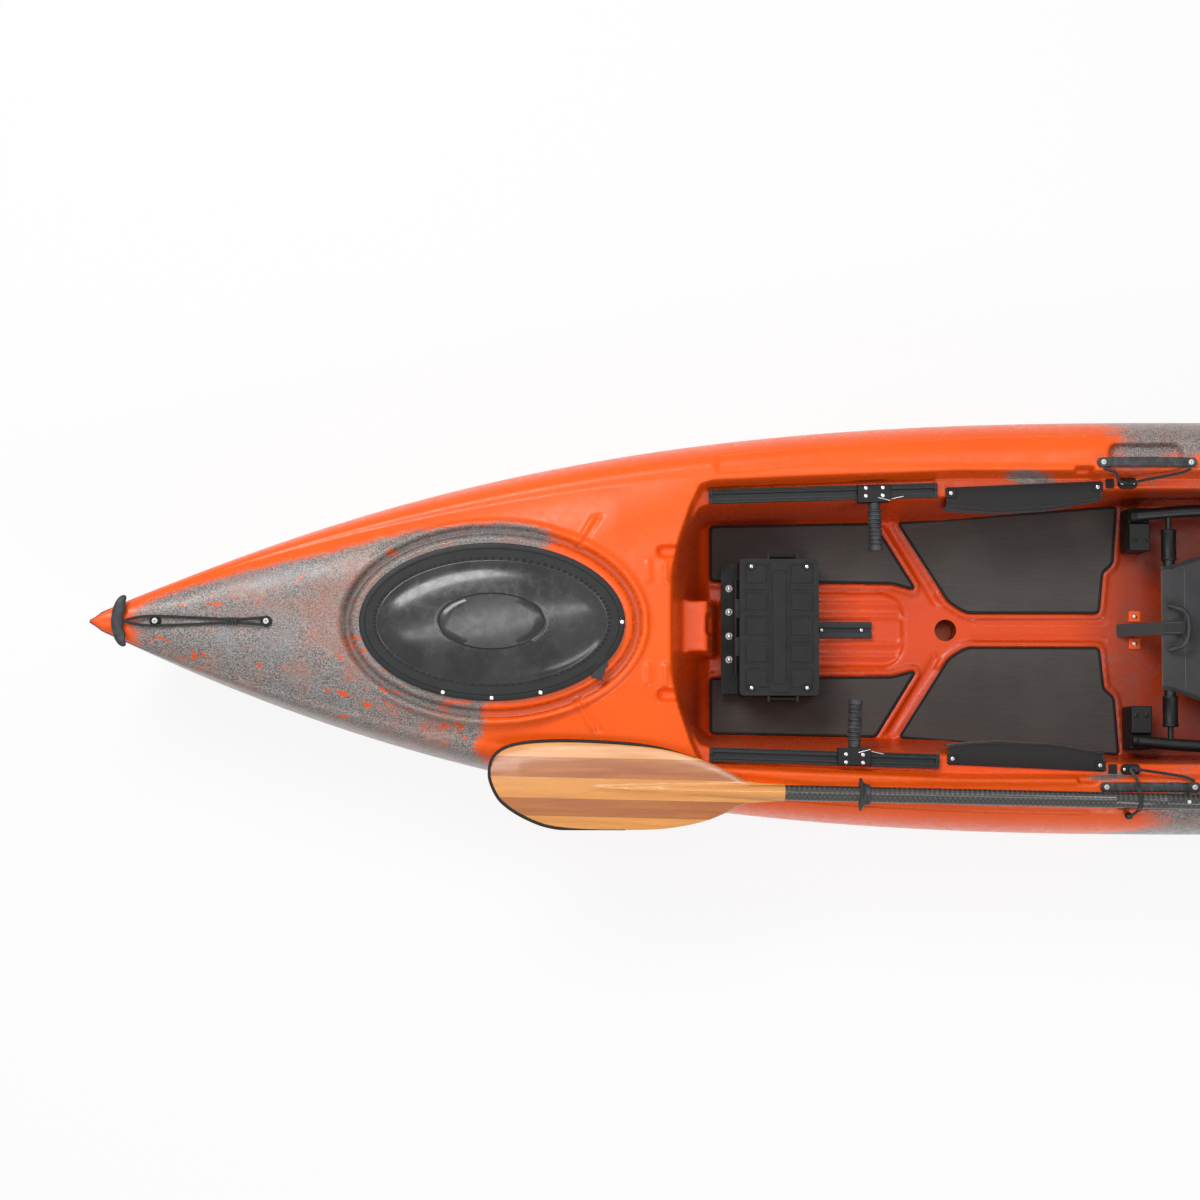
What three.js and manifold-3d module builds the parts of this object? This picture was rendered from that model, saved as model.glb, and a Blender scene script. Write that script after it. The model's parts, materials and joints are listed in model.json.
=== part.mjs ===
// Sit-on-top fishing kayak with its seat, foot braces, tackle box and paddle.
// Lengths are millimetres. X runs aft from amidships, Y to starboard, Z up from the flat of the keel.
import * as THREE from 'three';
import { mergeVertices } from 'three/addons/utils/BufferGeometryUtils.js';
import Module from 'manifold-3d';

const wasm = await Module();
wasm.setup();

// Clearances, cutter lengths and facet counts that several pieces share.
const gap = 0.3;
const slack = 0.6;
const overrun = 40;
const weld = 0.001;
const roundSides = 12;
const smallSides = 8;
const cordSides = 6;
const cornerShare = 0.46;

// The hull: a hollow moulding with thin walls, split along a seam under the gunwale.
const hull = {
  length: 4267,
  beam: 864,
  sheer: 345,
  wall: 4,
  widestAt: 180,
  stemHalf: 8,
  stemRound: 25,
  keelWidth: 220,
  keelRun: 2200,
  rocker: 70,
  stemRise: 235,
  sheerRun: 1800,
  bowRise: 55,
  sternRise: 40,
  crown: 38,
  seamDrop: 15,
  solidEnd: 70,
};
const hullShares = {
  bowPower: 2.75,
  sternPower: 3,
  stemPower: 9,
  crownPower: 3,
  bulge: 0.77,
  keel: 0.5,
  widest: 0.42,
  deck: 0.8,
  stem: 0.3,
};
const stationShares = [0, 0.15, 0.3, 0.42, 0.53, 0.63, 0.72, 0.8, 0.87, 0.92, 0.96, 0.985, 0.996, 1];
const hollowShares = [0, 0.25, 0.45, 0.62, 0.77, 0.9, 1];
const crownShares = [
  [-1, 0], [-0.9, 0.7], [-0.74, 1], [-0.5, 1], [-0.42, 0.5], [-0.36, 0.1],
  [0.27, 0.1], [0.36, 0.5], [0.88, 0.5], [1, 0],
];
const arcSteps = 4;
const crownSteps = 3;
const halfLength = hull.length / 2;
const halfBreadth = hull.beam / 2;

// Carry handles at both ends: a curved grip on a cord between two deck eyes.
const toggle = {
  fromTip: 74,
  span: 104,
  width: 24,
  height: 18,
  bow: 12,
  wave: 1.4,
  eyeFromTip: 138,
  anchorFromTip: 362,
  cord: 6,
  spread: 10,
  close: 3.6,
  knotFromTip: 295,
  knotRadius: 8,
  knotWaist: 6.5,
  knotLength: 28,
  lift: 1.5,
};
const toggleShares = { blunt: 0.04, taperPower: 4, waves: 4, bend: 0.8 };
const gripSteps = 14;
const leaderSteps = 10;
const knotTurns = 4;
const wrapAngle = 105;
const wrapSteps = 6;
const eye = { radius: 12, base: 2, post: 4, head: 6.5, headHeight: 3 };

// Places along the boat, in shares: the cockpit's front against the length of the hull, the tank
// well against the deck behind it, and the hatch against the deck ahead of the cockpit.
const placeShares = {
  wellFront: -0.22381, tankLength: 0.80261, hatchLength: 0.6589, hatchWidth: 0.37037, hatchPlace: 0.44213,
};
const anchorX = halfLength - toggle.anchorFromTip;

// The cockpit well. Each row of shares holds the place along the well, the rise of its floor towards
// the sheer, and the half widths of its floor, wall top, ledge and rim against the half beam.
const well = { front: placeShares.wellFront * hull.length, length: 1560, floor: 90, ledge: 280, step: 4 };
const wellShares = [
  [0, 1.15, 0.16, 0.18, 0.19, 0.2],
  [0.013, 0.75, 0.34, 0.36, 0.38, 0.4],
  [0.029, 0.4, 0.43, 0.5, 0.55, 0.58],
  [0.042, 0.12, 0.49, 0.57, 0.65, 0.68],
  [0.056, 0, 0.52, 0.585, 0.665, 0.7],
  [0.163, 0, 0.528, 0.598, 0.683, 0.722],
  [0.378, 0, 0.546, 0.618, 0.715, 0.745],
  [0.612, 0, 0.625, 0.655, 0.715, 0.745],
  [0.82, 0, 0.625, 0.655, 0.715, 0.745],
  [0.86, 0.3, 0.61, 0.65, 0.7, 0.74],
  [0.946, 0.3, 0.57, 0.6, 0.66, 0.7],
  [0.981, 0.7, 0.5, 0.53, 0.56, 0.6],
  [1, 1.1, 0.44, 0.46, 0.47, 0.5],
];
const benchRow = 9;
const wallColumns = { floor: 2, wall: 3 };
const wellEnd = well.front + well.length;

// The tank well behind the seat, in the same shares.
const bulkhead = 95;
const tankFront = wellEnd + bulkhead;
const tank = {
  front: tankFront,
  length: placeShares.tankLength * (anchorX - tankFront),
  floor: 225,
  ledge: 322,
  step: 4,
};
const tankShares = [
  [0, 1.1, 0.5, 0.52, 0.54, 0.56],
  [0.026, 0, 0.62, 0.64, 0.665, 0.69],
  [0.35, 0, 0.6, 0.62, 0.645, 0.67],
  [0.7, 0, 0.5, 0.52, 0.545, 0.57],
  [0.965, 0, 0.38, 0.4, 0.425, 0.45],
  [1, 1.1, 0.3, 0.32, 0.34, 0.36],
];
const tankEnd = tank.front + tank.length;

// How far out from the middle line things lie, in shares of the half beam.
const outShares = {
  groove: 0.35417,
  pad: 0.61343,
  brace: 0.63194,
  hook: 0.68287,
  rodHolder: 0.69444,
  handle: 0.76852,
  scoop: 0.81019,
  paddle: 0.83102,
  cleat: 0.90278,
  seatFront: 0.5463,
  seatRear: 0.57407,
  seatCross: 0.46296,
  slingFront: 0.29167,
  slingMiddle: 0.43981,
  slingRear: 0.37037,
  saddleInner: 0.37731,
  saddleOuter: 0.58796,
};
const out = Object.fromEntries(Object.entries(outShares).map(([key, share]) => [key, share * halfBreadth]));

// Moulded forms of the cockpit floor, by their distance behind the front of the well: the block
// before the box with its small recess, the sunk centre strip and the drain grooves.
const block = { fromFront: 105, width: 114, top: 250, slope: 24 };
const recess = { y: 5, width: 40, low: 148, high: 204, depth: 14 };
const strip = { fromFront: 109, length: 396, width: 156, depth: 8 };
const groove = { fromFront: 524, length: 200, width: 12, apart: 25, depth: 5, leanAngle: 121 };
const lane = { fromFront: 655, length: 280, width: 12, apart: 40, depth: 5 };
const scupper = { radius: 23, sides: 10 };
// Where the deck is parted: ahead of the cockpit, ahead of the tank well and just above the floor.
const parting = { ahead: 16, behind: 9, above: 6 };
// Scuppers, by their shares along their well and across the half beam.
const wellScupperShares = [[0.381, 0], [0.7763, 0.44], [0.7763, -0.44]];
const tankScupperShares = [[0.30244, 0.36], [0.30244, -0.36]];
const scoop = { length: 145, width: 42, depth: 24, corner: 18 };
// Creases raised on the deck behind the hatch, and flat landings that fittings are screwed to.
const crease = { fromFront: -171, y: 185, length: 75, width: 12, height: 5, root: 12, leanAngle: 58 };
const landing = { radius: 14, proud: 1.5, root: 30, sides: 10 };

// The bow hatch: oval coaming with a groove round it, rim, seal and domed lid.
const foredeck = well.front + anchorX;
const hatch = {
  x: well.front - placeShares.hatchPlace * foredeck,
  length: placeShares.hatchLength * foredeck,
  width: placeShares.hatchWidth * hull.beam,
  collar: 16,
  groove: 20,
  grooveDepth: 12,
  lip: 13,
  proud: 2,
  openingInset: 26,
  rimFlange: 3,
  rimDrop: 14,
  rimWall: 5,
  seal: 3,
  lidEdge: 6,
  lidBevel: 1,
  lidWall: 4,
  flangeWidth: 35,
  dome: 24,
  emboss: 1.5,
  sides: 28,
};
const domeShares = [[1, 0], [0.9, 0.5], [0.7, 0.84], [0.42, 1]];
const embossShares = [[0.4, 1], [0, 1]];
const tab = { angle: -35, length: 30, width: 46, height: 5 };

// Floor pads, in shares of the pad field between the foot wall and the seat saddles.
const pad = { fromFront: 94, clear: 10, thickness: 4, corner: 8 };
const frontPadShares = [[0, 0.396], [0, 0.83], [0.403, 0.853], [0.502, 0.332], [0.445, 0.381]];
const rearPadShares = [
  [0.464, 0.86], [0.986, 0.99], [1, 0.99], [0.99, 0.54], [0.965, 0.47], [0.955, 0.143],
  [0.635, 0.143], [0.615, 0.17], [0.586, 0.234],
];

// Slotted centre track on the floor strip.
const track = { fromFront: 155, length: 282, width: 34, height: 12, slot: 9, hollow: 18, lip: 3 };

// Foot braces: rail, end caps, sliding carriage and peg, laid out along the rail.
const brace = {
  fromFront: 319,
  length: 472,
  splayAngle: 1.67,
  width: 30,
  height: 12,
  slot: 9,
  hollow: 18,
  lip: 3,
  groove: 3,
  grooveAt: 10.5,
  cap: 7,
  capProud: 1,
  carriageLength: 68,
  plate: 9,
  skirt: 6,
  skirtReach: 11,
  overhang: 7,
  starboardAt: 104,
  portAt: 61,
};
const peg = { radius: 15, core: 12.5, length: 100, neck: 14, cap: 10, pin: 6, pinLength: 30, sides: 10 };
const pegRibs = 7;

// Tackle box on the track.
const box = {
  fromFront: 232,
  length: 286,
  width: 166,
  corner: 9,
  bottom: 118,
  height: 72,
  wall: 3,
  floor: 3,
  lidHeight: 24,
  lidTop: 4,
  band: 3,
  bandWidth: 38,
  border: 7,
  panelDepth: 2,
  panelGap: 7,
  knuckle: 5.5,
  pin: 2,
  ledge: 35,
  ledgeThick: 6,
  ledgeInset: 6,
  rib: 4,
};
const boxShares = { hinge: 0.7, footNut: 0.5 };
const boxRibs = 5;
const boxPanelRows = 5;
const hingeSpans = 5;
const latch = { x: 8, width: 54, length: 50, thick: 5, barrel: 4, pin: 2, ear: 6, earThick: 5, stand: 6 };
const foot = { length: 140, width: 30 };

// Fabric pouches on the cockpit sides, in shares of their length from the forward end.
const pouch = { fromFront: 575, length: 320, depth: 115, flap: 27, flapThick: 4, bulge: 26, inset: 7 };
const pouchShares = [[0, 0.35], [0.15, 0.75], [0.5, 1], [0.8, 0.8], [1, 0.35]];
const sagShares = { shallow: 0.5, lip: 0.7, belly: 0.5, foot: 0.6 };

// Side carry handles and bungee paddle keepers.
const handle = {
  fromFront: 977,
  length: 203,
  width: 20,
  thick: 9,
  rise: 10,
  foot: 24,
  ramp: 12,
  bolt: 5.5,
  boltHeight: 4,
};
const keeper = {
  cord: 6,
  clear: 1,
  hookAhead: 28,
  hookLength: 40,
  hookWidth: 22,
  hookThick: 9,
  endAhead: 44,
  endRadius: 7,
  endHeight: 20,
};
const keeperShares = { knee: 0.72, hook: 0.62 };
const overShaftAngles = { from: 40, to: 190 };
const starboardCordSteps = 20;
const portCordSteps = 44;

// Two-piece paddle stowed along the port gunwale.
const paddle = {
  fromFront: 953,
  yawAngle: -1.19,
  length: 2640,
  bladeLength: 599,
  bladeWidth: 185,
  bladeThick: 8,
  bevel: 2,
  shaft: 16,
  shaftWall: 1.6,
  tang: 60,
  spineEnd: 3,
  ferrule: 220,
  ring: 34,
  ringEdge: 4,
  ringHub: 4,
  ringWidth: 22,
  ringFromTip: 750,
  button: 4,
  buttonX: 94,
  buttonProud: 2,
  buttonLength: 12,
  buttonTravel: 3,
  sides: 12,
};
const spineShare = 0.72;
const bladeSteps = 34;
const bladeShares = [
  [0, 0.09], [0.122, 0.114], [0.19, 0.218], [0.292, 0.349], [0.461, 0.475], [0.715, 0.514], [0.898, 0.473],
  [0.98, 0.352], [1, 0.132], [0.976, -0.086], [0.936, -0.222], [0.868, -0.347], [0.793, -0.428],
  [0.698, -0.45], [0.461, -0.437], [0.349, -0.393], [0.258, -0.319], [0.19, -0.223], [0.122, -0.129],
  [0, -0.09],
];

// Seat: a tube hoop in two saddles, a fabric sling, and a hinged back. X counts from the seat's origin.
const seat = {
  fromFront: 955,
  front: 16,
  rear: 480,
  kink: 150,
  tube: 12.5,
  corner: 70,
  height: 196,
  crossX: 96,
  lug: 6,
  capRadius: 16,
  capLength: 22,
  slingThick: 6,
  sleeve: 3,
  slingSag: 14,
  pivotX: 380,
  pivotRadius: 5,
  eyeRadius: 15,
  eyeWidth: 16,
  eyeGap: 6,
  backTube: 11,
  backHeight: 440,
  backAngle: 15,
  backCorner: 80,
  backThick: 8,
  backFrom: 60,
};
const seatShares = { legStart: 0.6, loopWide: 0.66, loopFull: 0.8 };
const slingSteps = 6;
const saddle = { x: 36, length: 44, wall: 2 };
const strap = { from: 4, width: 27, thick: 3 };
const strapAngles = [155, 125, 95, 65, 45];
const loop = { x: 88, reach: 44, half: 52, cord: 10 };
const loopSteps = 12;

// Fittings behind the seat.
const rodHolder = {
  behindWell: 50,
  bore: 21,
  wall: 2.5,
  depth: 210,
  flange: 33,
  flangeThick: 5,
  leanAngle: 20,
  sides: 16,
};
const lacing = {
  cord: 6,
  fromFront: 70,
  fromEnd: 130,
  outset: 16,
  eyeRadius: 13,
  eyeTube: 3,
  run: 18,
  lift: 3.5,
};
const lacingEyeCount = 8;
const plug = { head: 17, headHeight: 7, shank: 9, shankLength: 20, boss: 12, grip: 4, sides: 16 };

const roof = hull.sheer + hull.bowRise + hull.crown + overrun;
const degree = Math.PI / 180;

// Where a cockpit piece lies, by its distance behind the front of the well.
function placeOf(part) {
  return well.front + part.fromFront;
}

const hookX = placeOf(handle) - keeper.hookAhead;
const cleatX = placeOf(handle) - keeper.endAhead;
const rodX = wellEnd + rodHolder.behindWell;
const plugX = (tankEnd + anchorX) / 2;
const padLength = placeOf(seat) + saddle.x - saddle.length / 2 - pad.clear - placeOf(pad);

// Small geometry helpers.

// A closed mesh as a solid for cutting and joining, turned outside out if a mirror turned it in.
function solid(geometry) {
  const source = geometry.index ? geometry.toNonIndexed() : geometry;
  const bare = new THREE.BufferGeometry();
  bare.setAttribute('position', source.getAttribute('position'));
  const merged = mergeVertices(bare, weld);
  const position = merged.getAttribute('position');
  const triVerts = new Uint32Array(merged.index.array);
  if (signedVolume(position, triVerts) < 0) triVerts.reverse();
  return new wasm.Manifold(new wasm.Mesh({ numProp: 3, vertProperties: position.array, triVerts }));
}

function signedVolume(position, triVerts) {
  const corner = [new THREE.Vector3(), new THREE.Vector3(), new THREE.Vector3()];
  let sum = 0;
  for (let i = 0; i < triVerts.length; i += 3) {
    corner.forEach((c, k) => c.fromBufferAttribute(position, triVerts[i + k]));
    sum += corner[0].dot(corner[1].cross(corner[2]));
  }
  return sum;
}

function geometryOf(made) {
  const mesh = made.getMesh();
  const geometry = new THREE.BufferGeometry();
  geometry.setAttribute('position', new THREE.BufferAttribute(new Float32Array(mesh.vertProperties), 3));
  geometry.setIndex(new THREE.BufferAttribute(new Uint32Array(mesh.triVerts), 1));
  return geometry;
}

// A skin over rings of points with the same count. A closed loft joins its last ring to its first;
// an open one is capped, with each cap cut into triangles in the plane that flat() names.
function loft(rings, flat = (p) => [p[1], p[2]], closed = false) {
  const count = rings[0].length;
  const points = rings.flat();
  const index = [];
  const last = closed ? rings.length : rings.length - 1;
  for (let i = 0; i < last; i += 1) {
    const near = i * count;
    const far = ((i + 1) % rings.length) * count;
    for (let j = 0; j < count; j += 1) {
      const k = (j + 1) % count;
      index.push(near + j, near + k, far + k, near + j, far + k, far + j);
    }
  }
  if (!closed) {
    const caps = [[rings[0], 0, 1], [rings[rings.length - 1], points.length - count, 0]];
    for (const [ring, base, turn] of caps) {
      const outline = ring.map((p) => new THREE.Vector2(...flat(p)));
      const facing = THREE.ShapeUtils.isClockWise(outline) ? 1 : 0;
      for (const [a, b, c] of THREE.ShapeUtils.triangulateShape(outline, [])) {
        const order = facing === 1 ? [a, c, b] : [a, b, c];
        if (sameTurn(outline, order) !== (turn === 1)) order.reverse();
        index.push(...order.map((v) => base + v));
      }
    }
  }
  const geometry = new THREE.BufferGeometry();
  geometry.setAttribute('position', new THREE.Float32BufferAttribute(points.flat(), 3));
  geometry.setIndex(index);
  return geometry;
}

// Whether a cap triangle turns against its ring, as the first cap of a loft has to.
function sameTurn(outline, [a, b, c]) {
  const area = THREE.ShapeUtils.area([outline[a], outline[b], outline[c]]);
  return Math.sign(area) !== Math.sign(THREE.ShapeUtils.area(outline));
}

// Rings round an upright axis, each {a, b, z}; a and b of 0 make a point that closes the end.
function ovalLoft(rings, sides, closed = false) {
  return loft(rings.map(({ a, b, z }) => Array.from({ length: sides }, (_, i) => {
    const turn = (i / sides) * Math.PI * 2;
    return [a * Math.cos(turn), b * Math.sin(turn), z];
  })), (p) => [p[0], p[1]], closed);
}

function ovalPrism(a, b, from, to, sides) {
  return ovalLoft([{ a, b, z: from }, { a, b, z: to }], sides);
}

function boxBetween([x0, y0, z0], [x1, y1, z1]) {
  const geometry = new THREE.BoxGeometry(Math.abs(x1 - x0), Math.abs(y1 - y0), Math.abs(z1 - z0));
  return geometry.translate((x0 + x1) / 2, (y0 + y1) / 2, (z0 + z1) / 2);
}

// A cylinder along an axis, by its centre; a second radius makes it a cone.
function cylinder(axis, radius, length, [x, y, z], sides, farRadius = radius) {
  const geometry = new THREE.CylinderGeometry(farRadius, radius, length, sides);
  if (axis === 'x') geometry.rotateZ(-Math.PI / 2);
  if (axis === 'z') geometry.rotateX(Math.PI / 2);
  return geometry.translate(x, y, z);
}

// A closed profile of [radius, height] points revolved about Z.
function turned(profile, sides) {
  const points = profile.map(([r, h]) => new THREE.Vector2(r, h));
  return new THREE.LatheGeometry(points, sides).rotateX(Math.PI / 2);
}

function shapeOf(points) {
  return new THREE.Shape(points.map(([u, v]) => new THREE.Vector2(u, v)));
}

// An outline's corners rounded by short curves, as a list of points.
function rounded(points, radius, steps = 3) {
  return points.flatMap(([x, y], i) => {
    const [px, py] = points[(i + points.length - 1) % points.length];
    const [nx, ny] = points[(i + 1) % points.length];
    const before = Math.hypot(px - x, py - y);
    const after = Math.hypot(nx - x, ny - y);
    const cut = Math.min(radius, before * cornerShare, after * cornerShare);
    const start = new THREE.Vector2(x + ((px - x) / before) * cut, y + ((py - y) / before) * cut);
    const end = new THREE.Vector2(x + ((nx - x) / after) * cut, y + ((ny - y) / after) * cut);
    const curve = new THREE.QuadraticBezierCurve(start, new THREE.Vector2(x, y), end);
    return curve.getPoints(steps).map((p) => [p.x, p.y]);
  });
}

function rectangle(halfX, halfY) {
  return [[-halfX, -halfY], [halfX, -halfY], [halfX, halfY], [-halfX, halfY]];
}

// An outline in X and Y raised between two heights.
function prism(points, from, to) {
  const geometry = new THREE.ExtrudeGeometry(shapeOf(points), { depth: to - from, bevelEnabled: false });
  return geometry.translate(0, 0, from);
}

// An outline in Y and Z drawn out along X, and one in X and Z drawn out along Y.
function alongX(points, from, to) {
  const geometry = new THREE.ExtrudeGeometry(shapeOf(points), { depth: to - from, bevelEnabled: false });
  return geometry.rotateX(Math.PI / 2).rotateZ(Math.PI / 2).translate(from, 0, 0);
}

function alongY(points, from, to) {
  const geometry = new THREE.ExtrudeGeometry(shapeOf(points), { depth: to - from, bevelEnabled: false });
  return geometry.rotateX(Math.PI / 2).translate(0, to, 0);
}

function curveThrough(points) {
  return new THREE.CatmullRomCurve3(points.map((p) => new THREE.Vector3(...p)), false, 'catmullrom');
}

// A path that steps from point to point, so that its bends can hold most of the points.
class PointPath extends THREE.Curve {
  constructor(points) {
    super();
    this.points = points;
  }

  getPoint(t, target = new THREE.Vector3()) {
    const at = t * (this.points.length - 1);
    const i = Math.min(Math.floor(at), this.points.length - 2);
    return target.lerpVectors(this.points[i], this.points[i + 1], at - i);
  }

  getUtoTmapping(u) {
    return u;
  }
}

function pathThrough(points) {
  return new PointPath(points.map((p) => new THREE.Vector3(...p)));
}

// A round bar of a few sides along a curve.
function tube(curve, radius, sides, steps = curve.points.length - 1) {
  const section = new THREE.Shape();
  section.absarc(0, 0, radius, 0, Math.PI * 2);
  return new THREE.ExtrudeGeometry(section, { steps, extrudePath: curve, curveSegments: sides / 2 });
}

// Straight runs between points, with each corner rounded in a few steps.
function bentPath(points, radius, steps = 3) {
  const corners = points.map((p) => new THREE.Vector3(...p));
  const path = [corners[0]];
  for (let i = 1; i < corners.length - 1; i += 1) {
    const enter = corners[i - 1].clone().sub(corners[i]);
    const leave = corners[i + 1].clone().sub(corners[i]);
    const cut = Math.min(radius, enter.length() * cornerShare, leave.length() * cornerShare);
    const start = corners[i].clone().add(enter.setLength(cut));
    const end = corners[i].clone().add(leave.setLength(cut));
    path.push(...new THREE.QuadraticBezierCurve3(start, corners[i], end).getPoints(steps));
  }
  path.push(corners[corners.length - 1]);
  return new PointPath(path);
}

// Points on part of a circle that stands in a plane given by two axes.
function arcPoints(centre, radius, from, to, steps, place) {
  return Array.from({ length: steps + 1 }, (_, i) => {
    const turn = (from + ((to - from) * i) / steps) * degree;
    return place(centre, radius * Math.cos(turn), radius * Math.sin(turn));
  });
}

function joined(...geometries) {
  return geometries.map((g) => solid(g)).reduce((sum, next) => sum.add(next));
}

function mirroredY(geometry) {
  return geometryOf(solid(geometry.clone().scale(1, -1, 1)));
}

// Linear reading of a table of [place, value] shares.
function readShares(table, at) {
  const next = Math.max(1, table.findIndex(([place]) => place >= at));
  const [a, from] = table[next - 1];
  const [b, to] = table[next];
  return from + ((to - from) * (at - a)) / (b - a);
}

// Form of the hull.

function fromTip(x) {
  const tip = x < hull.widestAt ? -halfLength : halfLength;
  return (x - tip) / (hull.widestAt - tip);
}

function halfBeam(x) {
  const power = x < hull.widestAt ? hullShares.bowPower : hullShares.sternPower;
  const full = 1 - (1 - fromTip(x)) ** power;
  const distance = halfLength - Math.abs(x);
  const ease = Math.max(hullShares.stem, Math.sqrt(Math.min(1, distance / hull.stemRound)));
  return ease * (hull.stemHalf + (halfBreadth - hull.stemHalf) * full);
}

// How far a station lies past a straight middle run, from 0 to 1 at the tips.
function pastRun(x, run) {
  return Math.max(0, (Math.abs(x) - run / 2) / (halfLength - run / 2));
}

function keelZ(x) {
  const past = pastRun(x, hull.keelRun);
  return hull.rocker * past ** 2 + hull.stemRise * past ** hullShares.stemPower;
}

function sheerZ(x) {
  const rise = x < 0 ? hull.bowRise : hull.sternRise;
  return hull.sheer + rise * pastRun(x, hull.sheerRun) ** 2;
}

function crownZ(x) {
  return hull.crown * readShares(crownShares, x / halfLength);
}

// Height of the deck before anything is cut into it.
function deckZ(x, y) {
  const edge = halfBeam(x) * hullShares.deck;
  const out = Math.min(1, Math.abs(y) / edge);
  return sheerZ(x) + crownZ(x) * (1 - out ** hullShares.crownPower);
}

// One ring of the hull's skin, or of the hollow inside it.
function section(x, inset) {
  const half = halfBeam(x) - inset;
  const keel = keelZ(x) + inset;
  const sheer = sheerZ(x) - inset;
  const flat = Math.min(hull.keelWidth / 2, half * hullShares.keel);
  const middle = keel + (sheer - keel) * hullShares.widest;
  const edge = half * hullShares.deck;
  const bulge = hullShares.bulge;
  const side = [[flat, keel]];
  for (let i = 1; i <= arcSteps; i += 1) {
    const turn = (i / arcSteps) * (Math.PI / 2);
    const out = i === arcSteps ? 1 : Math.sin(turn) ** bulge;
    const down = i === arcSteps ? 0 : Math.cos(turn) ** bulge;
    side.push([flat + (half - flat) * out, middle - (middle - keel) * down]);
  }
  for (let i = 1; i <= arcSteps; i += 1) {
    const turn = (i / arcSteps) * (Math.PI / 2);
    const out = i === arcSteps ? 0 : Math.cos(turn) ** bulge;
    const up = i === arcSteps ? 1 : Math.sin(turn) ** bulge;
    side.push([edge + (half - edge) * out, middle + (sheer - middle) * up]);
  }
  for (let i = 1; i < crownSteps; i += 1) {
    const out = 1 - i / crownSteps;
    side.push([edge * out, sheer + crownZ(x) * (1 - out ** hullShares.crownPower)]);
  }
  const centre = [[0, sheer + crownZ(x)]];
  const port = side.map(([y, z]) => [-y, z]).reverse();
  return [...side, ...centre, ...port].map(([y, z]) => [x, y, z]);
}

function bothWays(shares) {
  const ahead = shares.filter((s) => s > 0).map((s) => -s).reverse();
  return [...ahead, ...shares];
}

function hullSkin() {
  return solid(loft(bothWays(stationShares).map((s) => section(s * halfLength, 0))));
}

function hullHollow() {
  const reach = halfLength - hull.solidEnd;
  return solid(loft(bothWays(hollowShares).map((s) => section(s * reach, hull.wall))));
}

// A well sunk into the deck, grown by the wall where its outside is wanted.
function pocket(place, rows, grow) {
  const rings = rows.map(([along, rise, floor, wall, ledge, rim], i) => {
    const end = (i === rows.length - 1 ? grow : 0) - (i === 0 ? grow : 0);
    const floorZ = place.floor + rise * (hull.sheer - place.floor) - grow;
    const ledgeZ = Math.max(place.ledge - grow, floorZ + place.step);
    const side = [
      [floor * halfBreadth + grow, floorZ],
      [wall * halfBreadth + grow, ledgeZ],
      [ledge * halfBreadth + grow, ledgeZ],
      [rim * halfBreadth + grow, roof],
    ];
    const port = side.map(([y, z]) => [-y, z]).reverse();
    return [...side, ...port].map(([y, z]) => [place.front + along * place.length + end, y, z]);
  });
  return solid(loft(rings));
}

// The block that stands between the foot wells, shrunk where the well is grown.
function footBlock(grow) {
  const half = block.width / 2 - grow;
  const top = block.top - grow;
  const aft = placeOf(block) - grow;
  const profile = [
    [well.front - overrun, well.floor - overrun],
    [aft, well.floor - overrun],
    [aft, well.floor],
    [aft - block.slope, top],
    [well.front - overrun, top],
  ];
  return solid(alongY(profile, -half, half));
}

// The small recess in the block's slope.
function blockRecess(grow) {
  const half = recess.width / 2 + grow;
  return solid(boxBetween(
    [placeOf(block) - block.slope - recess.depth - grow, recess.y - half, recess.low - grow],
    [placeOf(block), recess.y + half, recess.high + grow],
  ));
}

// Drain grooves and the sunk strip of the cockpit floor.
function floorGrooves(grow) {
  const top = well.floor + overrun;
  const stripX = placeOf(strip);
  const cuts = [boxBetween(
    [stripX - grow, -strip.width / 2 - grow, well.floor - strip.depth - grow],
    [stripX + strip.length + grow, strip.width / 2 + grow, top],
  )];
  for (const side of [-1, 1]) {
    for (const shift of [-1, 1]) {
      const long = groove.length / 2 + grow;
      const wide = groove.width / 2 + grow;
      const diagonal = prism(rectangle(long, wide), well.floor - groove.depth - grow, top);
      diagonal.translate(0, (shift * groove.apart) / 2, 0);
      diagonal.rotateZ(groove.leanAngle * degree).translate(placeOf(groove), out.groove, 0);
      cuts.push(side > 0 ? diagonal : diagonal.scale(1, -1, 1));
    }
    const y = (side * lane.apart) / 2;
    const wide = lane.width / 2 + grow;
    cuts.push(boxBetween(
      [placeOf(lane) - grow, y - wide, well.floor - lane.depth - grow],
      [placeOf(lane) + lane.length + grow, y + wide, top],
    ));
  }
  return joined(...cuts);
}

function handScoops(grow) {
  const outline = rounded(rectangle(scoop.length / 2 + grow, scoop.width / 2 + grow), scoop.corner);
  const bottom = hull.sheer - scoop.depth - grow;
  const cut = prism(outline, bottom, roof).translate(placeOf(handle), out.scoop, 0);
  return joined(cut, cut.clone().scale(1, -1, 1));
}

function cockpit(grow) {
  return pocket(well, wellShares, grow)
    .subtract(footBlock(grow))
    .add(blockRecess(grow))
    .add(floorGrooves(grow));
}

function scuppers(grow) {
  const places = [[well, wellScupperShares], [tank, tankScupperShares]].flatMap(([place, shares]) => (
    shares.map(([along, across]) => [place.front + along * place.length, across * halfBreadth, roof / 2])
  ));
  return joined(...places.map((place) => (
    cylinder('z', scupper.radius + grow, roof * 2, place, scupper.sides)
  )));
}

// Oval boss under the hatch, shrunk where the hollow is wanted.
const hatchTop = sheerZ(hatch.x) + hull.crown + hatch.proud;
const coaming = { a: hatch.length / 2 + hatch.collar, b: hatch.width / 2 + hatch.collar };

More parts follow.
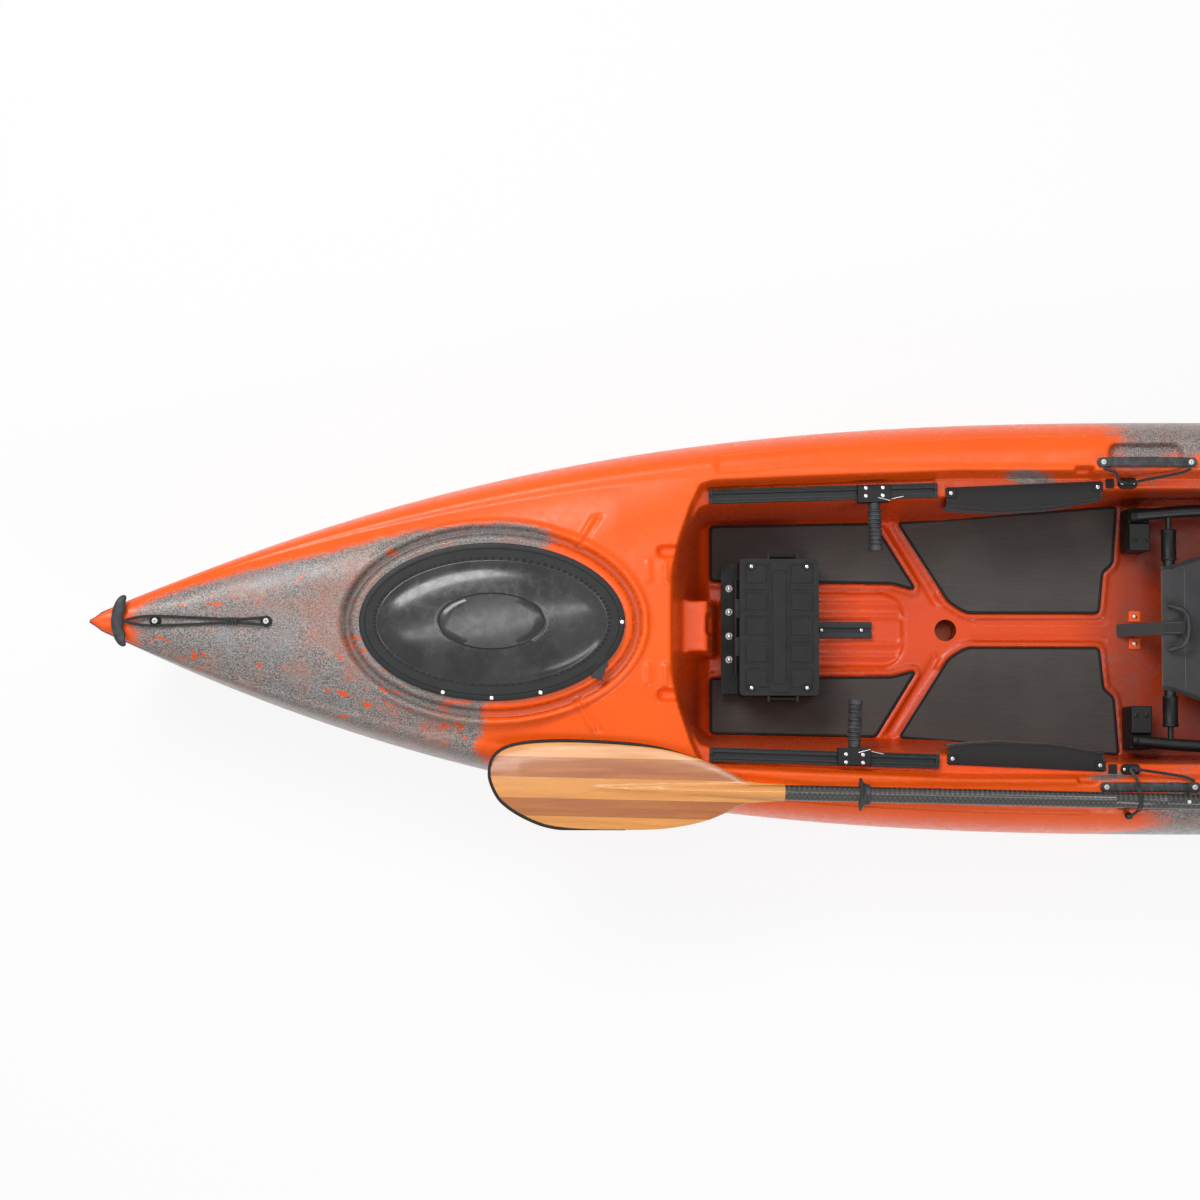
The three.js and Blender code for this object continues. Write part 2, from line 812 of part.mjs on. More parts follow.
function hatchBoss(inset) {
  const reach = hatch.groove + hatch.lip - inset;
  const top = inset === 0 ? hatchTop : hatchTop - hatch.grooveDepth - inset;
  const boss = ovalPrism(coaming.a + reach, coaming.b + reach, hull.sheer - overrun, top, hatch.sides);
  return boss.translate(hatch.x, 0, 0);
}

// The groove round the coaming, and all that stands above the coaming's top face.
function hatchGroove() {
  const bottom = hatchTop - hatch.grooveDepth;
  const outer = ovalPrism(coaming.a + hatch.groove, coaming.b + hatch.groove, bottom, roof, hatch.sides);
  const inner = ovalPrism(coaming.a, coaming.b, bottom - overrun, hatchTop, hatch.sides);
  return solid(outer.translate(hatch.x, 0, 0)).subtract(solid(inner.translate(hatch.x, 0, 0)));
}

const hatchOpening = { a: hatch.length / 2 - hatch.openingInset, b: hatch.width / 2 - hatch.openingInset };

function hatchHole() {
  const hole = ovalPrism(hatchOpening.a, hatchOpening.b, hull.sheer - 2 * overrun, roof, hatch.sides);
  return solid(hole.translate(hatch.x, 0, 0));
}

// A pair of creases that point away from the hatch.
function creases() {
  const x = placeOf(crease);
  const top = deckZ(x, crease.y) + crease.height;
  const ridge = prism(rectangle(crease.length / 2, crease.width / 2), top - crease.root, top)
    .rotateZ(crease.leanAngle * degree)
    .translate(x, crease.y, 0);
  return joined(ridge, ridge.clone().scale(1, -1, 1));
}

// Places on the deck where something is screwed down: [x, y].
const endFittings = [-1, 1].flatMap((end) => [
  [end * (halfLength - toggle.fromTip), 0],
  [end * (halfLength - toggle.eyeFromTip), 0],
  [end * anchorX, 0],
]);
const handleFeet = [-1, 1].flatMap((side) => [-1, 1].map((end) => (
  [placeOf(handle) + (end * (handle.length - handle.foot)) / 2, side * out.handle]
)));
const rodPlaces = [-1, 1].map((side) => [rodX, side * out.rodHolder]);

function landingTop([x, y]) {
  return deckZ(x, y) + landing.proud;
}

function landings() {
  const post = (radius) => ([x, y]) => {
    const centre = [x, y, landingTop([x, y]) - landing.root / 2];
    return cylinder('z', radius, landing.root, centre, landing.sides);
  };
  const small = [...endFittings, ...handleFeet].map(post(landing.radius));
  return joined(...small, ...rodPlaces.map(post(rodHolder.flange + slack)));
}

function plugTop() {
  return deckZ(plugX, 0) + landing.proud;
}

function plugBoss(grow) {
  const height = plug.shankLength + plug.boss;
  const place = [plugX, 0, plugTop() - height / 2];
  return solid(cylinder('z', plug.head + slack + grow, height + 2 * grow, place, landing.sides));
}

function plugHole() {
  return solid(cylinder('z', plug.shank + slack, roof, [plugX, 0, plugTop()], plug.sides));
}

function rodTube(radius, extra) {
  const tubeLength = rodHolder.depth + extra;
  const geometry = cylinder('z', radius, tubeLength, [0, 0, -tubeLength / 2 + extra], rodHolder.sides);
  return geometry.rotateY(rodHolder.leanAngle * degree);
}

// Eyes for the tank well lacing, moulded in one with the deck: half rings that stand along X.
function lacingPlaces() {
  const from = tank.front + lacing.fromFront;
  const run = tank.length - lacing.fromFront - lacing.fromEnd;
  return Array.from({ length: lacingEyeCount }, (_, i) => {
    const x = from + run * (i / (lacingEyeCount - 1));
    const side = i % 2 === 0 ? 1 : -1;
    const rims = tankShares.map((row) => [row[0], row[5]]);
    const rim = readShares(rims, (x - tank.front) / tank.length) * halfBreadth;
    return { x, y: side * (rim + lacing.outset) };
  });
}

function lacingEyes() {
  return joined(...lacingPlaces().map(({ x, y }) => {
    const base = deckZ(x, y) - lacing.eyeTube;
    const arch = [
      [x, y - lacing.eyeRadius, base - lacing.eyeTube],
      [x, y - lacing.eyeRadius, base + lacing.eyeTube],
      [x, y, base + lacing.eyeRadius + lacing.eyeTube * 2],
      [x, y + lacing.eyeRadius, base + lacing.eyeTube],
      [x, y + lacing.eyeRadius, base - lacing.eyeTube],
    ];
    return tube(pathThrough(arch), lacing.eyeTube, cordSides);
  }));
}

// Everything above the seam: the side view of the sheer drawn across the beam.
function aboveSeam(grow) {
  const within = (x) => Math.max(-halfLength, Math.min(halfLength, x));
  const stations = bothWays(stationShares).map((s) => s * (halfLength + overrun));
  const line = stations.map((x) => [x, sheerZ(within(x)) - hull.seamDrop - grow]);
  const outline = [...line, [halfLength + overrun, roof * 2], [-halfLength - overrun, roof * 2]];
  return solid(alongY(outline, -hull.beam, hull.beam));
}

function shells() {
  const { wall } = hull;
  const skin = hullSkin()
    .add(solid(hatchBoss(0)))
    .add(landings())
    .add(creases())
    .add(plugBoss(0))
    .add(cleat());
  const hollow = hullHollow()
    .add(solid(hatchBoss(wall)))
    .subtract(cockpit(wall))
    .subtract(pocket(tank, tankShares, wall))
    .subtract(handScoops(wall))
    .subtract(scuppers(wall))
    .subtract(plugBoss(0));
  let shell = skin.subtract(hollow)
    .subtract(cockpit(0))
    .subtract(pocket(tank, tankShares, 0))
    .subtract(handScoops(0))
    .subtract(scuppers(0))
    .subtract(hatchGroove())
    .subtract(hatchHole())
    .subtract(plugHole());
  for (const [x, y] of rodPlaces) {
    const hole = rodTube(rodHolder.bore + rodHolder.wall + gap, overrun);
    shell = shell.subtract(solid(hole.translate(x, y, landingTop([x, y]))));
  }
  const upper = (grow) => aboveSeam(grow)
    .add(cockpit(wall + grow))
    .add(pocket(tank, tankShares, wall + grow))
    .add(handScoops(wall + grow))
    .add(plugBoss(grow));
  const deck = shell.intersect(upper(gap)).add(lacingEyes());
  return { ...deckParts(deck), hull_shell: shell.subtract(upper(2 * gap)) };
}

// The deck parted at both ends of the cockpit, round its floor and along its middle line.
function deckParts(deck) {
  const bow = well.front - parting.ahead;
  const stern = tank.front - parting.behind;
  const level = well.floor + parting.above;
  const half = gap / 2;
  const { length, beam } = hull;
  const part = (low, high) => deck.intersect(solid(boxBetween(low, high)));
  return {
    deck_bow: part([-length, -beam, 0], [bow - half, beam, beam]),
    deck_stern: part([stern + half, -beam, 0], [length, beam, beam]),
    cockpit_floor: part([bow + half, -beam, 0], [stern - half, beam, level - half]),
    cockpit_side_starboard: part([bow + half, half, level + half], [stern - half, beam, beam]),
    cockpit_side_port: part([bow + half, -beam, level + half], [stern - half, -half, beam]),
  };
}

// Scene building.

const kayak = new THREE.Group();

const finish = {
  orange: { color: 0xfb743c, roughness: 0.32, metalness: 0 },
  hullOrange: { color: 0xd9571f, roughness: 0.36, metalness: 0 },
  padGrey: { color: 0x403b38, roughness: 0.9, metalness: 0 },
  blackPlastic: { color: 0x262729, roughness: 0.5, metalness: 0 },
  hatchBlack: { color: 0x3a3a3b, roughness: 0.22, metalness: 0 },
  rubber: { color: 0x1c1d1f, roughness: 0.8, metalness: 0 },
  aluminium: { color: 0x2c2e30, roughness: 0.42, metalness: 0.8 },
  steel: { color: 0xc9cacb, roughness: 0.3, metalness: 1 },
  wood: { color: 0xc8814a, roughness: 0.35, metalness: 0 },
  carbon: { color: 0x4a4a48, roughness: 0.3, metalness: 0.1 },
  fabric: { color: 0x55565a, roughness: 0.95, metalness: 0 },
  mesh: { color: 0x1e1f20, roughness: 0.95, metalness: 0 },
  webbing: { color: 0x161718, roughness: 0.9, metalness: 0 },
  whitePlastic: { color: 0xe8e8e4, roughness: 0.4, metalness: 0 },
};
const bothSides = [['starboard', 1], ['port', -1]];

function add(parent, name, shape, look) {
  const geometry = shape.isBufferGeometry ? shape : geometryOf(shape);
  const mesh = new THREE.Mesh(geometry, new THREE.MeshStandardMaterial(finish[look]));
  mesh.name = name;
  parent.add(mesh);
  return mesh;
}

function groupAt(x, y, z, yawAngle = 0) {
  const group = new THREE.Group();
  group.position.set(x, y, z);
  group.rotation.z = yawAngle * degree;
  kayak.add(group);
  return group;
}

function addHull() {
  for (const [name, shell] of Object.entries(shells())) {
    add(kayak, name, shell, name === 'hull_shell' ? 'hullOrange' : 'orange');
  }
  const group = groupAt(plugX, 0, plugTop() + gap);
  const head = cylinder('z', plug.head, plug.headHeight, [0, 0, plug.headHeight / 2], plug.sides);
  const shankCentre = [0, 0, gap - plug.shankLength / 2];
  const shank = cylinder('z', plug.shank, plug.shankLength, shankCentre, plug.sides);
  const bar = boxBetween(
    [plug.grip - plug.head, -plug.grip / 2, 0],
    [plug.head - plug.grip, plug.grip / 2, plug.headHeight + plug.grip],
  );
  add(group, 'drain_plug', joined(head, shank, bar), 'blackPlastic');
}

// Hatch pieces, about the middle of the coaming's top face.
function addHatch() {
  const group = groupAt(hatch.x, 0, hatchTop);
  const lid = { a: hatch.length / 2, b: hatch.width / 2 };
  const flangeTop = gap + hatch.rimFlange;
  const sealTop = flangeTop + hatch.seal;
  const inside = { a: hatchOpening.a - gap, b: hatchOpening.b - gap };
  const shrink = (oval, by, z) => ({ a: oval.a - by, b: oval.b - by, z });
  const rim = [
    shrink(lid, hatch.lidEdge, gap),
    shrink(lid, hatch.lidEdge, flangeTop),
    shrink(lid, 2 * hatch.lidEdge, flangeTop),
    shrink(lid, 2 * hatch.lidEdge, sealTop),
    shrink(inside, 0, sealTop),
    shrink(inside, 0, flangeTop),
    shrink(inside, hatch.rimWall, flangeTop),
    shrink(inside, hatch.rimWall, -hatch.rimDrop),
    shrink(inside, 0, -hatch.rimDrop),
    shrink(inside, 0, gap),
  ];
  add(group, 'hatch_rim', ovalLoft(rim, hatch.sides, true), 'blackPlastic');

  const under = sealTop + gap;
  const edgeTop = under + hatch.lidEdge;
  const dome = shrink(lid, hatch.flangeWidth, 0);
  const insideShare = 1 - hatch.lidWall / dome.b;
  const scaled = (share, z) => ({ a: dome.a * share, b: dome.b * share, z });
  const domeTop = (up) => edgeTop + up * hatch.dome;
  const top = [
    ...domeShares.map(([share, up]) => scaled(share, domeTop(up))),
    ...embossShares.map(([share, up]) => scaled(share, domeTop(up) + hatch.emboss)),
  ].reverse();
  const edge = [
    shrink(lid, hatch.lidBevel, edgeTop), shrink(lid, 0, edgeTop - hatch.lidBevel), shrink(lid, 0, under),
  ];
  const below = [
    scaled(insideShare, under),
    ...domeShares.map(([share, up]) => scaled(share * insideShare, domeTop(up) - hatch.lidWall)),
    scaled(0, domeTop(1) - hatch.lidWall),
  ];
  const shell = ovalLoft([...top, ...edge, ...below], hatch.sides);
  const turn = tab.angle * degree;
  const [tabX, tabY] = [lid.a * Math.cos(turn), lid.b * Math.sin(turn)];
  const grip = boxBetween(
    [tabX - tab.length / 2, tabY - tab.width / 2, under],
    [tabX + tab.length / 2, tabY + tab.width / 2, under + tab.height],
  );
  add(group, 'hatch_lid', joined(shell, grip), 'hatchBlack');
}

// Half width of the cockpit at a station, by its column in the table.
function wellHalf(x, column) {
  const rows = wellShares.map((row) => [row[0], row[column]]);
  return readShares(rows, (x - well.front) / well.length) * halfBreadth;
}

// Height of the hull's faceted side at a station, out to its full beam.
function gunwaleZ(x, y) {
  const widest = keelZ(x) + (sheerZ(x) - keelZ(x)) * hullShares.widest;
  const ring = section(x, 0).filter(([, across, z]) => across >= 0 && z >= widest);
  const table = ring.map(([, across, z]) => [across, z]).sort((p, q) => p[0] - q[0]);
  return readShares(table, Math.abs(y));
}

// A carry handle, laid out inboard from the tip of the hull: x is the distance from the tip.
function addToggle(name, end) {
  const tip = end * halfLength;
  const group = groupAt(tip, 0, 0, end < 0 ? 0 : 180);
  const top = (fromTip) => landingTop([tip - end * fromTip, 0]);
  const half = toggle.span / 2;
  const centreZ = top(toggle.fromTip) + gap + toggle.height / 2;
  const gripRings = Array.from({ length: gripSteps + 1 }, (_, i) => {
    const along = (i / gripSteps) * 2 - 1;
    const full = Math.sqrt(Math.max(toggleShares.blunt, 1 - along ** toggleShares.taperPower));
    const wave = toggle.wave * Math.cos(along * Math.PI * toggleShares.waves);
    const x = toggle.fromTip - toggle.bow * Math.cos((along * Math.PI) / 2);
    return Array.from({ length: smallSides }, (__, j) => {
      const turn = (j / smallSides) * Math.PI * 2;
      const reach = (toggle.width / 2) * full * Math.cos(turn);
      const finger = reach > 0 ? wave * Math.cos(turn) : 0;
      return [x + reach + finger, along * half, centreZ + (toggle.height / 2) * full * Math.sin(turn)];
    });
  });
  add(group, `${name}_handle_grip`, solid(loft(gripRings, (p) => [p[0], p[2]])), 'rubber');

  const radius = toggle.cord / 2;
  const cordZ = eye.base + gap + radius;
  const hinge = toggle.eyeFromTip;
  const hingeZ = top(hinge) + cordZ;
  const bend = toggle.fromTip - toggle.bow + toggle.width / 2 + toggle.wave + gap + radius;
  const legX = (bend + hinge) / 2;
  const legY = toggle.spread * toggleShares.bend;
  const leader = curveThrough([
    [hinge - gap, toggle.spread, hingeZ],
    [legX, legY, hingeZ + toggle.lift],
    [bend, 0, centreZ],
    [legX, -legY, hingeZ + toggle.lift],
    [hinge - gap, -toggle.spread, hingeZ],
  ]);
  add(group, `${name}_handle_leader`, solid(tube(leader, radius, cordSides, leaderSteps)), 'webbing');

  const anchor = toggle.anchorFromTip;
  const anchorZ = top(anchor) + cordZ;
  const wrap = eye.post + 2 * gap + radius;
  const knot = toggle.knotFromTip;
  const rest = (fromTip) => deckZ(tip - end * fromTip, 0) + radius + toggle.lift;
  const knotZ = deckZ(tip - end * knot, 0) + toggle.knotRadius + slack;
  const middle = (hinge + knot) / 2;
  const strand = [
    [hinge + gap, toggle.spread, hingeZ],
    [middle, (toggle.spread + toggle.close) / 2, Math.max(rest(middle), (hingeZ + knotZ) / 2)],
    [knot, toggle.close, knotZ],
    [knot + toggle.knotLength, toggle.close, (knotZ + anchorZ) / 2 + toggle.lift],
  ];
  const round = arcPoints([anchor, 0, anchorZ], wrap, wrapAngle, -wrapAngle, wrapSteps,
    ([x, y, z], u, v) => [x + u, y + v, z]);
  const back = strand.map(([x, y, z]) => [x, -y, z]).reverse();
  const line = tube(pathThrough([...strand, ...round, ...back]), radius, cordSides);
  const turns = knotTurns * 2;
  const barrel = Array.from({ length: turns + 1 }, (_, i) => (
    [i % 2 === 0 ? toggle.knotWaist : toggle.knotRadius, (i / turns) * toggle.knotLength]
  ));
  const knotBody = turned([[0, 0], ...barrel, [0, toggle.knotLength]], smallSides);
  knotBody.rotateY(Math.PI / 2).translate(knot - toggle.knotLength / 2, 0, knotZ);
  add(group, `${name}_handle_cord`, joined(line, knotBody), 'webbing');

  const headLow = eye.base + toggle.cord + 2 * gap;
  const headTop = headLow + eye.headHeight;
  const spool = [
    [0, 0], [eye.radius, 0], [eye.radius, eye.base], [eye.post, eye.base], [eye.post, headLow],
    [eye.head, headLow], [eye.head / 2, headTop], [0, headTop],
  ];
  for (const [part, fromTip] of [['front', hinge], ['rear', anchor]]) {
    const mesh = add(group, `${name}_eye_${part}`, turned(spool, smallSides), 'blackPlastic');
    mesh.position.set(fromTip, 0, top(fromTip) + gap);
  }
}

function addFloor() {
  const level = well.floor + gap;
  const shapes = { front: frontPadShares, rear: rearPadShares };
  for (const [place, shares] of Object.entries(shapes)) {
    const corners = shares.map(([u, v]) => [placeOf(pad) + u * padLength, v * out.pad]);
    const starboard = prism(rounded(corners, pad.corner), level, level + pad.thickness);
    add(kayak, `floor_pad_${place}_starboard`, solid(starboard), 'padGrey');
    add(kayak, `floor_pad_${place}_port`, mirroredY(starboard), 'padGrey');
  }
  const group = groupAt(placeOf(track), 0, well.floor - strip.depth + gap);
  add(group, 'centre_track', solid(alongX(slotted(track, []), 0, track.length)), 'aluminium');
}

// Section of a slotted rail, as points of [across, height], with shallow grooves in its top.
function slotted(rail, grooves) {
  const half = rail.width / 2;
  const { height, slot, hollow, lip } = rail;
  const right = grooves.flatMap((at) => [
    [at + rail.groove / 2, height], [at + rail.groove / 2, height - rail.groove / 2],
    [at - rail.groove / 2, height - rail.groove / 2], [at - rail.groove / 2, height],
  ]);
  const side = [
    [half, 0], [half, height], ...right, [slot / 2, height], [slot / 2, height - lip],
    [hollow / 2, height - lip], [hollow / 2, lip],
  ];
  return [...side, ...side.map(([y, z]) => [-y, z]).reverse()];
}

// A foot brace. Built for starboard and mirrored for port; x runs along the rail.
function addBrace(name, side, at) {
  const group = groupAt(placeOf(brace), side * out.brace, well.ledge + gap, side * brace.splayAngle);
  const turnSide = (made) => (side > 0 ? made : mirroredY(geometryOf(made)));
  const inner = brace.length / 2 - brace.cap;
  const half = brace.width / 2;
  const rail = alongX(slotted(brace, [brace.grooveAt]), -inner, inner);
  const caps = [-1, 1].map((end) => boxBetween(
    [end * inner, -half, 0],
    [end * (inner + brace.cap), half, brace.height + brace.capProud],
  ));
  add(group, `foot_rail_${name}`, turnSide(joined(rail, ...caps)), 'aluminium');

  const [from, to] = [at - brace.carriageLength / 2, at + brace.carriageLength / 2];
  const plateLow = brace.height + slack;
  const plateTop = plateLow + brace.plate;
  const reach = half + brace.overhang;
  const plate = boxBetween([from, -reach, plateLow], [to, half - slack, plateTop]);
  const skirt = boxBetween([from, -reach, -brace.skirtReach], [to, brace.skirt - reach, plateTop]);
  const stem = boxBetween(
    [from, slack - brace.slot / 2, brace.height / 2],
    [to, brace.slot / 2 - slack, plateTop],
  );
  const nut = boxBetween(
    [from, slack - brace.hollow / 2, brace.lip + slack],
    [to, brace.hollow / 2 - slack, brace.height - brace.lip - slack],
  );
  const pegZ = plateTop - peg.radius;
  const face = -reach - gap;
  const pinCentre = [at, face - (peg.pinLength - brace.skirt) / 2, pegZ];
  const pin = cylinder('y', peg.pin, peg.pinLength + brace.skirt, pinCentre, smallSides);
  add(group, `foot_carriage_${name}`, turnSide(joined(plate, skirt, stem, nut, pin)), 'blackPlastic');

  const ribbed = peg.length - peg.neck - peg.cap;
  const steps = pegRibs * 2;
  const ribs = Array.from({ length: steps }, (_, i) => (
    [i % 2 === 0 ? peg.radius : peg.core, peg.neck + (ribbed * (2 * i + 1)) / (2 * steps)]
  ));
  const profile = [
    [0, peg.pinLength + gap], [peg.pin + slack, peg.pinLength + gap], [peg.pin + slack, 0], [peg.core, 0],
    [peg.core, peg.neck], ...ribs, [peg.radius, peg.length - peg.cap], [peg.radius, peg.length - gap],
    [peg.core, peg.length], [0, peg.length],
  ];
  const grip = turned(profile, peg.sides).rotateX(Math.PI / 2).translate(at, face, pegZ);
  add(group, `foot_peg_${name}`, turnSide(solid(grip)), 'rubber');
}

// Tackle box, about the middle of its bottom.
function addBox() {
  const group = groupAt(placeOf(box), 0, box.bottom);
  const halfX = box.width / 2;
  const halfY = box.length / 2;
  const outline = (inset) => rounded(rectangle(halfX - inset, halfY - inset), box.corner);
  const bin = solid(prism(outline(0), 0, box.height))
    .subtract(solid(prism(outline(box.wall), box.floor, box.height + overrun)));
  const ledge = boxBetween(
    [-halfX - box.ledge, box.ledgeInset - halfY, 0],
    [box.wall - halfX, halfY - box.ledgeInset, box.ledgeThick],
  );
  const ribRun = box.length - 2 * box.ledge;
  const ribs = Array.from({ length: boxRibs }, (_, i) => {
    const y = (i / (boxRibs - 1)) * ribRun - ribRun / 2;
    return boxBetween(
      [halfX - box.wall, y - box.rib / 2, box.floor],
      [halfX + box.rib, y + box.rib / 2, box.height - box.rib],
    );
  });

  // The hinge: knuckles of the base and the lid by turns, round one pin.
  const hingeX = -halfX - box.knuckle - gap;
  const hingeZ = box.height + gap / 2;
  const span = (box.length * boxShares.hinge) / hingeSpans;
  const turnsOf = (odd) => Array.from({ length: hingeSpans }, (_, i) => i)
    .filter((i) => i % 2 === odd)
    .map((i) => (i - (hingeSpans - 1) / 2) * span);
  const knuckles = (odd, up) => joined(...turnsOf(odd).flatMap((y) => {
    const long = span - 2 * slack;
    return [
      cylinder('y', box.knuckle, long, [hingeX, y, hingeZ], smallSides),
      boxBetween([hingeX, y - long / 2, hingeZ], [box.wall - halfX, y + long / 2, hingeZ + up * box.knuckle]),
    ];
  }));
  const room = (odd) => joined(...turnsOf(odd).map((y) => (
    cylinder('y', box.knuckle + slack, span, [hingeX, y, hingeZ], roundSides)
  )));
  const bore = solid(cylinder('y', box.pin + gap, box.length, [hingeX, 0, hingeZ], smallSides));
  const pin = solid(cylinder('y', box.pin, span * hingeSpans, [hingeX, 0, hingeZ], smallSides));
  const base = bin.add(joined(ledge, ...ribs)).subtract(room(1)).add(knuckles(0, -1)).add(pin);
  add(group, 'tackle_box_base', base, 'blackPlastic');

  const low = box.height + gap;
  const high = low + box.lidHeight;
  const pitch = (box.length - 2 * box.border) / boxPanelRows;
  const panelHalf = (pitch - box.panelGap) / 2;
  const near = (box.bandWidth + box.panelGap) / 2;
  const far = halfX - box.border - box.panelGap / 2;
  const panels = [-1, 1].flatMap((column) => Array.from({ length: boxPanelRows }, (_, row) => {
    const y = box.border - halfY + row * pitch + pitch / 2;
    return boxBetween(
      [column * near, y - panelHalf, high - box.panelDepth],
      [column * far, y + panelHalf, high + overrun],
    );
  }));
  const shell = solid(prism(outline(0), low, high))
    .subtract(solid(prism(outline(box.wall), low - overrun, high - box.lidTop)))
    .subtract(joined(...panels));
  const band = boxBetween(
    [-box.bandWidth / 2, box.border - halfY, high - gap],
    [box.bandWidth / 2, halfY - box.border, high + box.band],
  );
  const pivotZ = low + box.lidHeight / 2;
  const pivotY = halfY + latch.stand;
  const earHalf = latch.width / 2 + slack;
  const ears = [-1, 1].flatMap((side) => [-1, 1].map((end) => boxBetween(
    [latch.x + end * earHalf, side * (halfY - gap), pivotZ - latch.ear],
    [latch.x + end * (earHalf + latch.earThick), side * (pivotY + latch.ear), pivotZ + latch.ear],
  )));
  const earBores = [-1, 1].map((side) => (
    cylinder('x', latch.pin + gap, box.width / 2, [latch.x, side * pivotY, pivotZ], smallSides)
  ));
  const lid = shell.add(joined(band, ...ears))
    .subtract(joined(...earBores))
    .subtract(room(0))
    .add(knuckles(1, 1))
    .subtract(bore);
  add(group, 'tackle_box_lid', lid, 'blackPlastic');

  for (const [name, side] of bothSides) {
    const pivot = [latch.x, side * pivotY, pivotZ];
    const barrel = cylinder('x', latch.barrel, latch.width, pivot, smallSides);
    const stub = cylinder('x', latch.pin, latch.width + 2 * latch.earThick, pivot, smallSides);
    const plate = boxBetween(
      [latch.x - latch.width / 2, side * (pivotY - latch.thick / 2), pivotZ - latch.length],
      [latch.x + latch.width / 2, side * (pivotY + latch.thick / 2), pivotZ],
    );
    add(group, `tackle_box_latch_${name}`, joined(barrel, stub, plate), 'blackPlastic');
  }

  const trackTop = well.floor - strip.depth + gap + track.height - box.bottom;
  const nutHalf = (foot.length / 2) * boxShares.footNut;
  const rest = boxBetween(
    [-foot.length / 2, -foot.width / 2, trackTop + gap],
    [foot.length / 2, foot.width / 2, -gap],
  );
  const stem = boxBetween(
    [-nutHalf, slack - track.slot / 2, trackTop - track.height / 2],
    [nutHalf, track.slot / 2 - slack, trackTop + 2 * gap],
  );
  const nut = boxBetween(
    [-nutHalf, slack - track.hollow / 2, trackTop - track.height + track.lip + slack],
    [nutHalf, track.hollow / 2 - slack, trackTop - track.lip - slack],
  );
  add(group, 'tackle_box_foot', joined(rest, stem, nut), 'blackPlastic');
}

// Fabric pouches that hang from the cockpit ledges.
function addPouches() {
  const rings = pouchShares.map(([along, full]) => {
    const x = placeOf(pouch) + along * pouch.length;
    const wallHalf = wellHalf(x, wallColumns.wall);
    const wallTop = wallHalf - pouch.inset;
    const lean = (wallHalf - wellHalf(x, wallColumns.floor)) / (well.ledge - well.floor);
    const drop = pouch.depth * (sagShares.shallow + (1 - sagShares.shallow) * full);
    const belly = drop * sagShares.belly;
    const top = well.ledge + gap;
    const bulge = pouch.bulge * full;
    return [
      [x, wallTop + pouch.flap, top],
      [x, wallTop + pouch.flap, top + pouch.flapThick],
      [x, wallTop - bulge * sagShares.lip, top + pouch.flapThick],
      [x, wallTop - lean * belly - bulge, top - belly],
      [x, wallTop - lean * drop - bulge * sagShares.foot, top - drop],
      [x, wallTop - lean * drop, top - drop],
      [x, wallTop, top],
    ];
  });
  const starboard = loft(rings);
  add(kayak, 'side_pouch_starboard', solid(starboard), 'mesh');
  add(kayak, 'side_pouch_port', mirroredY(starboard), 'mesh');
}

function handleLevel() {
  return Math.max(...handleFeet.map((place) => landingTop(place))) + gap;
}

function addSideHandles() {
  const half = handle.length / 2;
  const legs = half - handle.foot;
  const flat = legs - handle.ramp;
  const top = handle.rise + handle.thick;
  const outline = [
    [-half, 0], [-legs, 0], [-flat, handle.rise], [flat, handle.rise], [legs, 0], [half, 0],
    [half, handle.thick], [legs, handle.thick], [flat, top],
    [-flat, top], [-legs, handle.thick], [-half, handle.thick],
  ];
  const boltZ = handle.thick + handle.boltHeight / 2;
  for (const [name, side] of bothSides) {
    const group = groupAt(placeOf(handle), side * out.handle, handleLevel());
    const bar = alongY(outline, -handle.width / 2, handle.width / 2);
    const bolts = [-1, 1].map((end) => cylinder(
      'z', handle.bolt, handle.boltHeight + gap, [end * (half - handle.foot / 2), 0, boltZ], smallSides,
    ));
    add(group, `side_handle_${name}`, joined(bar, ...bolts), 'rubber');
  }
}

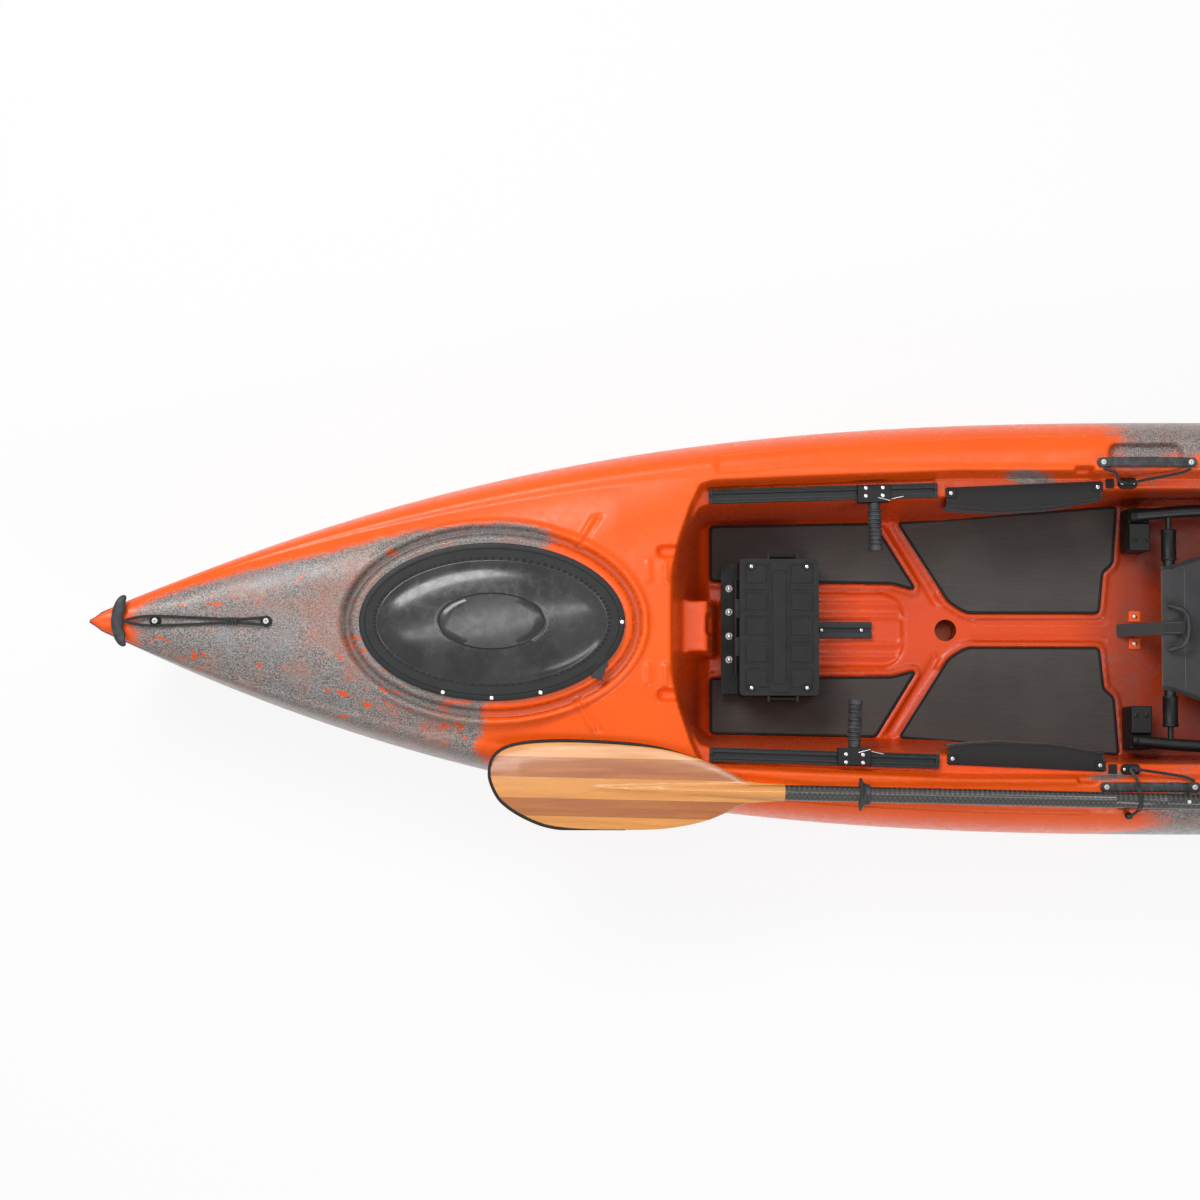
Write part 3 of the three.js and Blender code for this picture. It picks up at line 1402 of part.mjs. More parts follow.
// Bungee paddle keepers: a cord from the handle's bolts down to a hook on the cockpit ledge.
function addKeepers(shaftZ) {
  const radius = keeper.cord / 2;
  const hookZ = well.ledge + gap;
  const overHook = hookZ + keeper.hookThick + 2 * keeper.clear + radius;
  const middle = placeOf(handle);
  const reach = (handle.length - handle.foot) / 2;
  const sheer = hull.sheer + radius;
  const beside = out.handle - handle.width / 2 - radius - gap;
  const kneeReach = reach * keeperShares.knee;
  const hookReach = keeper.hookLength * keeperShares.hook;
  const leg = (end, side) => [
    [middle + end * reach, side * beside, sheer + 2 * radius],
    [middle + end * kneeReach, side * (beside - 3 * radius), sheer + radius],
    [hookX + end * hookReach, side * (out.hook + radius), (sheer + overHook) / 2 - radius],
  ];
  const bottom = (side) => [hookX, side * out.hook, overHook];
  const starboard = [...leg(-1, 1), bottom(1), ...leg(1, 1).reverse()];
  const starboardCord = tube(curveThrough(starboard), radius, cordSides, starboardCordSteps);
  add(kayak, 'keeper_bungee_starboard', solid(starboardCord), 'webbing');

  const endLow = landingZ(cleatX, out.cleat) + gap;
  const endTop = endLow + keeper.endHeight;
  const aboveHandle = handleLevel() + handle.rise + handle.thick + radius + keeper.clear;
  const over = arcPoints([hookX, -out.paddle, shaftZ], paddle.shaft + radius + keeper.clear,
    overShaftAngles.from, overShaftAngles.to, wrapSteps, ([x, y, z], u, v) => [x, y + u, z + v]);
  const port = [
    ...leg(1, -1), bottom(-1),
    [hookX - radius, radius - beside, aboveHandle - radius],
    [hookX - radius, -out.handle, aboveHandle + radius],
    ...over,
    [cleatX, -out.cleat, endTop + 2 * radius],
    [cleatX, -out.cleat, endTop - gap],
  ];
  const portCord = tube(curveThrough(port), radius, cordSides, portCordSteps);
  const endCentre = [cleatX, -out.cleat, (endLow + endTop) / 2];
  const end = cylinder('z', keeper.endRadius, keeper.endHeight, endCentre, smallSides);
  add(kayak, 'keeper_bungee_port', joined(portCord, end), 'webbing');

  for (const [name, side] of bothSides) {
    const long = keeper.hookLength / 2;
    const wide = keeper.hookWidth / 2;
    const plate = prism(rounded(rectangle(long, wide), wide), 0, keeper.hookThick);
    const mesh = add(kayak, `keeper_hook_${name}`, solid(plate), 'blackPlastic');
    mesh.position.set(hookX, side * out.hook, hookZ);
  }
}

// Top of the cleat moulded on the port gunwale for the end of the keeper cord.
function landingZ(x, y) {
  return gunwaleZ(x, y - landing.radius) + landing.proud;
}

function cleat() {
  const centre = [cleatX, -out.cleat, landingZ(cleatX, out.cleat) - landing.root];
  return solid(cylinder('z', landing.radius, landing.root * 2, centre, landing.sides));
}

// Paddle, about the middle of its shaft; x runs along it.
function addPaddle(shaftZ) {
  const group = groupAt(placeOf(paddle), -out.paddle, shaftZ, paddle.yawAngle);
  const { shaft } = paddle;
  const bore = shaft - paddle.shaftWall;
  const shaftEnd = paddle.length / 2 - paddle.bladeLength;
  const corners = bladeShares.map(([u, v]) => (
    new THREE.Vector2(u * paddle.bladeLength, v * paddle.bladeWidth)
  ));
  const outline = new THREE.SplineCurve(corners).getPoints(bladeSteps);
  const plate = new THREE.ExtrudeGeometry(new THREE.Shape(outline), {
    depth: paddle.bladeThick, bevelThickness: paddle.bevel, bevelSize: paddle.bevel,
    bevelOffset: -paddle.bevel, bevelSegments: 1,
  }).translate(shaftEnd, 0, -paddle.bladeThick / 2);
  const spineLength = spineShare * paddle.bladeLength;
  const spineCentre = [shaftEnd + spineLength / 2, 0, 0];
  const spine = cylinder('x', shaft, spineLength, spineCentre, paddle.sides, paddle.spineEnd);
  const tangCentre = [shaftEnd - paddle.tang / 2, 0, 0];
  const tang = cylinder('x', bore - gap, paddle.tang + gap, tangCentre, paddle.sides);
  const rearBlade = joined(plate, spine, tang);
  add(group, 'paddle_blade_rear', rearBlade, 'wood');
  add(group, 'paddle_blade_front', solid(geometryOf(rearBlade).scale(-1, 1, 1)), 'wood');

  const tubeLength = shaftEnd - 2 * gap;
  const ring = [[bore, 0], [shaft, 0], [shaft, tubeLength], [bore, tubeLength], [bore, 0]];
  const half = turned(ring, paddle.sides).rotateY(Math.PI / 2).translate(gap, 0, 0);
  const holeLength = shaft + overrun;
  const onButton = (z) => [paddle.buttonX, 0, z];
  const buttonHole = cylinder('z', paddle.button + slack, holeLength, onButton(holeLength / 2), smallSides);
  add(group, 'paddle_shaft_rear', solid(half).subtract(solid(buttonHole)), 'carbon');

  const buttonLow = shaft + paddle.buttonProud - paddle.buttonLength;
  const socketLow = buttonLow - paddle.buttonTravel - slack;
  const socket = cylinder('z', paddle.button + slack, overrun, onButton(socketLow + overrun / 2), smallSides);
  const ferrule = cylinder('x', bore - gap, paddle.ferrule, [0, 0, 0], paddle.sides);
  const bondRadius = (bore + shaft) / 2;
  const bondLength = paddle.ferrule / 2 - gap;
  const bondCentre = [-gap - bondLength / 2, 0, 0];
  const bond = cylinder('x', bondRadius, bondLength, bondCentre, paddle.sides);
  const frontShaft = joined(half.clone().scale(-1, 1, 1), bond, ferrule).subtract(solid(socket));
  add(group, 'paddle_shaft_front', frontShaft, 'carbon');
  const buttonCentre = onButton(buttonLow + paddle.buttonLength / 2);
  const button = cylinder('z', paddle.button, paddle.buttonLength, buttonCentre, smallSides);
  add(group, 'paddle_button', solid(button), 'whitePlastic');

  const cup = [
    [shaft + gap, 0], [paddle.ring, 0], [paddle.ring, paddle.ringEdge],
    [shaft + paddle.ringHub, paddle.ringWidth / 2], [shaft + paddle.ringHub, paddle.ringWidth],
    [shaft + gap, paddle.ringWidth], [shaft + gap, 0],
  ];
  const ringX = paddle.length / 2 - paddle.ringFromTip;
  const rearRing = turned(cup, paddle.sides).rotateY(-Math.PI / 2).translate(ringX, 0, 0);
  add(group, 'paddle_drip_ring_rear', solid(rearRing), 'rubber');
  add(group, 'paddle_drip_ring_front', solid(rearRing.clone().scale(-1, 1, 1)), 'rubber');
}

// Height of the seat's rear tube, which rests on the bench behind the cockpit floor.
function seatRearZ() {
  const bench = wellShares[benchRow][1] * (hull.sheer - well.floor);
  return well.floor + bench + seat.tube + seat.sleeve + 4 * gap;
}

function addSeat() {
  const group = groupAt(placeOf(seat), 0, 0);
  const r = seat.tube;
  const rearZ = seatRearZ();
  const fall = (rearZ - seat.height) / (seat.rear - seat.kink);
  const pivotZ = seat.height + fall * (seat.pivotX - seat.kink);
  const crossbar = (radius, half, sideCount) => (
    cylinder('y', radius, half * 2, [seat.crossX, 0, seat.height], sideCount)
  );
  const onPivot = (radius, length, y, sideCount) => (
    cylinder('y', radius, length, [seat.pivotX, y, pivotZ], sideCount)
  );

  const side = (s) => [
    [seat.front, s * out.seatFront, seat.height],
    [seat.kink, s * out.seatRear, seat.height],
    [seat.rear, s * out.seatRear, rearZ],
  ];
  const hoop = tube(bentPath([...side(1), ...side(-1).reverse()], seat.corner), r, smallSides);
  const capY = out.seatCross - seat.capLength / 2;
  const caps = [-1, 1].map((s) => (
    cylinder('y', seat.capRadius, seat.capLength, [seat.crossX, s * capY, seat.height], roundSides)
  ));
  const eyeOuter = out.seatRear - r - seat.eyeGap;
  const eyeInner = eyeOuter - seat.eyeWidth;
  const pinInner = eyeInner - slack;
  const pins = [-1, 1].map((s) => (
    onPivot(seat.pivotRadius, out.seatRear - pinInner, (s * (out.seatRear + pinInner)) / 2, smallSides)
  ));
  const cross = crossbar(r, out.seatCross, roundSides);
  const lugs = crossbar(seat.lug, out.seatFront, smallSides);
  add(group, 'seat_frame', joined(hoop, cross, lugs, ...caps, ...pins), 'aluminium');

  addSling(group, rearZ);

  const lean = seat.backAngle * degree;
  const at = (h, y) => [seat.pivotX + h * Math.sin(lean), y, pivotZ + h * Math.cos(lean)];
  const legY = (eyeOuter + eyeInner) / 2;
  const start = seat.eyeRadius * seatShares.legStart;
  const legs = [at(start, legY), at(seat.backHeight, legY), at(seat.backHeight, -legY), at(start, -legY)];
  const bow = tube(bentPath(legs, seat.backCorner), seat.backTube, smallSides);
  const eyes = [-1, 1].map((s) => onPivot(seat.eyeRadius, seat.eyeWidth, s * legY, roundSides));
  const room = [-1, 1].flatMap((s) => [
    onPivot(seat.pivotRadius + slack, seat.eyeWidth * 2, s * legY, roundSides),
    onPivot(seat.eyeRadius + slack, seat.eyeGap, s * (eyeOuter + seat.eyeGap / 2), roundSides),
  ]);
  add(group, 'seat_back_frame', joined(bow, ...eyes).subtract(joined(...room)), 'aluminium');

  const panelHalf = legY - seat.backTube - gap;
  const panelTop = seat.backHeight - seat.backTube - gap - seat.backFrom;
  const corners = [[-panelHalf, 0], [panelHalf, 0], [panelHalf, panelTop], [-panelHalf, panelTop]];
  const low = at(seat.backFrom, 0);
  const upright = prism(rounded(corners, seat.backCorner), -seat.backThick / 2, seat.backThick / 2)
    .rotateX(Math.PI / 2)
    .rotateZ(Math.PI / 2)
    .rotateY(lean)
    .translate(low[0], 0, low[2]);
  add(group, 'seat_back_panel', solid(upright), 'fabric');

  addSaddles(group);
  addStrap(group);
}

// The sling: a sagging sheet between a sleeve round the cross tube and one round the rear tube.
function addSling(group, rearZ) {
  const inner = seat.tube + 3 * gap;
  const sleeve = (x, z, half) => solid(cylinder('y', inner + seat.sleeve, half * 2, [x, 0, z], roundSides))
    .subtract(solid(cylinder('y', inner, half * 2 + overrun, [x, 0, z], roundSides)));
  const frontEdge = seat.crossX + seat.tube + gap;
  const rearEdge = seat.rear - seat.tube - gap;
  const halves = [[0, out.slingFront], [1 / 2, out.slingMiddle], [1, out.slingRear]];
  const thick = seat.slingThick / 2;
  const sheet = Array.from({ length: slingSteps + 1 }, (_, i) => {
    const t = i / slingSteps;
    const x = frontEdge + (rearEdge - frontEdge) * t;
    const half = readShares(halves, t);
    const z = seat.height + (rearZ - seat.height) * t - seat.slingSag * Math.sin(Math.PI * t);
    return [[x, -half, z - thick], [x, half, z - thick], [x, half, z + thick], [x, -half, z + thick]];
  });
  const sling = solid(loft(sheet))
    .add(sleeve(seat.crossX, seat.height, out.slingFront))
    .add(sleeve(seat.rear, rearZ, out.slingRear - seat.capLength / 2));
  add(group, 'seat_sling', sling, 'fabric');
}

function addSaddles(group) {
  const channel = seat.tube + slack + saddle.wall;
  const bottom = well.floor + gap;
  for (const [name, s] of bothSides) {
    const body = solid(boxBetween(
      [saddle.x - saddle.length / 2, s * out.saddleInner, bottom],
      [saddle.x + saddle.length / 2, s * out.saddleOuter, seat.height],
    ));
    const notch = boxBetween(
      [saddle.x - overrun, s * (out.seatFront - channel), seat.height - seat.tube - gap],
      [saddle.x + overrun, s * (out.seatFront + channel + overrun), seat.height + overrun],
    );
    add(group, `seat_saddle_${name}`, body.subtract(solid(notch)), 'blackPlastic');
  }
}

// Hold-down strap from the cockpit floor over the front tube, with its pull loop.
function addStrap(group) {
  const radius = seat.tube + seat.sleeve + 5 * gap;
  const onTube = (reach) => strapAngles.map((angle) => [
    seat.crossX + reach * Math.cos(angle * degree),
    seat.height + reach * Math.sin(angle * degree),
  ]);
  const floorZ = well.floor + gap;
  const outline = [
    [strap.from, floorZ], [strap.from + strap.thick * 2, floorZ],
    ...onTube(radius), ...onTube(radius + strap.thick).reverse(),
  ];
  const band = alongY(outline, -strap.width / 2, strap.width / 2);
  const cordRadius = loop.cord / 2;
  const loopZ = seat.height + radius + strap.thick + cordRadius - gap;
  const wideX = loop.x + loop.reach * seatShares.loopFull;
  const wideY = loop.half * seatShares.loopWide;
  const ring = curveThrough([
    [loop.x, loop.half, loopZ], [wideX, wideY, loopZ], [loop.x + loop.reach, 0, loopZ],
    [wideX, -wideY, loopZ], [loop.x, -loop.half, loopZ],
  ]);
  const tongue = boxBetween(
    [seat.crossX, -strap.width / 2, seat.height + radius],
    [loop.x + loop.reach, strap.width / 2, seat.height + radius + strap.thick],
  );
  const pull = tube(ring, cordRadius, smallSides, loopSteps);
  add(group, 'seat_strap', joined(band, tongue, pull), 'webbing');
}

function addRodHolders() {
  const { flange, flangeThick, bore, wall, sides } = rodHolder;
  for (const [name, s] of bothSides) {
    const place = [rodX, s * out.rodHolder];
    const group = groupAt(...place, landingTop(place) + gap);
    const plate = solid(cylinder('z', flange, flangeThick, [0, 0, flangeThick / 2], sides));
    const above = solid(boxBetween([-hull.beam, -hull.beam, flangeThick], [hull.beam, hull.beam, roof]));
    const tubeBody = solid(rodTube(bore + wall, overrun)).subtract(above);
    const hole = solid(rodTube(bore, overrun).translate(0, 0, wall));
    add(group, `rod_holder_${name}`, plate.add(tubeBody).subtract(hole), 'blackPlastic');
  }
}

function addLacing() {
  const radius = lacing.cord / 2;
  const points = lacingPlaces().flatMap(({ x, y }) => {
    const z = deckZ(x, y) + radius + lacing.lift;
    return [[x - lacing.run, y, z], [x + lacing.run, y, z]];
  });
  add(kayak, 'tank_lacing', solid(tube(bentPath(points, lacing.run, 1), radius, cordSides)), 'webbing');
}

// Height of the paddle's axis where its forward drip ring stands on the gunwale.
function paddleHeight() {
  const along = paddle.ringFromTip - paddle.length / 2;
  const axisY = out.paddle - along * Math.sin(paddle.yawAngle * degree);
  const heights = Array.from({ length: paddle.sides * 2 + 1 }, (_, i) => {
    const across = (i / paddle.sides - 1) * paddle.ring;
    const arch = Math.sqrt(paddle.ring ** 2 - across ** 2);
    return gunwaleZ(placeOf(paddle) + along, axisY + across) + arch;
  });
  return Math.max(...heights) + 2 * gap;
}

const shaftHeight = paddleHeight();

addHull();
addHatch();
addToggle('bow', -1);
addToggle('stern', 1);
addFloor();
addBrace('starboard', 1, brace.starboardAt);
addBrace('port', -1, brace.portAt);
addBox();
addPouches();
addSideHandles();
addKeepers(shaftHeight);
addPaddle(shaftHeight);
addSeat();
addRodHolders();
addLacing();

export default kayak;
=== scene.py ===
"""Looks of a sit-on-top fishing kayak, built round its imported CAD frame.

Metres. X runs aft from amidships, Y to starboard, Z up from the flat of the keel.
"""

import json
import math
from types import SimpleNamespace as Sizes

import bmesh
import bpy
import numpy as np
from mathutils import Matrix, Vector


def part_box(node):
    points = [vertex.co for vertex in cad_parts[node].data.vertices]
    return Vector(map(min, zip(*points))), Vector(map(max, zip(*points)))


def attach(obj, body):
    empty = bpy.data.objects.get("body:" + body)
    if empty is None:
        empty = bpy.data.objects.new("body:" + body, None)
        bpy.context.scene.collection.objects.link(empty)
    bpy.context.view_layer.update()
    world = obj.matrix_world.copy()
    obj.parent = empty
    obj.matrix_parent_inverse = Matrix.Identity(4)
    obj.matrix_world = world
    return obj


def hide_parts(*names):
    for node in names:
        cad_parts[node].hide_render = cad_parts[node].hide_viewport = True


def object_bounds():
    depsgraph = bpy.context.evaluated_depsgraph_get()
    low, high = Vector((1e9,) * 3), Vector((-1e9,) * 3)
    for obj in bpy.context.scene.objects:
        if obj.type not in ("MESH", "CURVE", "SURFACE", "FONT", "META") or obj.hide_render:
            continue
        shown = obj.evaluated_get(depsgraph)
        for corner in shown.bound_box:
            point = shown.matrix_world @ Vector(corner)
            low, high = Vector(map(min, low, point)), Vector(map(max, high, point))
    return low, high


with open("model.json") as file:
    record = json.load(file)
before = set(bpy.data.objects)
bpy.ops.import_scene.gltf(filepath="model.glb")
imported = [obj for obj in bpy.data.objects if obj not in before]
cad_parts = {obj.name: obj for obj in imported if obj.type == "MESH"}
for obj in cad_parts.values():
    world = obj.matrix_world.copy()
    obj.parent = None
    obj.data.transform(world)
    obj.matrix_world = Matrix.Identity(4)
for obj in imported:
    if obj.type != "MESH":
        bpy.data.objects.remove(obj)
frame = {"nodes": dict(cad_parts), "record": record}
nodes = frame["nodes"]
cad_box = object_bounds()


# The photograph's camera looks down on the foredeck. Lens and sensor in millimetres, turns in degrees.
CAMERA = Sizes(place=(-1.1, -0.299, 6.0), turns=(3.51, -0.03, 0.1), lens=83.2, sensor=36.0)


def camera():
    data = bpy.data.cameras.new("camera")
    data.sensor_width = CAMERA.sensor
    data.lens = CAMERA.lens
    made = bpy.data.objects.new("camera", data)
    made.location = CAMERA.place
    made.rotation_euler = [math.radians(turn) for turn in CAMERA.turns]
    bpy.context.scene.collection.objects.link(made)
    bpy.context.scene.camera = made


camera()

# Sizes that the CAD model has too.
HULL = Sizes(
    length=4.267, beam=0.864, sheer=0.345, widest_at=0.18, stem_half=0.008, stem_round=0.025,
    keel_width=0.22, keel_run=2.2, rocker=0.07, stem_rise=0.235, sheer_run=1.8,
    bow_rise=0.055, stern_rise=0.04, crown=0.038, seam_drop=0.015,
    edge=0.8, bilge=0.42, squareness=0.77, bow_fullness=2.75, stern_fullness=3.0,
)
HALF_LENGTH = HULL.length / 2
HALF_BEAM = HULL.beam / 2
CROWN_SHARES = [
    (-1, 0), (-0.9, 0.7), (-0.74, 1), (-0.5, 1), (-0.42, 0.5), (-0.36, 0.1),
    (0.27, 0.1), (0.36, 0.5), (0.88, 0.5), (1, 0),
]
# Above a well's ledge its walls run on to this height, clear of the deck.
ROOF = 0.478
# Rows of the wells: place along, rise of the floor, and half widths of floor, wall, ledge and rim.
WELL = Sizes(front=-0.955, length=1.56, floor=0.09, ledge=0.28, step=0.004)
WELL_SHARES = [
    (0, 1.15, 0.16, 0.18, 0.19, 0.2), (0.013, 0.75, 0.34, 0.36, 0.38, 0.4),
    (0.029, 0.4, 0.43, 0.5, 0.55, 0.58), (0.042, 0.12, 0.49, 0.57, 0.65, 0.68),
    (0.056, 0, 0.52, 0.585, 0.665, 0.7), (0.163, 0, 0.528, 0.598, 0.683, 0.722),
    (0.378, 0, 0.546, 0.618, 0.715, 0.745), (0.612, 0, 0.625, 0.655, 0.715, 0.745),
    (0.82, 0, 0.625, 0.655, 0.715, 0.745), (0.86, 0.3, 0.61, 0.65, 0.7, 0.74),
    (0.946, 0.3, 0.57, 0.6, 0.66, 0.7), (0.981, 0.7, 0.5, 0.53, 0.56, 0.6),
    (1, 1.1, 0.44, 0.46, 0.47, 0.5),
]
TANK = Sizes(front=0.7, length=0.86, floor=0.225, ledge=0.322, step=0.004)
TANK_SHARES = [
    (0, 1.1, 0.5, 0.52, 0.54, 0.56), (0.026, 0, 0.62, 0.64, 0.665, 0.69),
    (0.35, 0, 0.6, 0.62, 0.645, 0.67), (0.7, 0, 0.5, 0.52, 0.545, 0.57),
    (0.965, 0, 0.38, 0.4, 0.425, 0.45), (1, 1.1, 0.3, 0.32, 0.34, 0.36),
]
SCUPPERS = [(-0.3606, 0.0), (0.256, 0.190), (0.256, -0.190), (0.9601, 0.1555), (0.9601, -0.1555)]
SCUPPER_RADIUS = 0.023
HATCH = Sizes(
    x=-1.316, a=0.269, b=0.16, collar=0.016, groove=0.02, groove_depth=0.012, lip=0.013, lip_drop=0.003,
    proud=0.002,
)
SIDES = (("starboard", 1), ("port", -1))
ENDS = (("bow", -1), ("stern", 1))
UP = (0, 0, 1)


# Small maths helpers.
def smooth(edge0, edge1, value):
    t = np.clip((value - edge0) / (edge1 - edge0), 0.0, 1.0)
    return t * t * (3 - 2 * t)


def table(rows, column, along):
    return np.interp(along, [r[0] for r in rows], [r[column] for r in rows])


def srgb(red, green, blue):
    def linear(c):
        c /= 255
        return c / 12.92 if c <= 0.04045 else ((c + 0.055) / 1.055) ** 2.4

    return (linear(red), linear(green), linear(blue), 1.0)


# Form of the hull: each function takes arrays of x, or of x and y.
def half_beam(x):
    bow = x < HULL.widest_at
    tip = np.where(bow, -HALF_LENGTH, HALF_LENGTH)
    share = np.clip((x - tip) / (HULL.widest_at - tip), 0.0, 1.0)
    full = 1 - (1 - share) ** np.where(bow, HULL.bow_fullness, HULL.stern_fullness)
    distance = np.clip((HALF_LENGTH - np.abs(x)) / HULL.stem_round, 0.0, 1.0)
    ease = np.maximum(0.3, np.sqrt(distance))
    return ease * (HULL.stem_half + (HALF_BEAM - HULL.stem_half) * full)


def past_run(x, run):
    return np.maximum(0.0, (np.abs(x) - run / 2) / (HALF_LENGTH - run / 2))


def keel_z(x):
    past = past_run(x, HULL.keel_run)
    return HULL.rocker * past**2 + HULL.stem_rise * past**9


def sheer_z(x):
    rise = np.where(x < 0, HULL.bow_rise, HULL.stern_rise)
    return HULL.sheer + rise * past_run(x, HULL.sheer_run) ** 2


def crown_z(x):
    return HULL.crown * table(CROWN_SHARES, 1, x / HALF_LENGTH)


def bilge_z(x):
    """Height at which the hull is widest."""
    return keel_z(x) + (sheer_z(x) - keel_z(x)) * HULL.bilge


def outer_z(x, y):
    """Height of the deck and gunwale before anything is sunk into them."""
    half = half_beam(x)
    edge = HULL.edge * half
    out = np.clip(np.abs(y) / edge, 0.0, 1.0)
    deck = sheer_z(x) + crown_z(x) * (1 - out**3)
    past = np.clip((np.abs(y) - edge) / (half - edge), 0.0, 1.0)
    cosine = past ** (1 / HULL.squareness)
    sine = np.sqrt(np.maximum(0.0, 1 - cosine**2))
    shoulder = bilge_z(x) + (sheer_z(x) - bilge_z(x)) * sine ** HULL.squareness
    return np.where(np.abs(y) <= edge, deck, shoulder)


def pocket_z(place, rows, x, y):
    """Height of a well's floor, walls and ledges; high above the deck outside its rim."""
    along = (x - place.front) / place.length
    floor_z = place.floor + table(rows, 1, along) * (HULL.sheer - place.floor)
    ledge_z = np.maximum(place.ledge, floor_z + place.step)
    widths = [table(rows, c, along) * HALF_BEAM for c in (2, 3, 4, 5)]
    out = np.abs(y)
    z = floor_z + (ledge_z - floor_z) * np.clip((out - widths[0]) / (widths[1] - widths[0]), 0, 1)
    rim = ledge_z + (ROOF - ledge_z) * (out - widths[2]) / (widths[3] - widths[2])
    z = np.where(out > widths[2], rim, z)
    return np.where((along < 0) | (along > 1), 1.0, z)


def stripe(x, y, centre, lean, length, width):
    """1 inside a straight bar lying on the deck, given its middle, lean, length and width."""
    along = (x - centre[0]) * math.cos(lean) + (y - centre[1]) * math.sin(lean)
    across = -(x - centre[0]) * math.sin(lean) + (y - centre[1]) * math.cos(lean)
    return (np.abs(along) < length / 2) & (np.abs(across) < width / 2)


def rounded_box(x, y, centre, half_x, half_y, corner):
    """Signed distance to a box with round corners, negative inside."""
    dx = np.abs(x - centre[0]) - half_x + corner
    dy = np.abs(y - centre[1]) - half_y + corner
    return np.hypot(np.maximum(dx, 0), np.maximum(dy, 0)) + np.minimum(np.maximum(dx, dy), 0) - corner


def hatch_ring(x, y, grow):
    a = HATCH.a + grow
    b = HATCH.b + grow
    return np.hypot((x - HATCH.x) / a, y / b) - 1


HANDLE_X = 0.022
# Creases and ridges of the foredeck, mirrored: middle, lean, length, width and rise.
FOREDECK_LINES = [
    ((-1.126, 0.185), 1.02, 0.075, 0.014, 0.006), ((-1.118, 0.188), 1.02, 0.075, 0.006, -0.010),
    ((-1.0, 0.105), math.pi / 2, 0.045, 0.007, 0.006), ((-0.965, 0.105), math.pi / 2, 0.045, 0.007, 0.006),
]
# Landings sunk into the deck, mirrored: middle, half length, half width, corner and height.
LANDINGS = [((-0.945, 0.146), 0.035, 0.011, 0.01, 0.352), ((-0.103, 0.303), 0.018, 0.02, 0.004, 0.305)]
# The side deck steps down outside a line that sweeps outward as it runs aft, with a shelf inside it.
SWEEP = Sizes(front=-0.86, aft=-0.1, inner=0.308, spread=0.075, start=-0.88, run=0.55, depth=0.004)
SHELF = Sizes(aft=0.02, inner=0.326, depth=0.0025)
# Block against the well's front wall, with a recess in its face.
BLOCK = Sizes(aft=-0.85, slope=0.024, half=0.057, top=0.25)
RECESS = Sizes(centre=(-0.862, 0.005), half_x=0.012, half_y=0.02, corner=0.003, floor=0.17)
# Finger room under the side handles.
SCOOP = Sizes(y=0.35, half_x=0.0725, half_y=0.021, corner=0.014, depth=0.024, slope=0.3, rim=0.01)


def deck_raw(x, y):
    """Height of the deck with its wells, grooves, creases and landings, all edges still sharp."""
    z = outer_z(x, y)
    out = np.abs(y)
    hatch_top = float(sheer_z(np.array(HATCH.x))) + HULL.crown + HATCH.proud
    groove = HATCH.collar + HATCH.groove
    boss = hatch_ring(x, y, groove + HATCH.lip)
    z = np.where(boss < 0, np.maximum(z, hatch_top - HATCH.lip_drop), z)
    z = np.where(hatch_ring(x, y, groove) < 0, hatch_top - HATCH.groove_depth, z)
    z = np.where(hatch_ring(x, y, HATCH.collar) < 0, hatch_top, z)
    for side in (1, -1):
        for (line_x, line_y), lean, length, width, rise in FOREDECK_LINES:
            z = z + rise * stripe(x, y, (line_x, side * line_y), side * lean, length, width)
    sweep = SWEEP.inner + SWEEP.spread * np.clip((x - SWEEP.start) / SWEEP.run, 0, 1) ** 1.5
    z = z - SWEEP.depth * ((x > SWEEP.front) & (x < SWEEP.aft) & (out > sweep))
    on_shelf = (x > SWEEP.front) & (x < SHELF.aft) & (out > SHELF.inner) & (out < sweep)
    z = z - SHELF.depth * on_shelf
    for *box, height in LANDINGS:
        z = np.where(rounded_box(x, out, *box) < 0, np.minimum(z, height), z)
    z = np.minimum(z, floor_relief(x, y, front_block(x, y, pocket_z(WELL, WELL_SHARES, x, y))))
    z = np.minimum(z, pocket_z(TANK, TANK_SHARES, x, y))
    scoop = rounded_box(x, out, (HANDLE_X, SCOOP.y), SCOOP.half_x, SCOOP.half_y, SCOOP.corner)
    bottom = HULL.sheer - SCOOP.depth + SCOOP.slope * np.maximum(0, scoop + SCOOP.rim)
    return np.where(scoop < 0, np.minimum(z, bottom), z)


def front_block(x, y, well):
    """The well with the block that stands against its front wall."""
    up = np.clip((BLOCK.aft - x) / BLOCK.slope, 0, 1)
    block = WELL.floor + (BLOCK.top - WELL.floor) * up
    inside = (np.abs(y) < BLOCK.half) & (x < BLOCK.aft)
    z = np.where(inside, np.maximum(well, block), well)
    recess = rounded_box(x, y, RECESS.centre, RECESS.half_x, RECESS.half_y, RECESS.corner)
    return np.where(recess < 0, np.minimum(z, RECESS.floor), z)


# The CAD meshes come with their corners split: what lies within this distance is one corner.
CAD_WELD = 0.00002


def pad_outline(node):
    """The edge of a foam pad's top, as points in order."""
    bm = bmesh.new()
    bm.from_mesh(nodes[node].data)
    bmesh.ops.remove_doubles(bm, verts=bm.verts, dist=CAD_WELD)
    top = max(v.co.z for v in bm.verts)
    on_top = {face for face in bm.faces if all(v.co.z > top - 0.0005 for v in face.verts)}
    links = {}
    for edge in bm.edges:
        if len(on_top.intersection(edge.link_faces)) == 1:
            a, b = edge.verts
            links.setdefault(a, []).append(b)
            links.setdefault(b, []).append(a)
    first = min(links, key=lambda v: (v.co.x, v.co.y))
    path = [first, links[first][0]]
    while path[-1] != first:
        path.append(next(v for v in links[path[-1]] if v != path[-2]))
    outline = np.array([v.co[:] for v in path[:-1]])
    bm.free()
    return outline


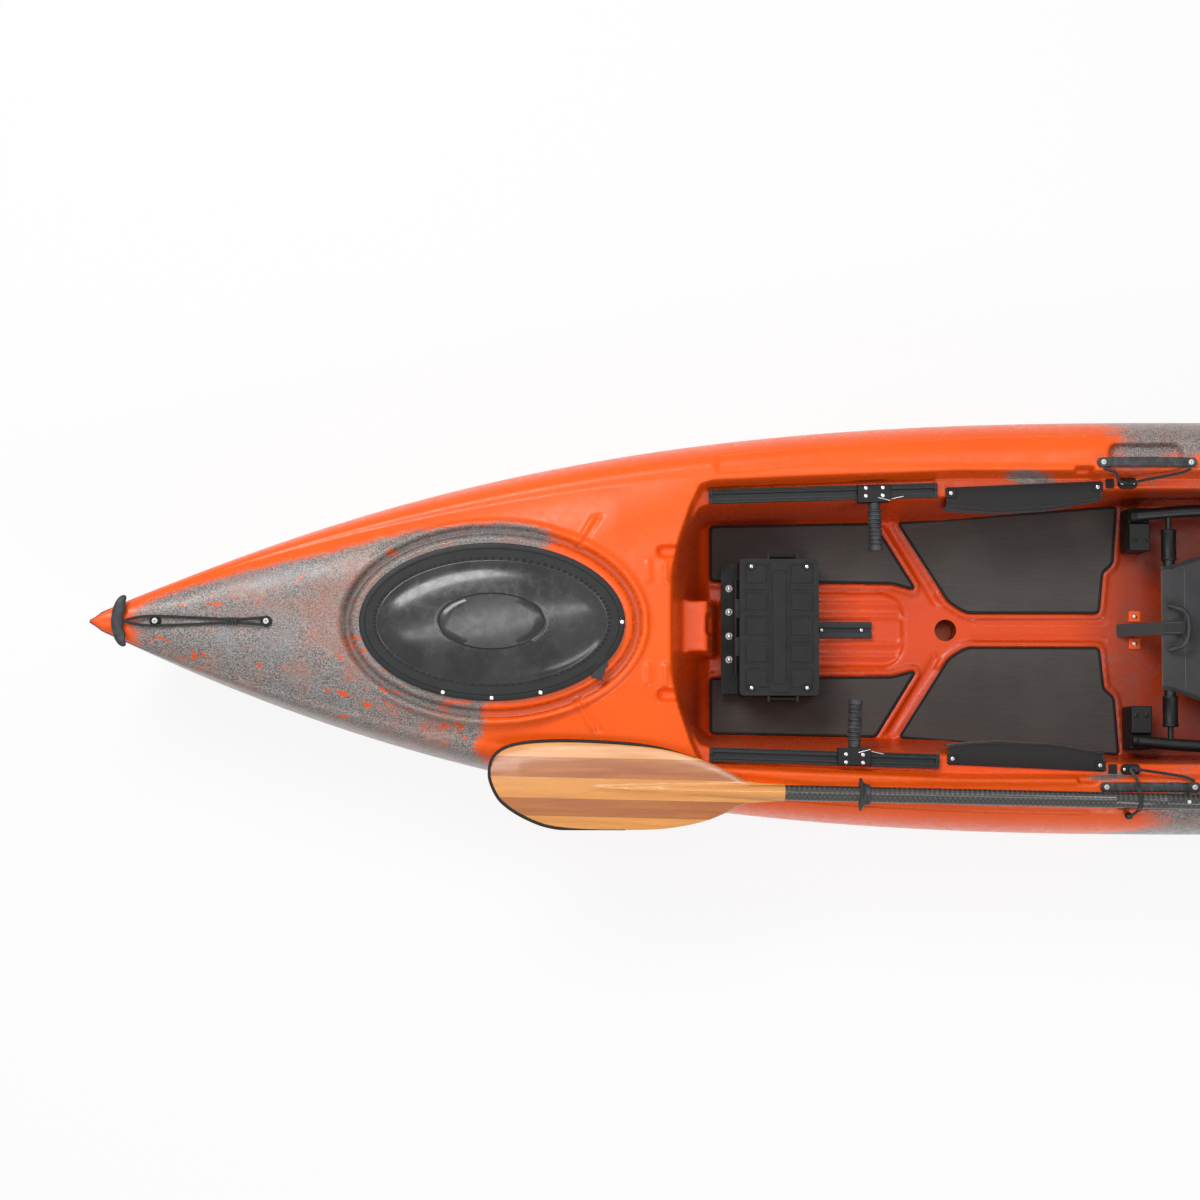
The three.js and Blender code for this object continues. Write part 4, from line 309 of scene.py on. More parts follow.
PAD_OUTLINES = {node: pad_outline(node) for node in sorted(nodes) if node.startswith("floor_pad_")}
PAD_EDGES = [
    (start[:2], end[:2])
    for outline in PAD_OUTLINES.values()
    for start, end in zip(outline, np.roll(outline, -1, 0))
]


def pad_distance(x, y, where):
    """Distance to the nearest pad's edge for the points of the floor, and 1 elsewhere."""
    near = np.ones(x.shape)
    place = np.stack([np.broadcast_to(v, where.shape)[where] for v in (x, y)], -1)
    found = np.ones(len(place))
    for start, end in PAD_EDGES:
        run = end - start
        share = np.clip(((place - start) @ run) / (run @ run), 0, 1)
        found = np.minimum(found, np.linalg.norm(place - start - share[:, None] * run, axis=1))
    near[where] = found
    return near


# Relief of the cockpit floor: the middle trough with two raised lips, a pair of drain grooves each side
# that run inward going aft, a bead round each pad, and a narrow sunk lane each side of the middle line.
TROUGH = Sizes(centre=(-0.648, 0.0), half_x=0.198, half_y=0.078, corner=0.05, depth=0.008)
LIPS = Sizes(half_widths=(0.056, 0.030), corner=0.02, half=0.004, front=-0.7, rise=0.003)
DRAINS = Sizes(x=-0.431, y=0.153, shift=0.0125, lean=math.radians(121), length=0.2, width=0.012, depth=0.005)
BEAD = Sizes(inner=0.006, outer=0.0135, rise=0.0042)
LANE = Sizes(front=-0.3, aft=-0.02, y=0.02, half=0.003, depth=0.004)


def floor_relief(x, y, well):
    """The cockpit floor's trough, grooves and beads, added to the plain well."""
    on_floor = well < WELL.floor + 0.02
    trough = rounded_box(x, y, TROUGH.centre, TROUGH.half_x, TROUGH.half_y, TROUGH.corner)
    z = np.where((trough < 0) & on_floor, WELL.floor - TROUGH.depth, well)
    for half in LIPS.half_widths:
        lip = np.abs(rounded_box(x, y, TROUGH.centre, TROUGH.half_x, half, LIPS.corner))
        z = np.where((lip < LIPS.half) & (trough < 0) & (x > LIPS.front), z + LIPS.rise, z)
    d = DRAINS
    for offset in (d.y - d.shift, d.y + d.shift):
        for side in (1, -1):
            drain = stripe(x, y, (d.x, side * offset), side * d.lean, d.length, d.width)
            z = np.where(drain & on_floor, WELL.floor - d.depth, z)
    beside = pad_distance(x, y, on_floor)
    z = np.where(on_floor & (beside > BEAD.inner) & (beside < BEAD.outer), z + BEAD.rise, z)
    lane = (x > LANE.front) & (x < LANE.aft) & (np.abs(np.abs(y) - LANE.y) < LANE.half)
    return np.where(lane & on_floor, WELL.floor - LANE.depth, z)


def deck_z(x, y, reach=0.0042):
    """deck_raw with its edges rounded over a reach, as a moulding's are."""
    steps = [(i, j, math.exp(-(i * i + j * j))) for i in (-1, -0.5, 0, 0.5, 1) for j in (-1, -0.5, 0, 0.5, 1)]
    total = sum(weight * deck_raw(x + i * reach, y + j * reach) for i, j, weight in steps)
    return total / sum(weight for _, _, weight in steps)


# Materials.
def paint(value):
    """A colour socket as it is, or a triple of 0 to 255 as a linear colour."""
    return srgb(*value) if isinstance(value, tuple) and len(value) == 3 else value


class Look:
    """A procedural material. Its textures are laid out in object coordinates, in metres."""

    def __init__(self, name, colour, rough, metal=0.0, **sockets):
        self.material = bpy.data.materials.new(name)
        self.material.use_nodes = True
        self.tree = self.material.node_tree
        self.shader = self.tree.nodes["Principled BSDF"]
        self.shader.inputs["Base Color"].default_value = paint(colour)
        self.shader.inputs["Roughness"].default_value = rough
        self.shader.inputs["Metallic"].default_value = metal
        for socket, value in sockets.items():
            self.shader.inputs[socket.replace("_", " ")].default_value = value
        self.place = self.tree.nodes.new("ShaderNodeTexCoord").outputs["Object"]

    def link(self, value, socket):
        if isinstance(value, bpy.types.NodeSocket):
            self.tree.links.new(value, socket)
        elif value is not None:
            socket.default_value = value

    def node(self, kind, **inputs):
        """A new shader node with its inputs set or linked by name."""
        made = self.tree.nodes.new(f"ShaderNode{kind}")
        for name, value in inputs.items():
            self.link(value, made.inputs[name])
        return made

    def stretched(self, scale):
        if scale is None:
            return self.place
        return self.node("Mapping", Scale=scale, Vector=self.place).outputs["Vector"]

    def noise(self, scale, detail=2.0, rough=0.5, distortion=0.0, stretch=None):
        return self.node(
            "TexNoise", Vector=self.stretched(stretch), Scale=scale, Detail=detail, Roughness=rough,
            Distortion=distortion,
        ).outputs["Fac"]

    def wave(self, scale, axis, stretch=None, distortion=0.0):
        made = self.node("TexWave", Vector=self.stretched(stretch), Scale=scale, Distortion=distortion)
        made.bands_direction = axis
        return made.outputs["Fac"]

    def crossed(self, operation, scale, stretch=(1, 1, 1), distortion=0.0):
        """Two sets of diagonal waves that cross, joined by an operation."""
        mirrored = (-stretch[0], *stretch[1:])
        sets = [self.wave(scale, "DIAGONAL", turned, distortion) for turned in (stretch, mirrored)]
        return self.maths(operation, *sets)

    def maths(self, operation, a, b=None, c=None):
        made = self.tree.nodes.new("ShaderNodeMath")
        made.operation = operation
        for value, socket in zip((a, b, c), made.inputs):
            self.link(value, socket)
        return made.outputs["Value"]

    def between(self, value, low, high, start=0.0, end=1.0):
        """A value's place between low and high, eased and rescaled to start and end."""
        made = self.node("MapRange", Value=value)
        made.interpolation_type = "SMOOTHSTEP"
        for key, number in zip(("From Min", "From Max", "To Min", "To Max"), (low, high, start, end)):
            made.inputs[key].default_value = number
        return made.outputs["Result"]

    def mix(self, share, a, b):
        made = self.tree.nodes.new("ShaderNodeMix")
        made.data_type = "RGBA"
        for index, value in ((0, share), (6, paint(a)), (7, paint(b))):
            self.link(value, made.inputs[index])
        return made.outputs[2]

    def tones(self, value, low, high, a, b, most=1.0):
        """A colour that turns from a towards b as a value rises from low to high."""
        return self.mix(self.between(value, low, high, 0.0, most), a, b)

    def attribute(self, name, share=None):
        made = self.tree.nodes.new("ShaderNodeAttribute")
        made.attribute_name = name
        return made.outputs["Fac"] if share is None else self.maths("MULTIPLY", made.outputs["Fac"], share)

    def colour(self, value):
        self.link(value, self.shader.inputs["Base Color"])

    def rough(self, value, low, high, smoothest, roughest):
        self.link(self.between(value, low, high, smoothest, roughest), self.shader.inputs["Roughness"])

    def bump(self, height, depth, strength=1.0):
        """Gives the material its relief, and returns it finished."""
        made = self.node("Bump", Strength=strength, Distance=depth, Height=height)
        self.link(made.outputs["Normal"], self.shader.inputs["Normal"])
        return self.material


ORANGE = (252, 97, 20)
# Painted shade: the deeper orange that the wells' floors and walls turn to.
WELL_SHADE_ORANGE = (212, 62, 10)


def camouflaged_plastic():
    """Satin polyethylene: orange that turns to grey speckle where the mesh's camo value is high, with painted
    shade: deeper orange where the mesh's sunk value is high, and a darker tone where its shade value is high.
    """
    look = Look("camouflaged_polyethylene", ORANGE, 0.3, Specular_IOR_Level=0.3)
    orange = look.tones(look.noise(5.0, 4.0, 0.6), 0.35, 0.75, ORANGE, (246, 90, 18))
    # Painted shade: the orange deepens with the sunk value, which grows with depth below the plain deck.
    orange = look.mix(look.attribute("sunk", 0.75), orange, WELL_SHADE_ORANGE)
    share = camouflage_share(look)
    base = look.mix(share, orange, grey_speckle(look))
    # Painted shade: dark orange or dark grey that the shade value mixes towards.
    dark = look.mix(share, (110, 32, 4), (40, 38, 37))
    look.colour(look.mix(look.attribute("shade", 0.75), base, dark))
    look.rough(look.noise(60.0, 3.0), 0.3, 0.7, 0.24, 0.36)
    relief = look.maths("MULTIPLY_ADD", look.noise(900.0, 1.0), 0.3, look.noise(40.0, 2.0))
    return look.bump(relief, 0.0006, 0.35)


def grey_speckle(look):
    """Mottled grey with warm and cool clouds, pale veins and orange flecks."""
    grey = look.tones(look.noise(330.0, 2.0, 0.8), 0.36, 0.66, (84, 78, 76), (170, 163, 159))
    grey = look.tones(look.noise(11.0, 3.0, 0.6), 0.42, 0.72, grey, look.mix(0.5, grey, (176, 116, 96)))
    grey = look.tones(look.noise(7.0, 3.0, 0.55, 0.4), 0.52, 0.75, grey, (140, 148, 155), 0.45)
    veins = look.maths("SUBTRACT", look.noise(4.0, 2.0, 0.55, 1.3, (0.55, 2.2, 1)), 0.5)
    vein = look.between(look.maths("ABSOLUTE", veins), 0.0, 0.012, 1.0, 0.0)
    grey = look.mix(look.maths("MULTIPLY", vein, 0.11), grey, (240, 226, 205))
    flecks = look.noise(26.0, 4.0, 0.65, 0.8, (1, 1.5, 1))
    flecks = look.maths("MULTIPLY_ADD", look.attribute("burst"), 0.06, flecks)
    return look.tones(flecks, 0.645, 0.665, grey, (232, 84, 20), 0.9)


def camouflage_share(look):
    """1 in the grey and 0 in the orange, with a ragged, grainy border."""
    edge = look.attribute("camo")
    for noise in (look.noise(22.0, 6.0, 0.7), look.noise(260.0, 1.0, 0.6)):
        edge = look.maths("MULTIPLY_ADD", look.maths("SUBTRACT", noise, 0.5), 0.6, edge)
    return look.between(edge, 0.3, 0.74)


def moulded_black(name="moulded_black", tone=(16, 17, 18), rough=0.5):
    look = Look(name, tone, rough, Specular_IOR_Level=0.26)
    soil = look.noise(35.0, 4.0, 0.6)
    look.colour(look.tones(soil, 0.45, 0.8, tone, tuple(t + 16 for t in tone), 0.35))
    look.rough(soil, 0.3, 0.8, rough - 0.08, rough + 0.12)
    return look.bump(look.noise(1400.0, 2.0, 0.7), 0.0003, 0.5)


def glossy_black():
    coat = {"Coat_Weight": 0.2, "Coat_Roughness": 0.1}
    look = Look("hatch_gloss", (58, 58, 59), 0.24, Specular_IOR_Level=0.4, **coat)
    dust = look.noise(55.0, 5.0, 0.65, 0.4)
    tone = look.tones(look.noise(7.0, 2.0, 0.5, 0.5, (1.6, 1.0, 1.0)), 0.42, 0.6, (26, 27, 29), (44, 44, 46))
    look.colour(look.tones(dust, 0.5, 0.8, tone, (70, 70, 71), 0.3))
    look.rough(dust, 0.3, 0.8, 0.18, 0.36)
    return look.bump(look.noise(18.0, 2.0), 0.0006, 0.25)


def rubber():
    look = Look("soft_rubber", (40, 42, 45), 0.62)
    look.colour(look.tones(look.noise(60.0, 4.0), 0.4, 0.75, (36, 38, 41), (66, 69, 73)))
    return look.bump(look.noise(1100.0, 2.0, 0.7), 0.0003, 0.6)


def pad_foam():
    """Brushed foam: fine streaks along the boat over a soft grey-brown."""
    look = Look("pad_foam", (66, 61, 58), 0.88)
    streak = look.noise(620.0, 2.0, 0.6, 0.0, (0.04, 1.0, 1.0))
    base = look.tones(look.noise(9.0, 3.0, 0.6), 0.35, 0.7, (66, 62, 60), (73, 69, 66))
    look.colour(look.tones(streak, 0.4, 0.7, base, (88, 83, 79), 0.28))
    return look.bump(streak, 0.0004, 0.6)


def anodised():
    look = Look("black_anodised", (32, 34, 35), 0.4, 0.6)
    brushed = look.noise(900.0, 3.0, 0.6, 0.0, (0.03, 1.0, 1.0))
    look.colour(look.tones(brushed, 0.35, 0.7, (27, 29, 30), (46, 49, 50)))
    look.rough(brushed, 0.3, 0.7, 0.32, 0.5)
    return look.bump(brushed, 0.0001, 0.3)


def steel():
    look = Look("bright_steel", (206, 207, 209), 0.24, 1.0)
    look.rough(look.noise(200.0, 3.0), 0.3, 0.7, 0.16, 0.34)
    return look.bump(look.noise(500.0, 1.0), 0.0001, 0.2)


def white_plastic():
    look = Look("white_plastic", (226, 226, 222), 0.38)
    look.colour(look.tones(look.noise(300.0, 2.0), 0.4, 0.7, (230, 230, 226), (208, 207, 202)))
    return look.bump(look.noise(800.0, 1.0), 0.0001, 0.3)


def braided(tone=(26, 27, 28)):
    look = Look("braided_cord", tone, 0.8, Sheen_Weight=0.25, Sheen_Roughness=0.4)
    weave = look.crossed("MAXIMUM", 420.0)
    look.colour(look.tones(weave, 0.5, 0.95, tuple(t // 2 for t in tone), tuple(t + 14 for t in tone)))
    return look.bump(weave, 0.0006, 0.8)


# Edges of the dark wood strips, measured across the blade.
DARK_STRIPS = ((0.021, 0.061), (-0.057, -0.022))


def laminated_wood():
    """Strips of light and dark wood side by side along the blade, under varnish."""
    look = Look("laminated_wood", (200, 129, 68), 0.24, Coat_Weight=0.5, Coat_Roughness=0.08)
    across = look.attribute("across")
    grain = look.noise(90.0, 4.0, 0.6, 0.3, (0.06, 1.0, 1.0))
    fine = look.noise(600.0, 3.0, 0.7, 0.0, (0.03, 1.0, 1.0))
    light = look.tones(grain, 0.35, 0.7, (226, 152, 72), (208, 134, 58))
    dark = look.tones(grain, 0.35, 0.7, (182, 108, 46), (158, 84, 32))
    strips = [look.maths("COMPARE", across, (low + high) / 2, (high - low) / 2) for low, high in DARK_STRIPS]
    base = look.mix(look.maths("MAXIMUM", *strips), light, dark)
    for seam in (edge for strip in DARK_STRIPS for edge in strip):
        line = look.maths("COMPARE", across, seam, 0.0005)
        base = look.mix(look.maths("MULTIPLY", line, 0.6), base, (120, 66, 34))
    look.colour(look.tones(fine, 0.5, 0.75, base, (150, 88, 44), 0.35))
    look.rough(grain, 0.3, 0.7, 0.2, 0.32)
    return look.bump(fine, 0.0002, 0.25)


def carbon_weave():
    """Twill of carbon tows under varnish, in rows along the shaft."""
    coat = {"Coat_Weight": 0.35, "Coat_Roughness": 0.1}
    look = Look("carbon_weave", (74, 74, 72), 0.32, Specular_IOR_Level=0.35, **coat)
    weave = look.crossed("MULTIPLY", 62.0, (1.0, 0.55, 0.55), 0.6)
    tow = look.tones(weave, 0.12, 0.5, (44, 43, 42), (78, 76, 73))
    look.colour(look.tones(look.noise(60.0, 3.0, 0.6), 0.35, 0.7, tow, (60, 59, 57), 0.5))
    look.rough(look.between(weave, 0.12, 0.5), 0, 1, 0.24, 0.38)
    return look.bump(weave, 0.0003, 0.4)


def woven_seat():
    """Open plain weave in grey, with darker gaps between the threads."""
    look = Look("woven_seat", (85, 85, 88), 0.85, Sheen_Weight=0.3, Sheen_Roughness=0.5)
    threads = look.maths("MAXIMUM", look.wave(210.0, "X"), look.wave(210.0, "Y"))
    tone = look.tones(look.noise(14.0, 3.0), 0.35, 0.7, (68, 68, 71), (55, 55, 59))
    look.colour(look.tones(threads, 0.35, 0.85, (38, 38, 40), tone))
    return look.bump(threads, 0.0006, 0.8)


def netting():
    look = Look("pouch_netting", (30, 31, 32), 0.8, Sheen_Weight=0.2)
    cords = look.crossed("MAXIMUM", 120.0)
    look.colour(look.tones(cords, 0.6, 0.92, (14, 14, 14), (58, 58, 59)))
    return look.bump(cords, 0.0012, 0.9)


def webbing():
    look = Look("webbing", (24, 24, 25), 0.75, Sheen_Weight=0.3)
    weave = look.maths("MULTIPLY_ADD", look.wave(330.0, "Y"), 0.6, look.wave(200.0, "DIAGONAL"))
    look.colour(look.tones(weave, 0.5, 1.4, (14, 14, 15), (46, 46, 48)))
    return look.bump(weave, 0.0004, 0.8)


def thread():
    look = Look("thread", (120, 120, 122), 0.7)
    look.colour(look.tones(look.noise(900.0, 1.0), 0.4, 0.6, (104, 104, 106), (140, 140, 142)))
    return look.bump(look.noise(2500.0, 1.0), 0.0001, 0.5)


finishes = {
    "deck_plastic": camouflaged_plastic(),
    "pad_foam": pad_foam(),
    "black_plastic": moulded_black(),
    "hatch_plastic": glossy_black(),
    "rubber": rubber(),
    "black_aluminium": anodised(),
    "steel": steel(),
    "wood": laminated_wood(),
    "carbon": carbon_weave(),
    "seat_fabric": woven_seat(),
    "pouch_mesh": netting(),
    "webbing": webbing(),
    "thread": thread(),
    "cord": braided(),
    "white_plastic": white_plastic(),
}
finishes["hull_plastic"] = finishes["deck_plastic"]


# Mesh helpers.
# Points nearer than WELD become one. Edges sharper than CREASED stay sharp.
WELD = 0.000002
CREASED = math.radians(42)


def registered(name, mesh, slot, body, replaces=(), material=None):
    """The object of a new mesh, with its material, taken from the slot unless one is given, parented to its
    body's empty, and with the CAD nodes it stands for hidden.
    """
    mesh.materials.append(material or finishes[slot])
    made = bpy.data.objects.new(name, mesh)
    bpy.context.scene.collection.objects.link(made)
    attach(made, body)
    if replaces:
        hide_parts(*replaces)
    return made


def piece(name, verts, faces, slot, body, replaces=(), smooth_shade=True, material=None):
    """A mesh from points and faces: welded, its normals put right, smooth but for its creases."""
    mesh = bpy.data.meshes.new(name)
    mesh.from_pydata([tuple(v) for v in verts], [], [[int(v) for v in f] for f in faces])
    mesh.validate()
    bm = bmesh.new()
    bm.from_mesh(mesh)
    bmesh.ops.remove_doubles(bm, verts=bm.verts, dist=WELD)
    bmesh.ops.recalc_face_normals(bm, faces=bm.faces)
    for edge in bm.edges:
        edge.smooth = len(edge.link_faces) != 2 or edge.calc_face_angle(0.0) < CREASED
    bm.to_mesh(mesh)
    bm.free()
    mesh.polygons.foreach_set("use_smooth", [smooth_shade] * len(mesh.polygons))
    return registered(name, mesh, slot, body, replaces, material)


def grid_faces(rows, columns, closed=False):
    """Faces between neighbouring points of a grid; a closed grid's last column joins its first."""
    across = columns if closed else columns - 1
    i, j = np.meshgrid(np.arange(rows - 1), np.arange(across), indexing="ij")
    k = (j + 1) % columns
    quads = np.stack([i * columns + j, (i + 1) * columns + j, (i + 1) * columns + k, i * columns + k], -1)
    return quads.reshape(-1, 4)


def tube_faces(rings, sides):
    """Faces of a tube of rings with both its ends closed."""
    last = (rings - 1) * sides
    return [*grid_faces(rings, sides, True), range(sides), range(last, last + sides)]


def circle(sides):
    return np.linspace(0, 2 * math.pi, sides, endpoint=False)


def quick_grid(name, points, slot, body, replaces=(), keep=None):
    """A surface over a big grid of points, made straight from arrays."""
    rows, columns = points.shape[:2]
    faces = grid_faces(rows, columns)
    if keep is not None:
        faces = faces[keep(points.reshape(-1, 3)[faces].mean(axis=1))]
    mesh = bpy.data.meshes.new(name)
    mesh.vertices.add(rows * columns)
    mesh.vertices.foreach_set("co", points.reshape(-1).astype(np.float32))
    mesh.loops.add(faces.size)
    mesh.loops.foreach_set("vertex_index", faces.reshape(-1).astype(np.int32))
    mesh.polygons.add(len(faces))
    mesh.polygons.foreach_set("loop_start", np.arange(0, faces.size, 4, dtype=np.int32))
    mesh.polygons.foreach_set("use_smooth", np.ones(len(faces), dtype=bool))
    mesh.update(calc_edges=True)
    mesh.validate()
    return registered(name, mesh, slot, body, replaces)


def read(made, what):
    """A mesh's vertex places or normals, as three rows."""
    values = np.empty(len(made.data.vertices) * 3, np.float32)
    made.data.vertices.foreach_get(what, values)
    return values.reshape(-1, 3).T


def store(made, name, values):
    """Keeps a value at each vertex, for the shader to read."""
    attribute = made.data.attributes.new(name, "FLOAT", "POINT")
    attribute.data.foreach_set("value", values.astype(np.float32))


# The hull's skins.
DECK_NODES = ["deck_bow", "deck_stern", "cockpit_floor", "cockpit_side_starboard", "cockpit_side_port"]
# The skins stop this far short of the stems' ends.
STEM_GAP = 0.0005
AFT_END = HALF_LENGTH - STEM_GAP
# Amidships the points of the deck's grid are this far apart.
GRID_STEP = 0.004
# The deck's hole for the hatch is the lid's oval, grown by this.
HATCH_HOLE = -0.026
# Width of the plain band along the starboard edge, from the bow aft.
BAND_PLACES = [-2.1, -2.03, -1.91, -1.71, -1.59, -1.5, -1.3, -1.2]
BAND_WIDTHS = [0.01, 0.022, 0.037, 0.063, 0.075, 0.075, 0.105, 0.13]
# Small patches of speckle on the side decks: middle, half length, half width and strength.
PATCHES = [((-0.19, 0.305), 0.09, 0.022, 0.75), ((-0.08, -0.31), 0.08, 0.02, 0.7)]


def stations(places):
    """Stations along the hull, from (end, step) pairs."""
    found = [-AFT_END]
    for end, step in places:
        count = max(1, round((end - found[-1]) / step))
        found.extend(np.linspace(found[-1], end, count + 1)[1:])
    return np.array(found)


def camo_field(x, y, z):
    """Where the speckle lies: 1 well inside it, 0 well outside, for the shader to break up."""
    band = np.interp(x, BAND_PLACES, BAND_WIDTHS)
    inside_band = smooth(-0.03, 0.026, half_beam(x) - y - band)
    last = np.interp(y, [-0.03, 0.03], [-1.335, -1.215])
    soft = np.interp(y, [-0.03, 0.03], [0.035, 0.06])
    wave = 0.014 * np.sin(37 * y + 11 * z) + 0.009 * np.sin(83 * y - 29 * z + 2)
    bow = smooth(-2.10, -1.98, x) * (1 - smooth(-1.0, 1.0, (x + wave - last) / soft)) * inside_band
    x = x + 0.05 * np.sin(13 * y + 31 * z) + 0.02 * np.sin(47 * y - 71 * z)
    fields = [bow]
    for (patch_x, patch_y), half_x, half_y, most in PATCHES:
        away = np.hypot((x - patch_x) / half_x, (y - patch_y) / half_y)
        fields.append(most * (1 - smooth(0.3, 1.0, away)))
    outer = smooth(0.0, 0.09, np.abs(y) - 0.29 + 0.35 * np.clip(0.1 - x, -0.15, 1)) * smooth(-0.12, 0.12, x)
    stern = smooth(0.9, 1.15, x + 0.3 * y) * (1 - smooth(1.95, 2.05, x))
    amidships = 0.37 * smooth(-0.08, 0.03, x)
    return np.clip(np.maximum.reduce([*fields, outer, stern, amidships]), 0, 1)


def drop_holes(middle):
    """Faces that stay: those outside the scuppers and the hatch opening."""
    keep = hatch_ring(middle[:, 0], middle[:, 1], HATCH_HOLE) > 0
    for x, y in SCUPPERS:
        keep &= np.hypot(middle[:, 0] - x, middle[:, 1] - y) > SCUPPER_RADIUS
    return keep


def snap_to_holes(points):
    """Moves the grid points nearest a hole's edge onto it, so that the hole comes out round."""
    x, y = points[..., 0], points[..., 1]
    rings = [((cx, cy), np.hypot(x - cx, y - cy) / SCUPPER_RADIUS, GRID_STEP * 0.75 / SCUPPER_RADIUS)
             for cx, cy in SCUPPERS]
    rings.append(((HATCH.x, 0), hatch_ring(x, y, HATCH_HOLE) + 1, 0.02))
    for (cx, cy), ring, reach in rings:
        scale = np.where(np.abs(ring - 1) < reach, 1 / np.maximum(ring, 1e-6), 1)
        x[:] = cx + (x - cx) * scale
        y[:] = cy + (y - cy) * scale


def seam_sine(x):
    """How far the hull has turned in, as a sine, at the seam a little under the sheer."""
    share = np.clip(1 - HULL.seam_drop / (sheer_z(x) - bilge_z(x)), 0, 1)
    return share ** (1 / HULL.squareness)


def seam_half(x):
    """Half width of the hull at the seam."""
    cosine = np.sqrt(1 - seam_sine(x) ** 2)
    return half_beam(x) * (HULL.edge + (1 - HULL.edge) * cosine ** HULL.squareness)


def deck_skin():
    x = stations([(-1.66, 0.008), (-0.98, 0.005), (0.66, GRID_STEP), (1.6, 0.005), (AFT_END, 0.01)])
    across = np.linspace(-1, 1, 221)
    gx = np.repeat(x[:, None], len(across), 1)
    flat = np.stack([gx, seam_half(gx) * across[None, :], np.zeros_like(gx)], -1)
    snap_to_holes(flat)
    flat[..., 2] = deck_z(flat[..., 0], flat[..., 1])
    flat[:, [0, -1], 2] = (sheer_z(x) - HULL.seam_drop)[:, None]
    made = quick_grid("deck_skin", flat, "deck_plastic", "hull", DECK_NODES, keep=drop_holes)
    x, y, z = read(made, "co")
    store(made, "camo", camo_field(x, y, z))
    # Painted shade: how deep a point lies below the plain deck, which deepens the orange in the wells.
    store(made, "sunk", np.clip((outer_z(x, y) - z) / 0.22, 0, 1))
    store(made, "burst", deck_burst(x, y))
    store(made, "shade", deck_shade(x, y, z, read(made, "normal")[2]))


def deck_burst(x, y):
    """Where more orange flecks show: by the hatch's port side and along the port edge."""
    near_hatch = hatch_ring(x, y, HATCH.collar + HATCH.groove + 0.03)
    by_edge = 0.5 * (1 - smooth(0.0, 0.05, half_beam(x) + y))
    return (1 - smooth(-0.1, 0.55, near_hatch)) * (y < -0.02) + by_edge


def deck_shade(x, y, z, level):
    """Painted shade: darker colour on steep walls, in the hatch's groove, as the seat's shadow under it and
    in lines round the pads.
    """
    wall = 0.55 * (1 - smooth(0.25, 0.8, level)) * smooth(0.02, 0.1, outer_z(x, y) - z)
    outside_collar = hatch_ring(x, y, HATCH.collar + 0.001) > 0
    groove_shade = 0.7 * (outside_collar & (hatch_ring(x, y, HATCH.collar + HATCH.groove - 0.001) < 0))
    seat_shadow = 0.9 * smooth(-0.12, 0.04, x) * (1 - smooth(0.55, 0.62, x)) * (z < 0.27)
    beside = pad_distance(x, y, (x > WELL.front) & (x < 0.05) & (z < WELL.floor + 0.01))
    pad_inner_shade = 0.6 * (beside < BEAD.inner)
    pad_outer_shade = 0.4 * ((beside > 0.013) & (beside < 0.0175))
    return np.maximum.reduce([wall, groove_shade, seat_shadow, pad_inner_shade, pad_outer_shade])


# Shares of a hull section's run from the keel to the seam at which its two turns begin.
LOW_TURN, HIGH_TURN = 0.3, 0.7


def hull_section(x, across):
    """The hull under its seam, from starboard round the keel to port, as (y, z)."""
    half, keel, sheer, middle = half_beam(x), keel_z(x), sheer_z(x), bilge_z(x)
    power = HULL.squareness
    flat = np.minimum(HULL.keel_width / 2, half * 0.5)
    t = np.abs(across)
    turn = np.clip((t - LOW_TURN) / (HIGH_TURN - LOW_TURN), 0, 1) * math.pi / 2
    low_y = flat * np.clip(t / LOW_TURN, 0, 1) + (half - flat) * np.sin(turn) ** power
    low_z = middle - (middle - keel) * np.cos(turn) ** power
    turn = np.clip((t - HIGH_TURN) / (1 - HIGH_TURN), 0, 1) * np.arcsin(seam_sine(x))
    edge = HULL.edge * half
    high_y = edge + (half - edge) * np.cos(turn) ** power
    high_z = middle + (sheer - middle) * np.sin(turn) ** power
    low = t <= HIGH_TURN
    return np.where(low, low_y, high_y) * np.sign(across), np.where(low, low_z, high_z)


def hull_skin():
    x = stations([(-1.9, 0.01), (1.9, 0.02), (AFT_END, 0.01)])
    across = np.linspace(1, -1, 97)
    gx = np.repeat(x[:, None], len(across), 1)
    points = np.stack([gx, *hull_section(gx, across[None, :])], -1)
    made = quick_grid("hull_skin", points, "hull_plastic", "hull", ["hull_shell"])
    store(made, "camo", camo_field(*points.reshape(-1, 3).T))


body_of = {
    node: body for body, names in frame["record"]["behaviour"]["bodies"].items() for node in names
}
slot_of = {row["node"]: row["material_slot"] for row in frame["record"]["subparts"]}


# Bars, turned parts, softened copies and fasteners.
def curve_points(points, steps=8):
    """Points on a smooth curve through the given ones."""
    p = np.asarray(points, float)
    p = np.vstack([2 * p[0] - p[1], p, 2 * p[-1] - p[-2]])
    t = np.linspace(0, 1, steps, endpoint=False)[:, None]
    runs = [
        0.5 * (2 * b + (c - a) * t + (2 * a - 5 * b + 4 * c - d) * t**2 + (3 * b - a - 3 * c + d) * t**3)
        for a, b, c, d in zip(p[:-3], p[1:-2], p[2:-1], p[3:])
    ]
    return np.vstack([*runs, p[-2][None]])


def bent_points(points, radius, steps=8):
    """Straight runs between points, with each corner rounded."""
    p = np.asarray(points, float)
    path = [p[0]]
    for before, corner, after in zip(p[:-2], p[1:-1], p[2:]):
        enter, leave = before - corner, after - corner
        cut = min(radius, 0.46 * np.linalg.norm(enter), 0.46 * np.linalg.norm(leave))
        start = corner + enter / np.linalg.norm(enter) * cut
        end = corner + leave / np.linalg.norm(leave) * cut
        for t in np.linspace(0, 1, steps):
            path.append((1 - t) ** 2 * start + 2 * t * (1 - t) * corner + t**2 * end)
    path.append(p[-1])
    return np.array(path)


def arc(centre, radius, degrees):
    """Points (x, z) on a circle at the given angles."""
    turns = [math.radians(d) for d in degrees]
    return [(centre[0] + radius * math.cos(t), centre[1] + radius * math.sin(t)) for t in turns]


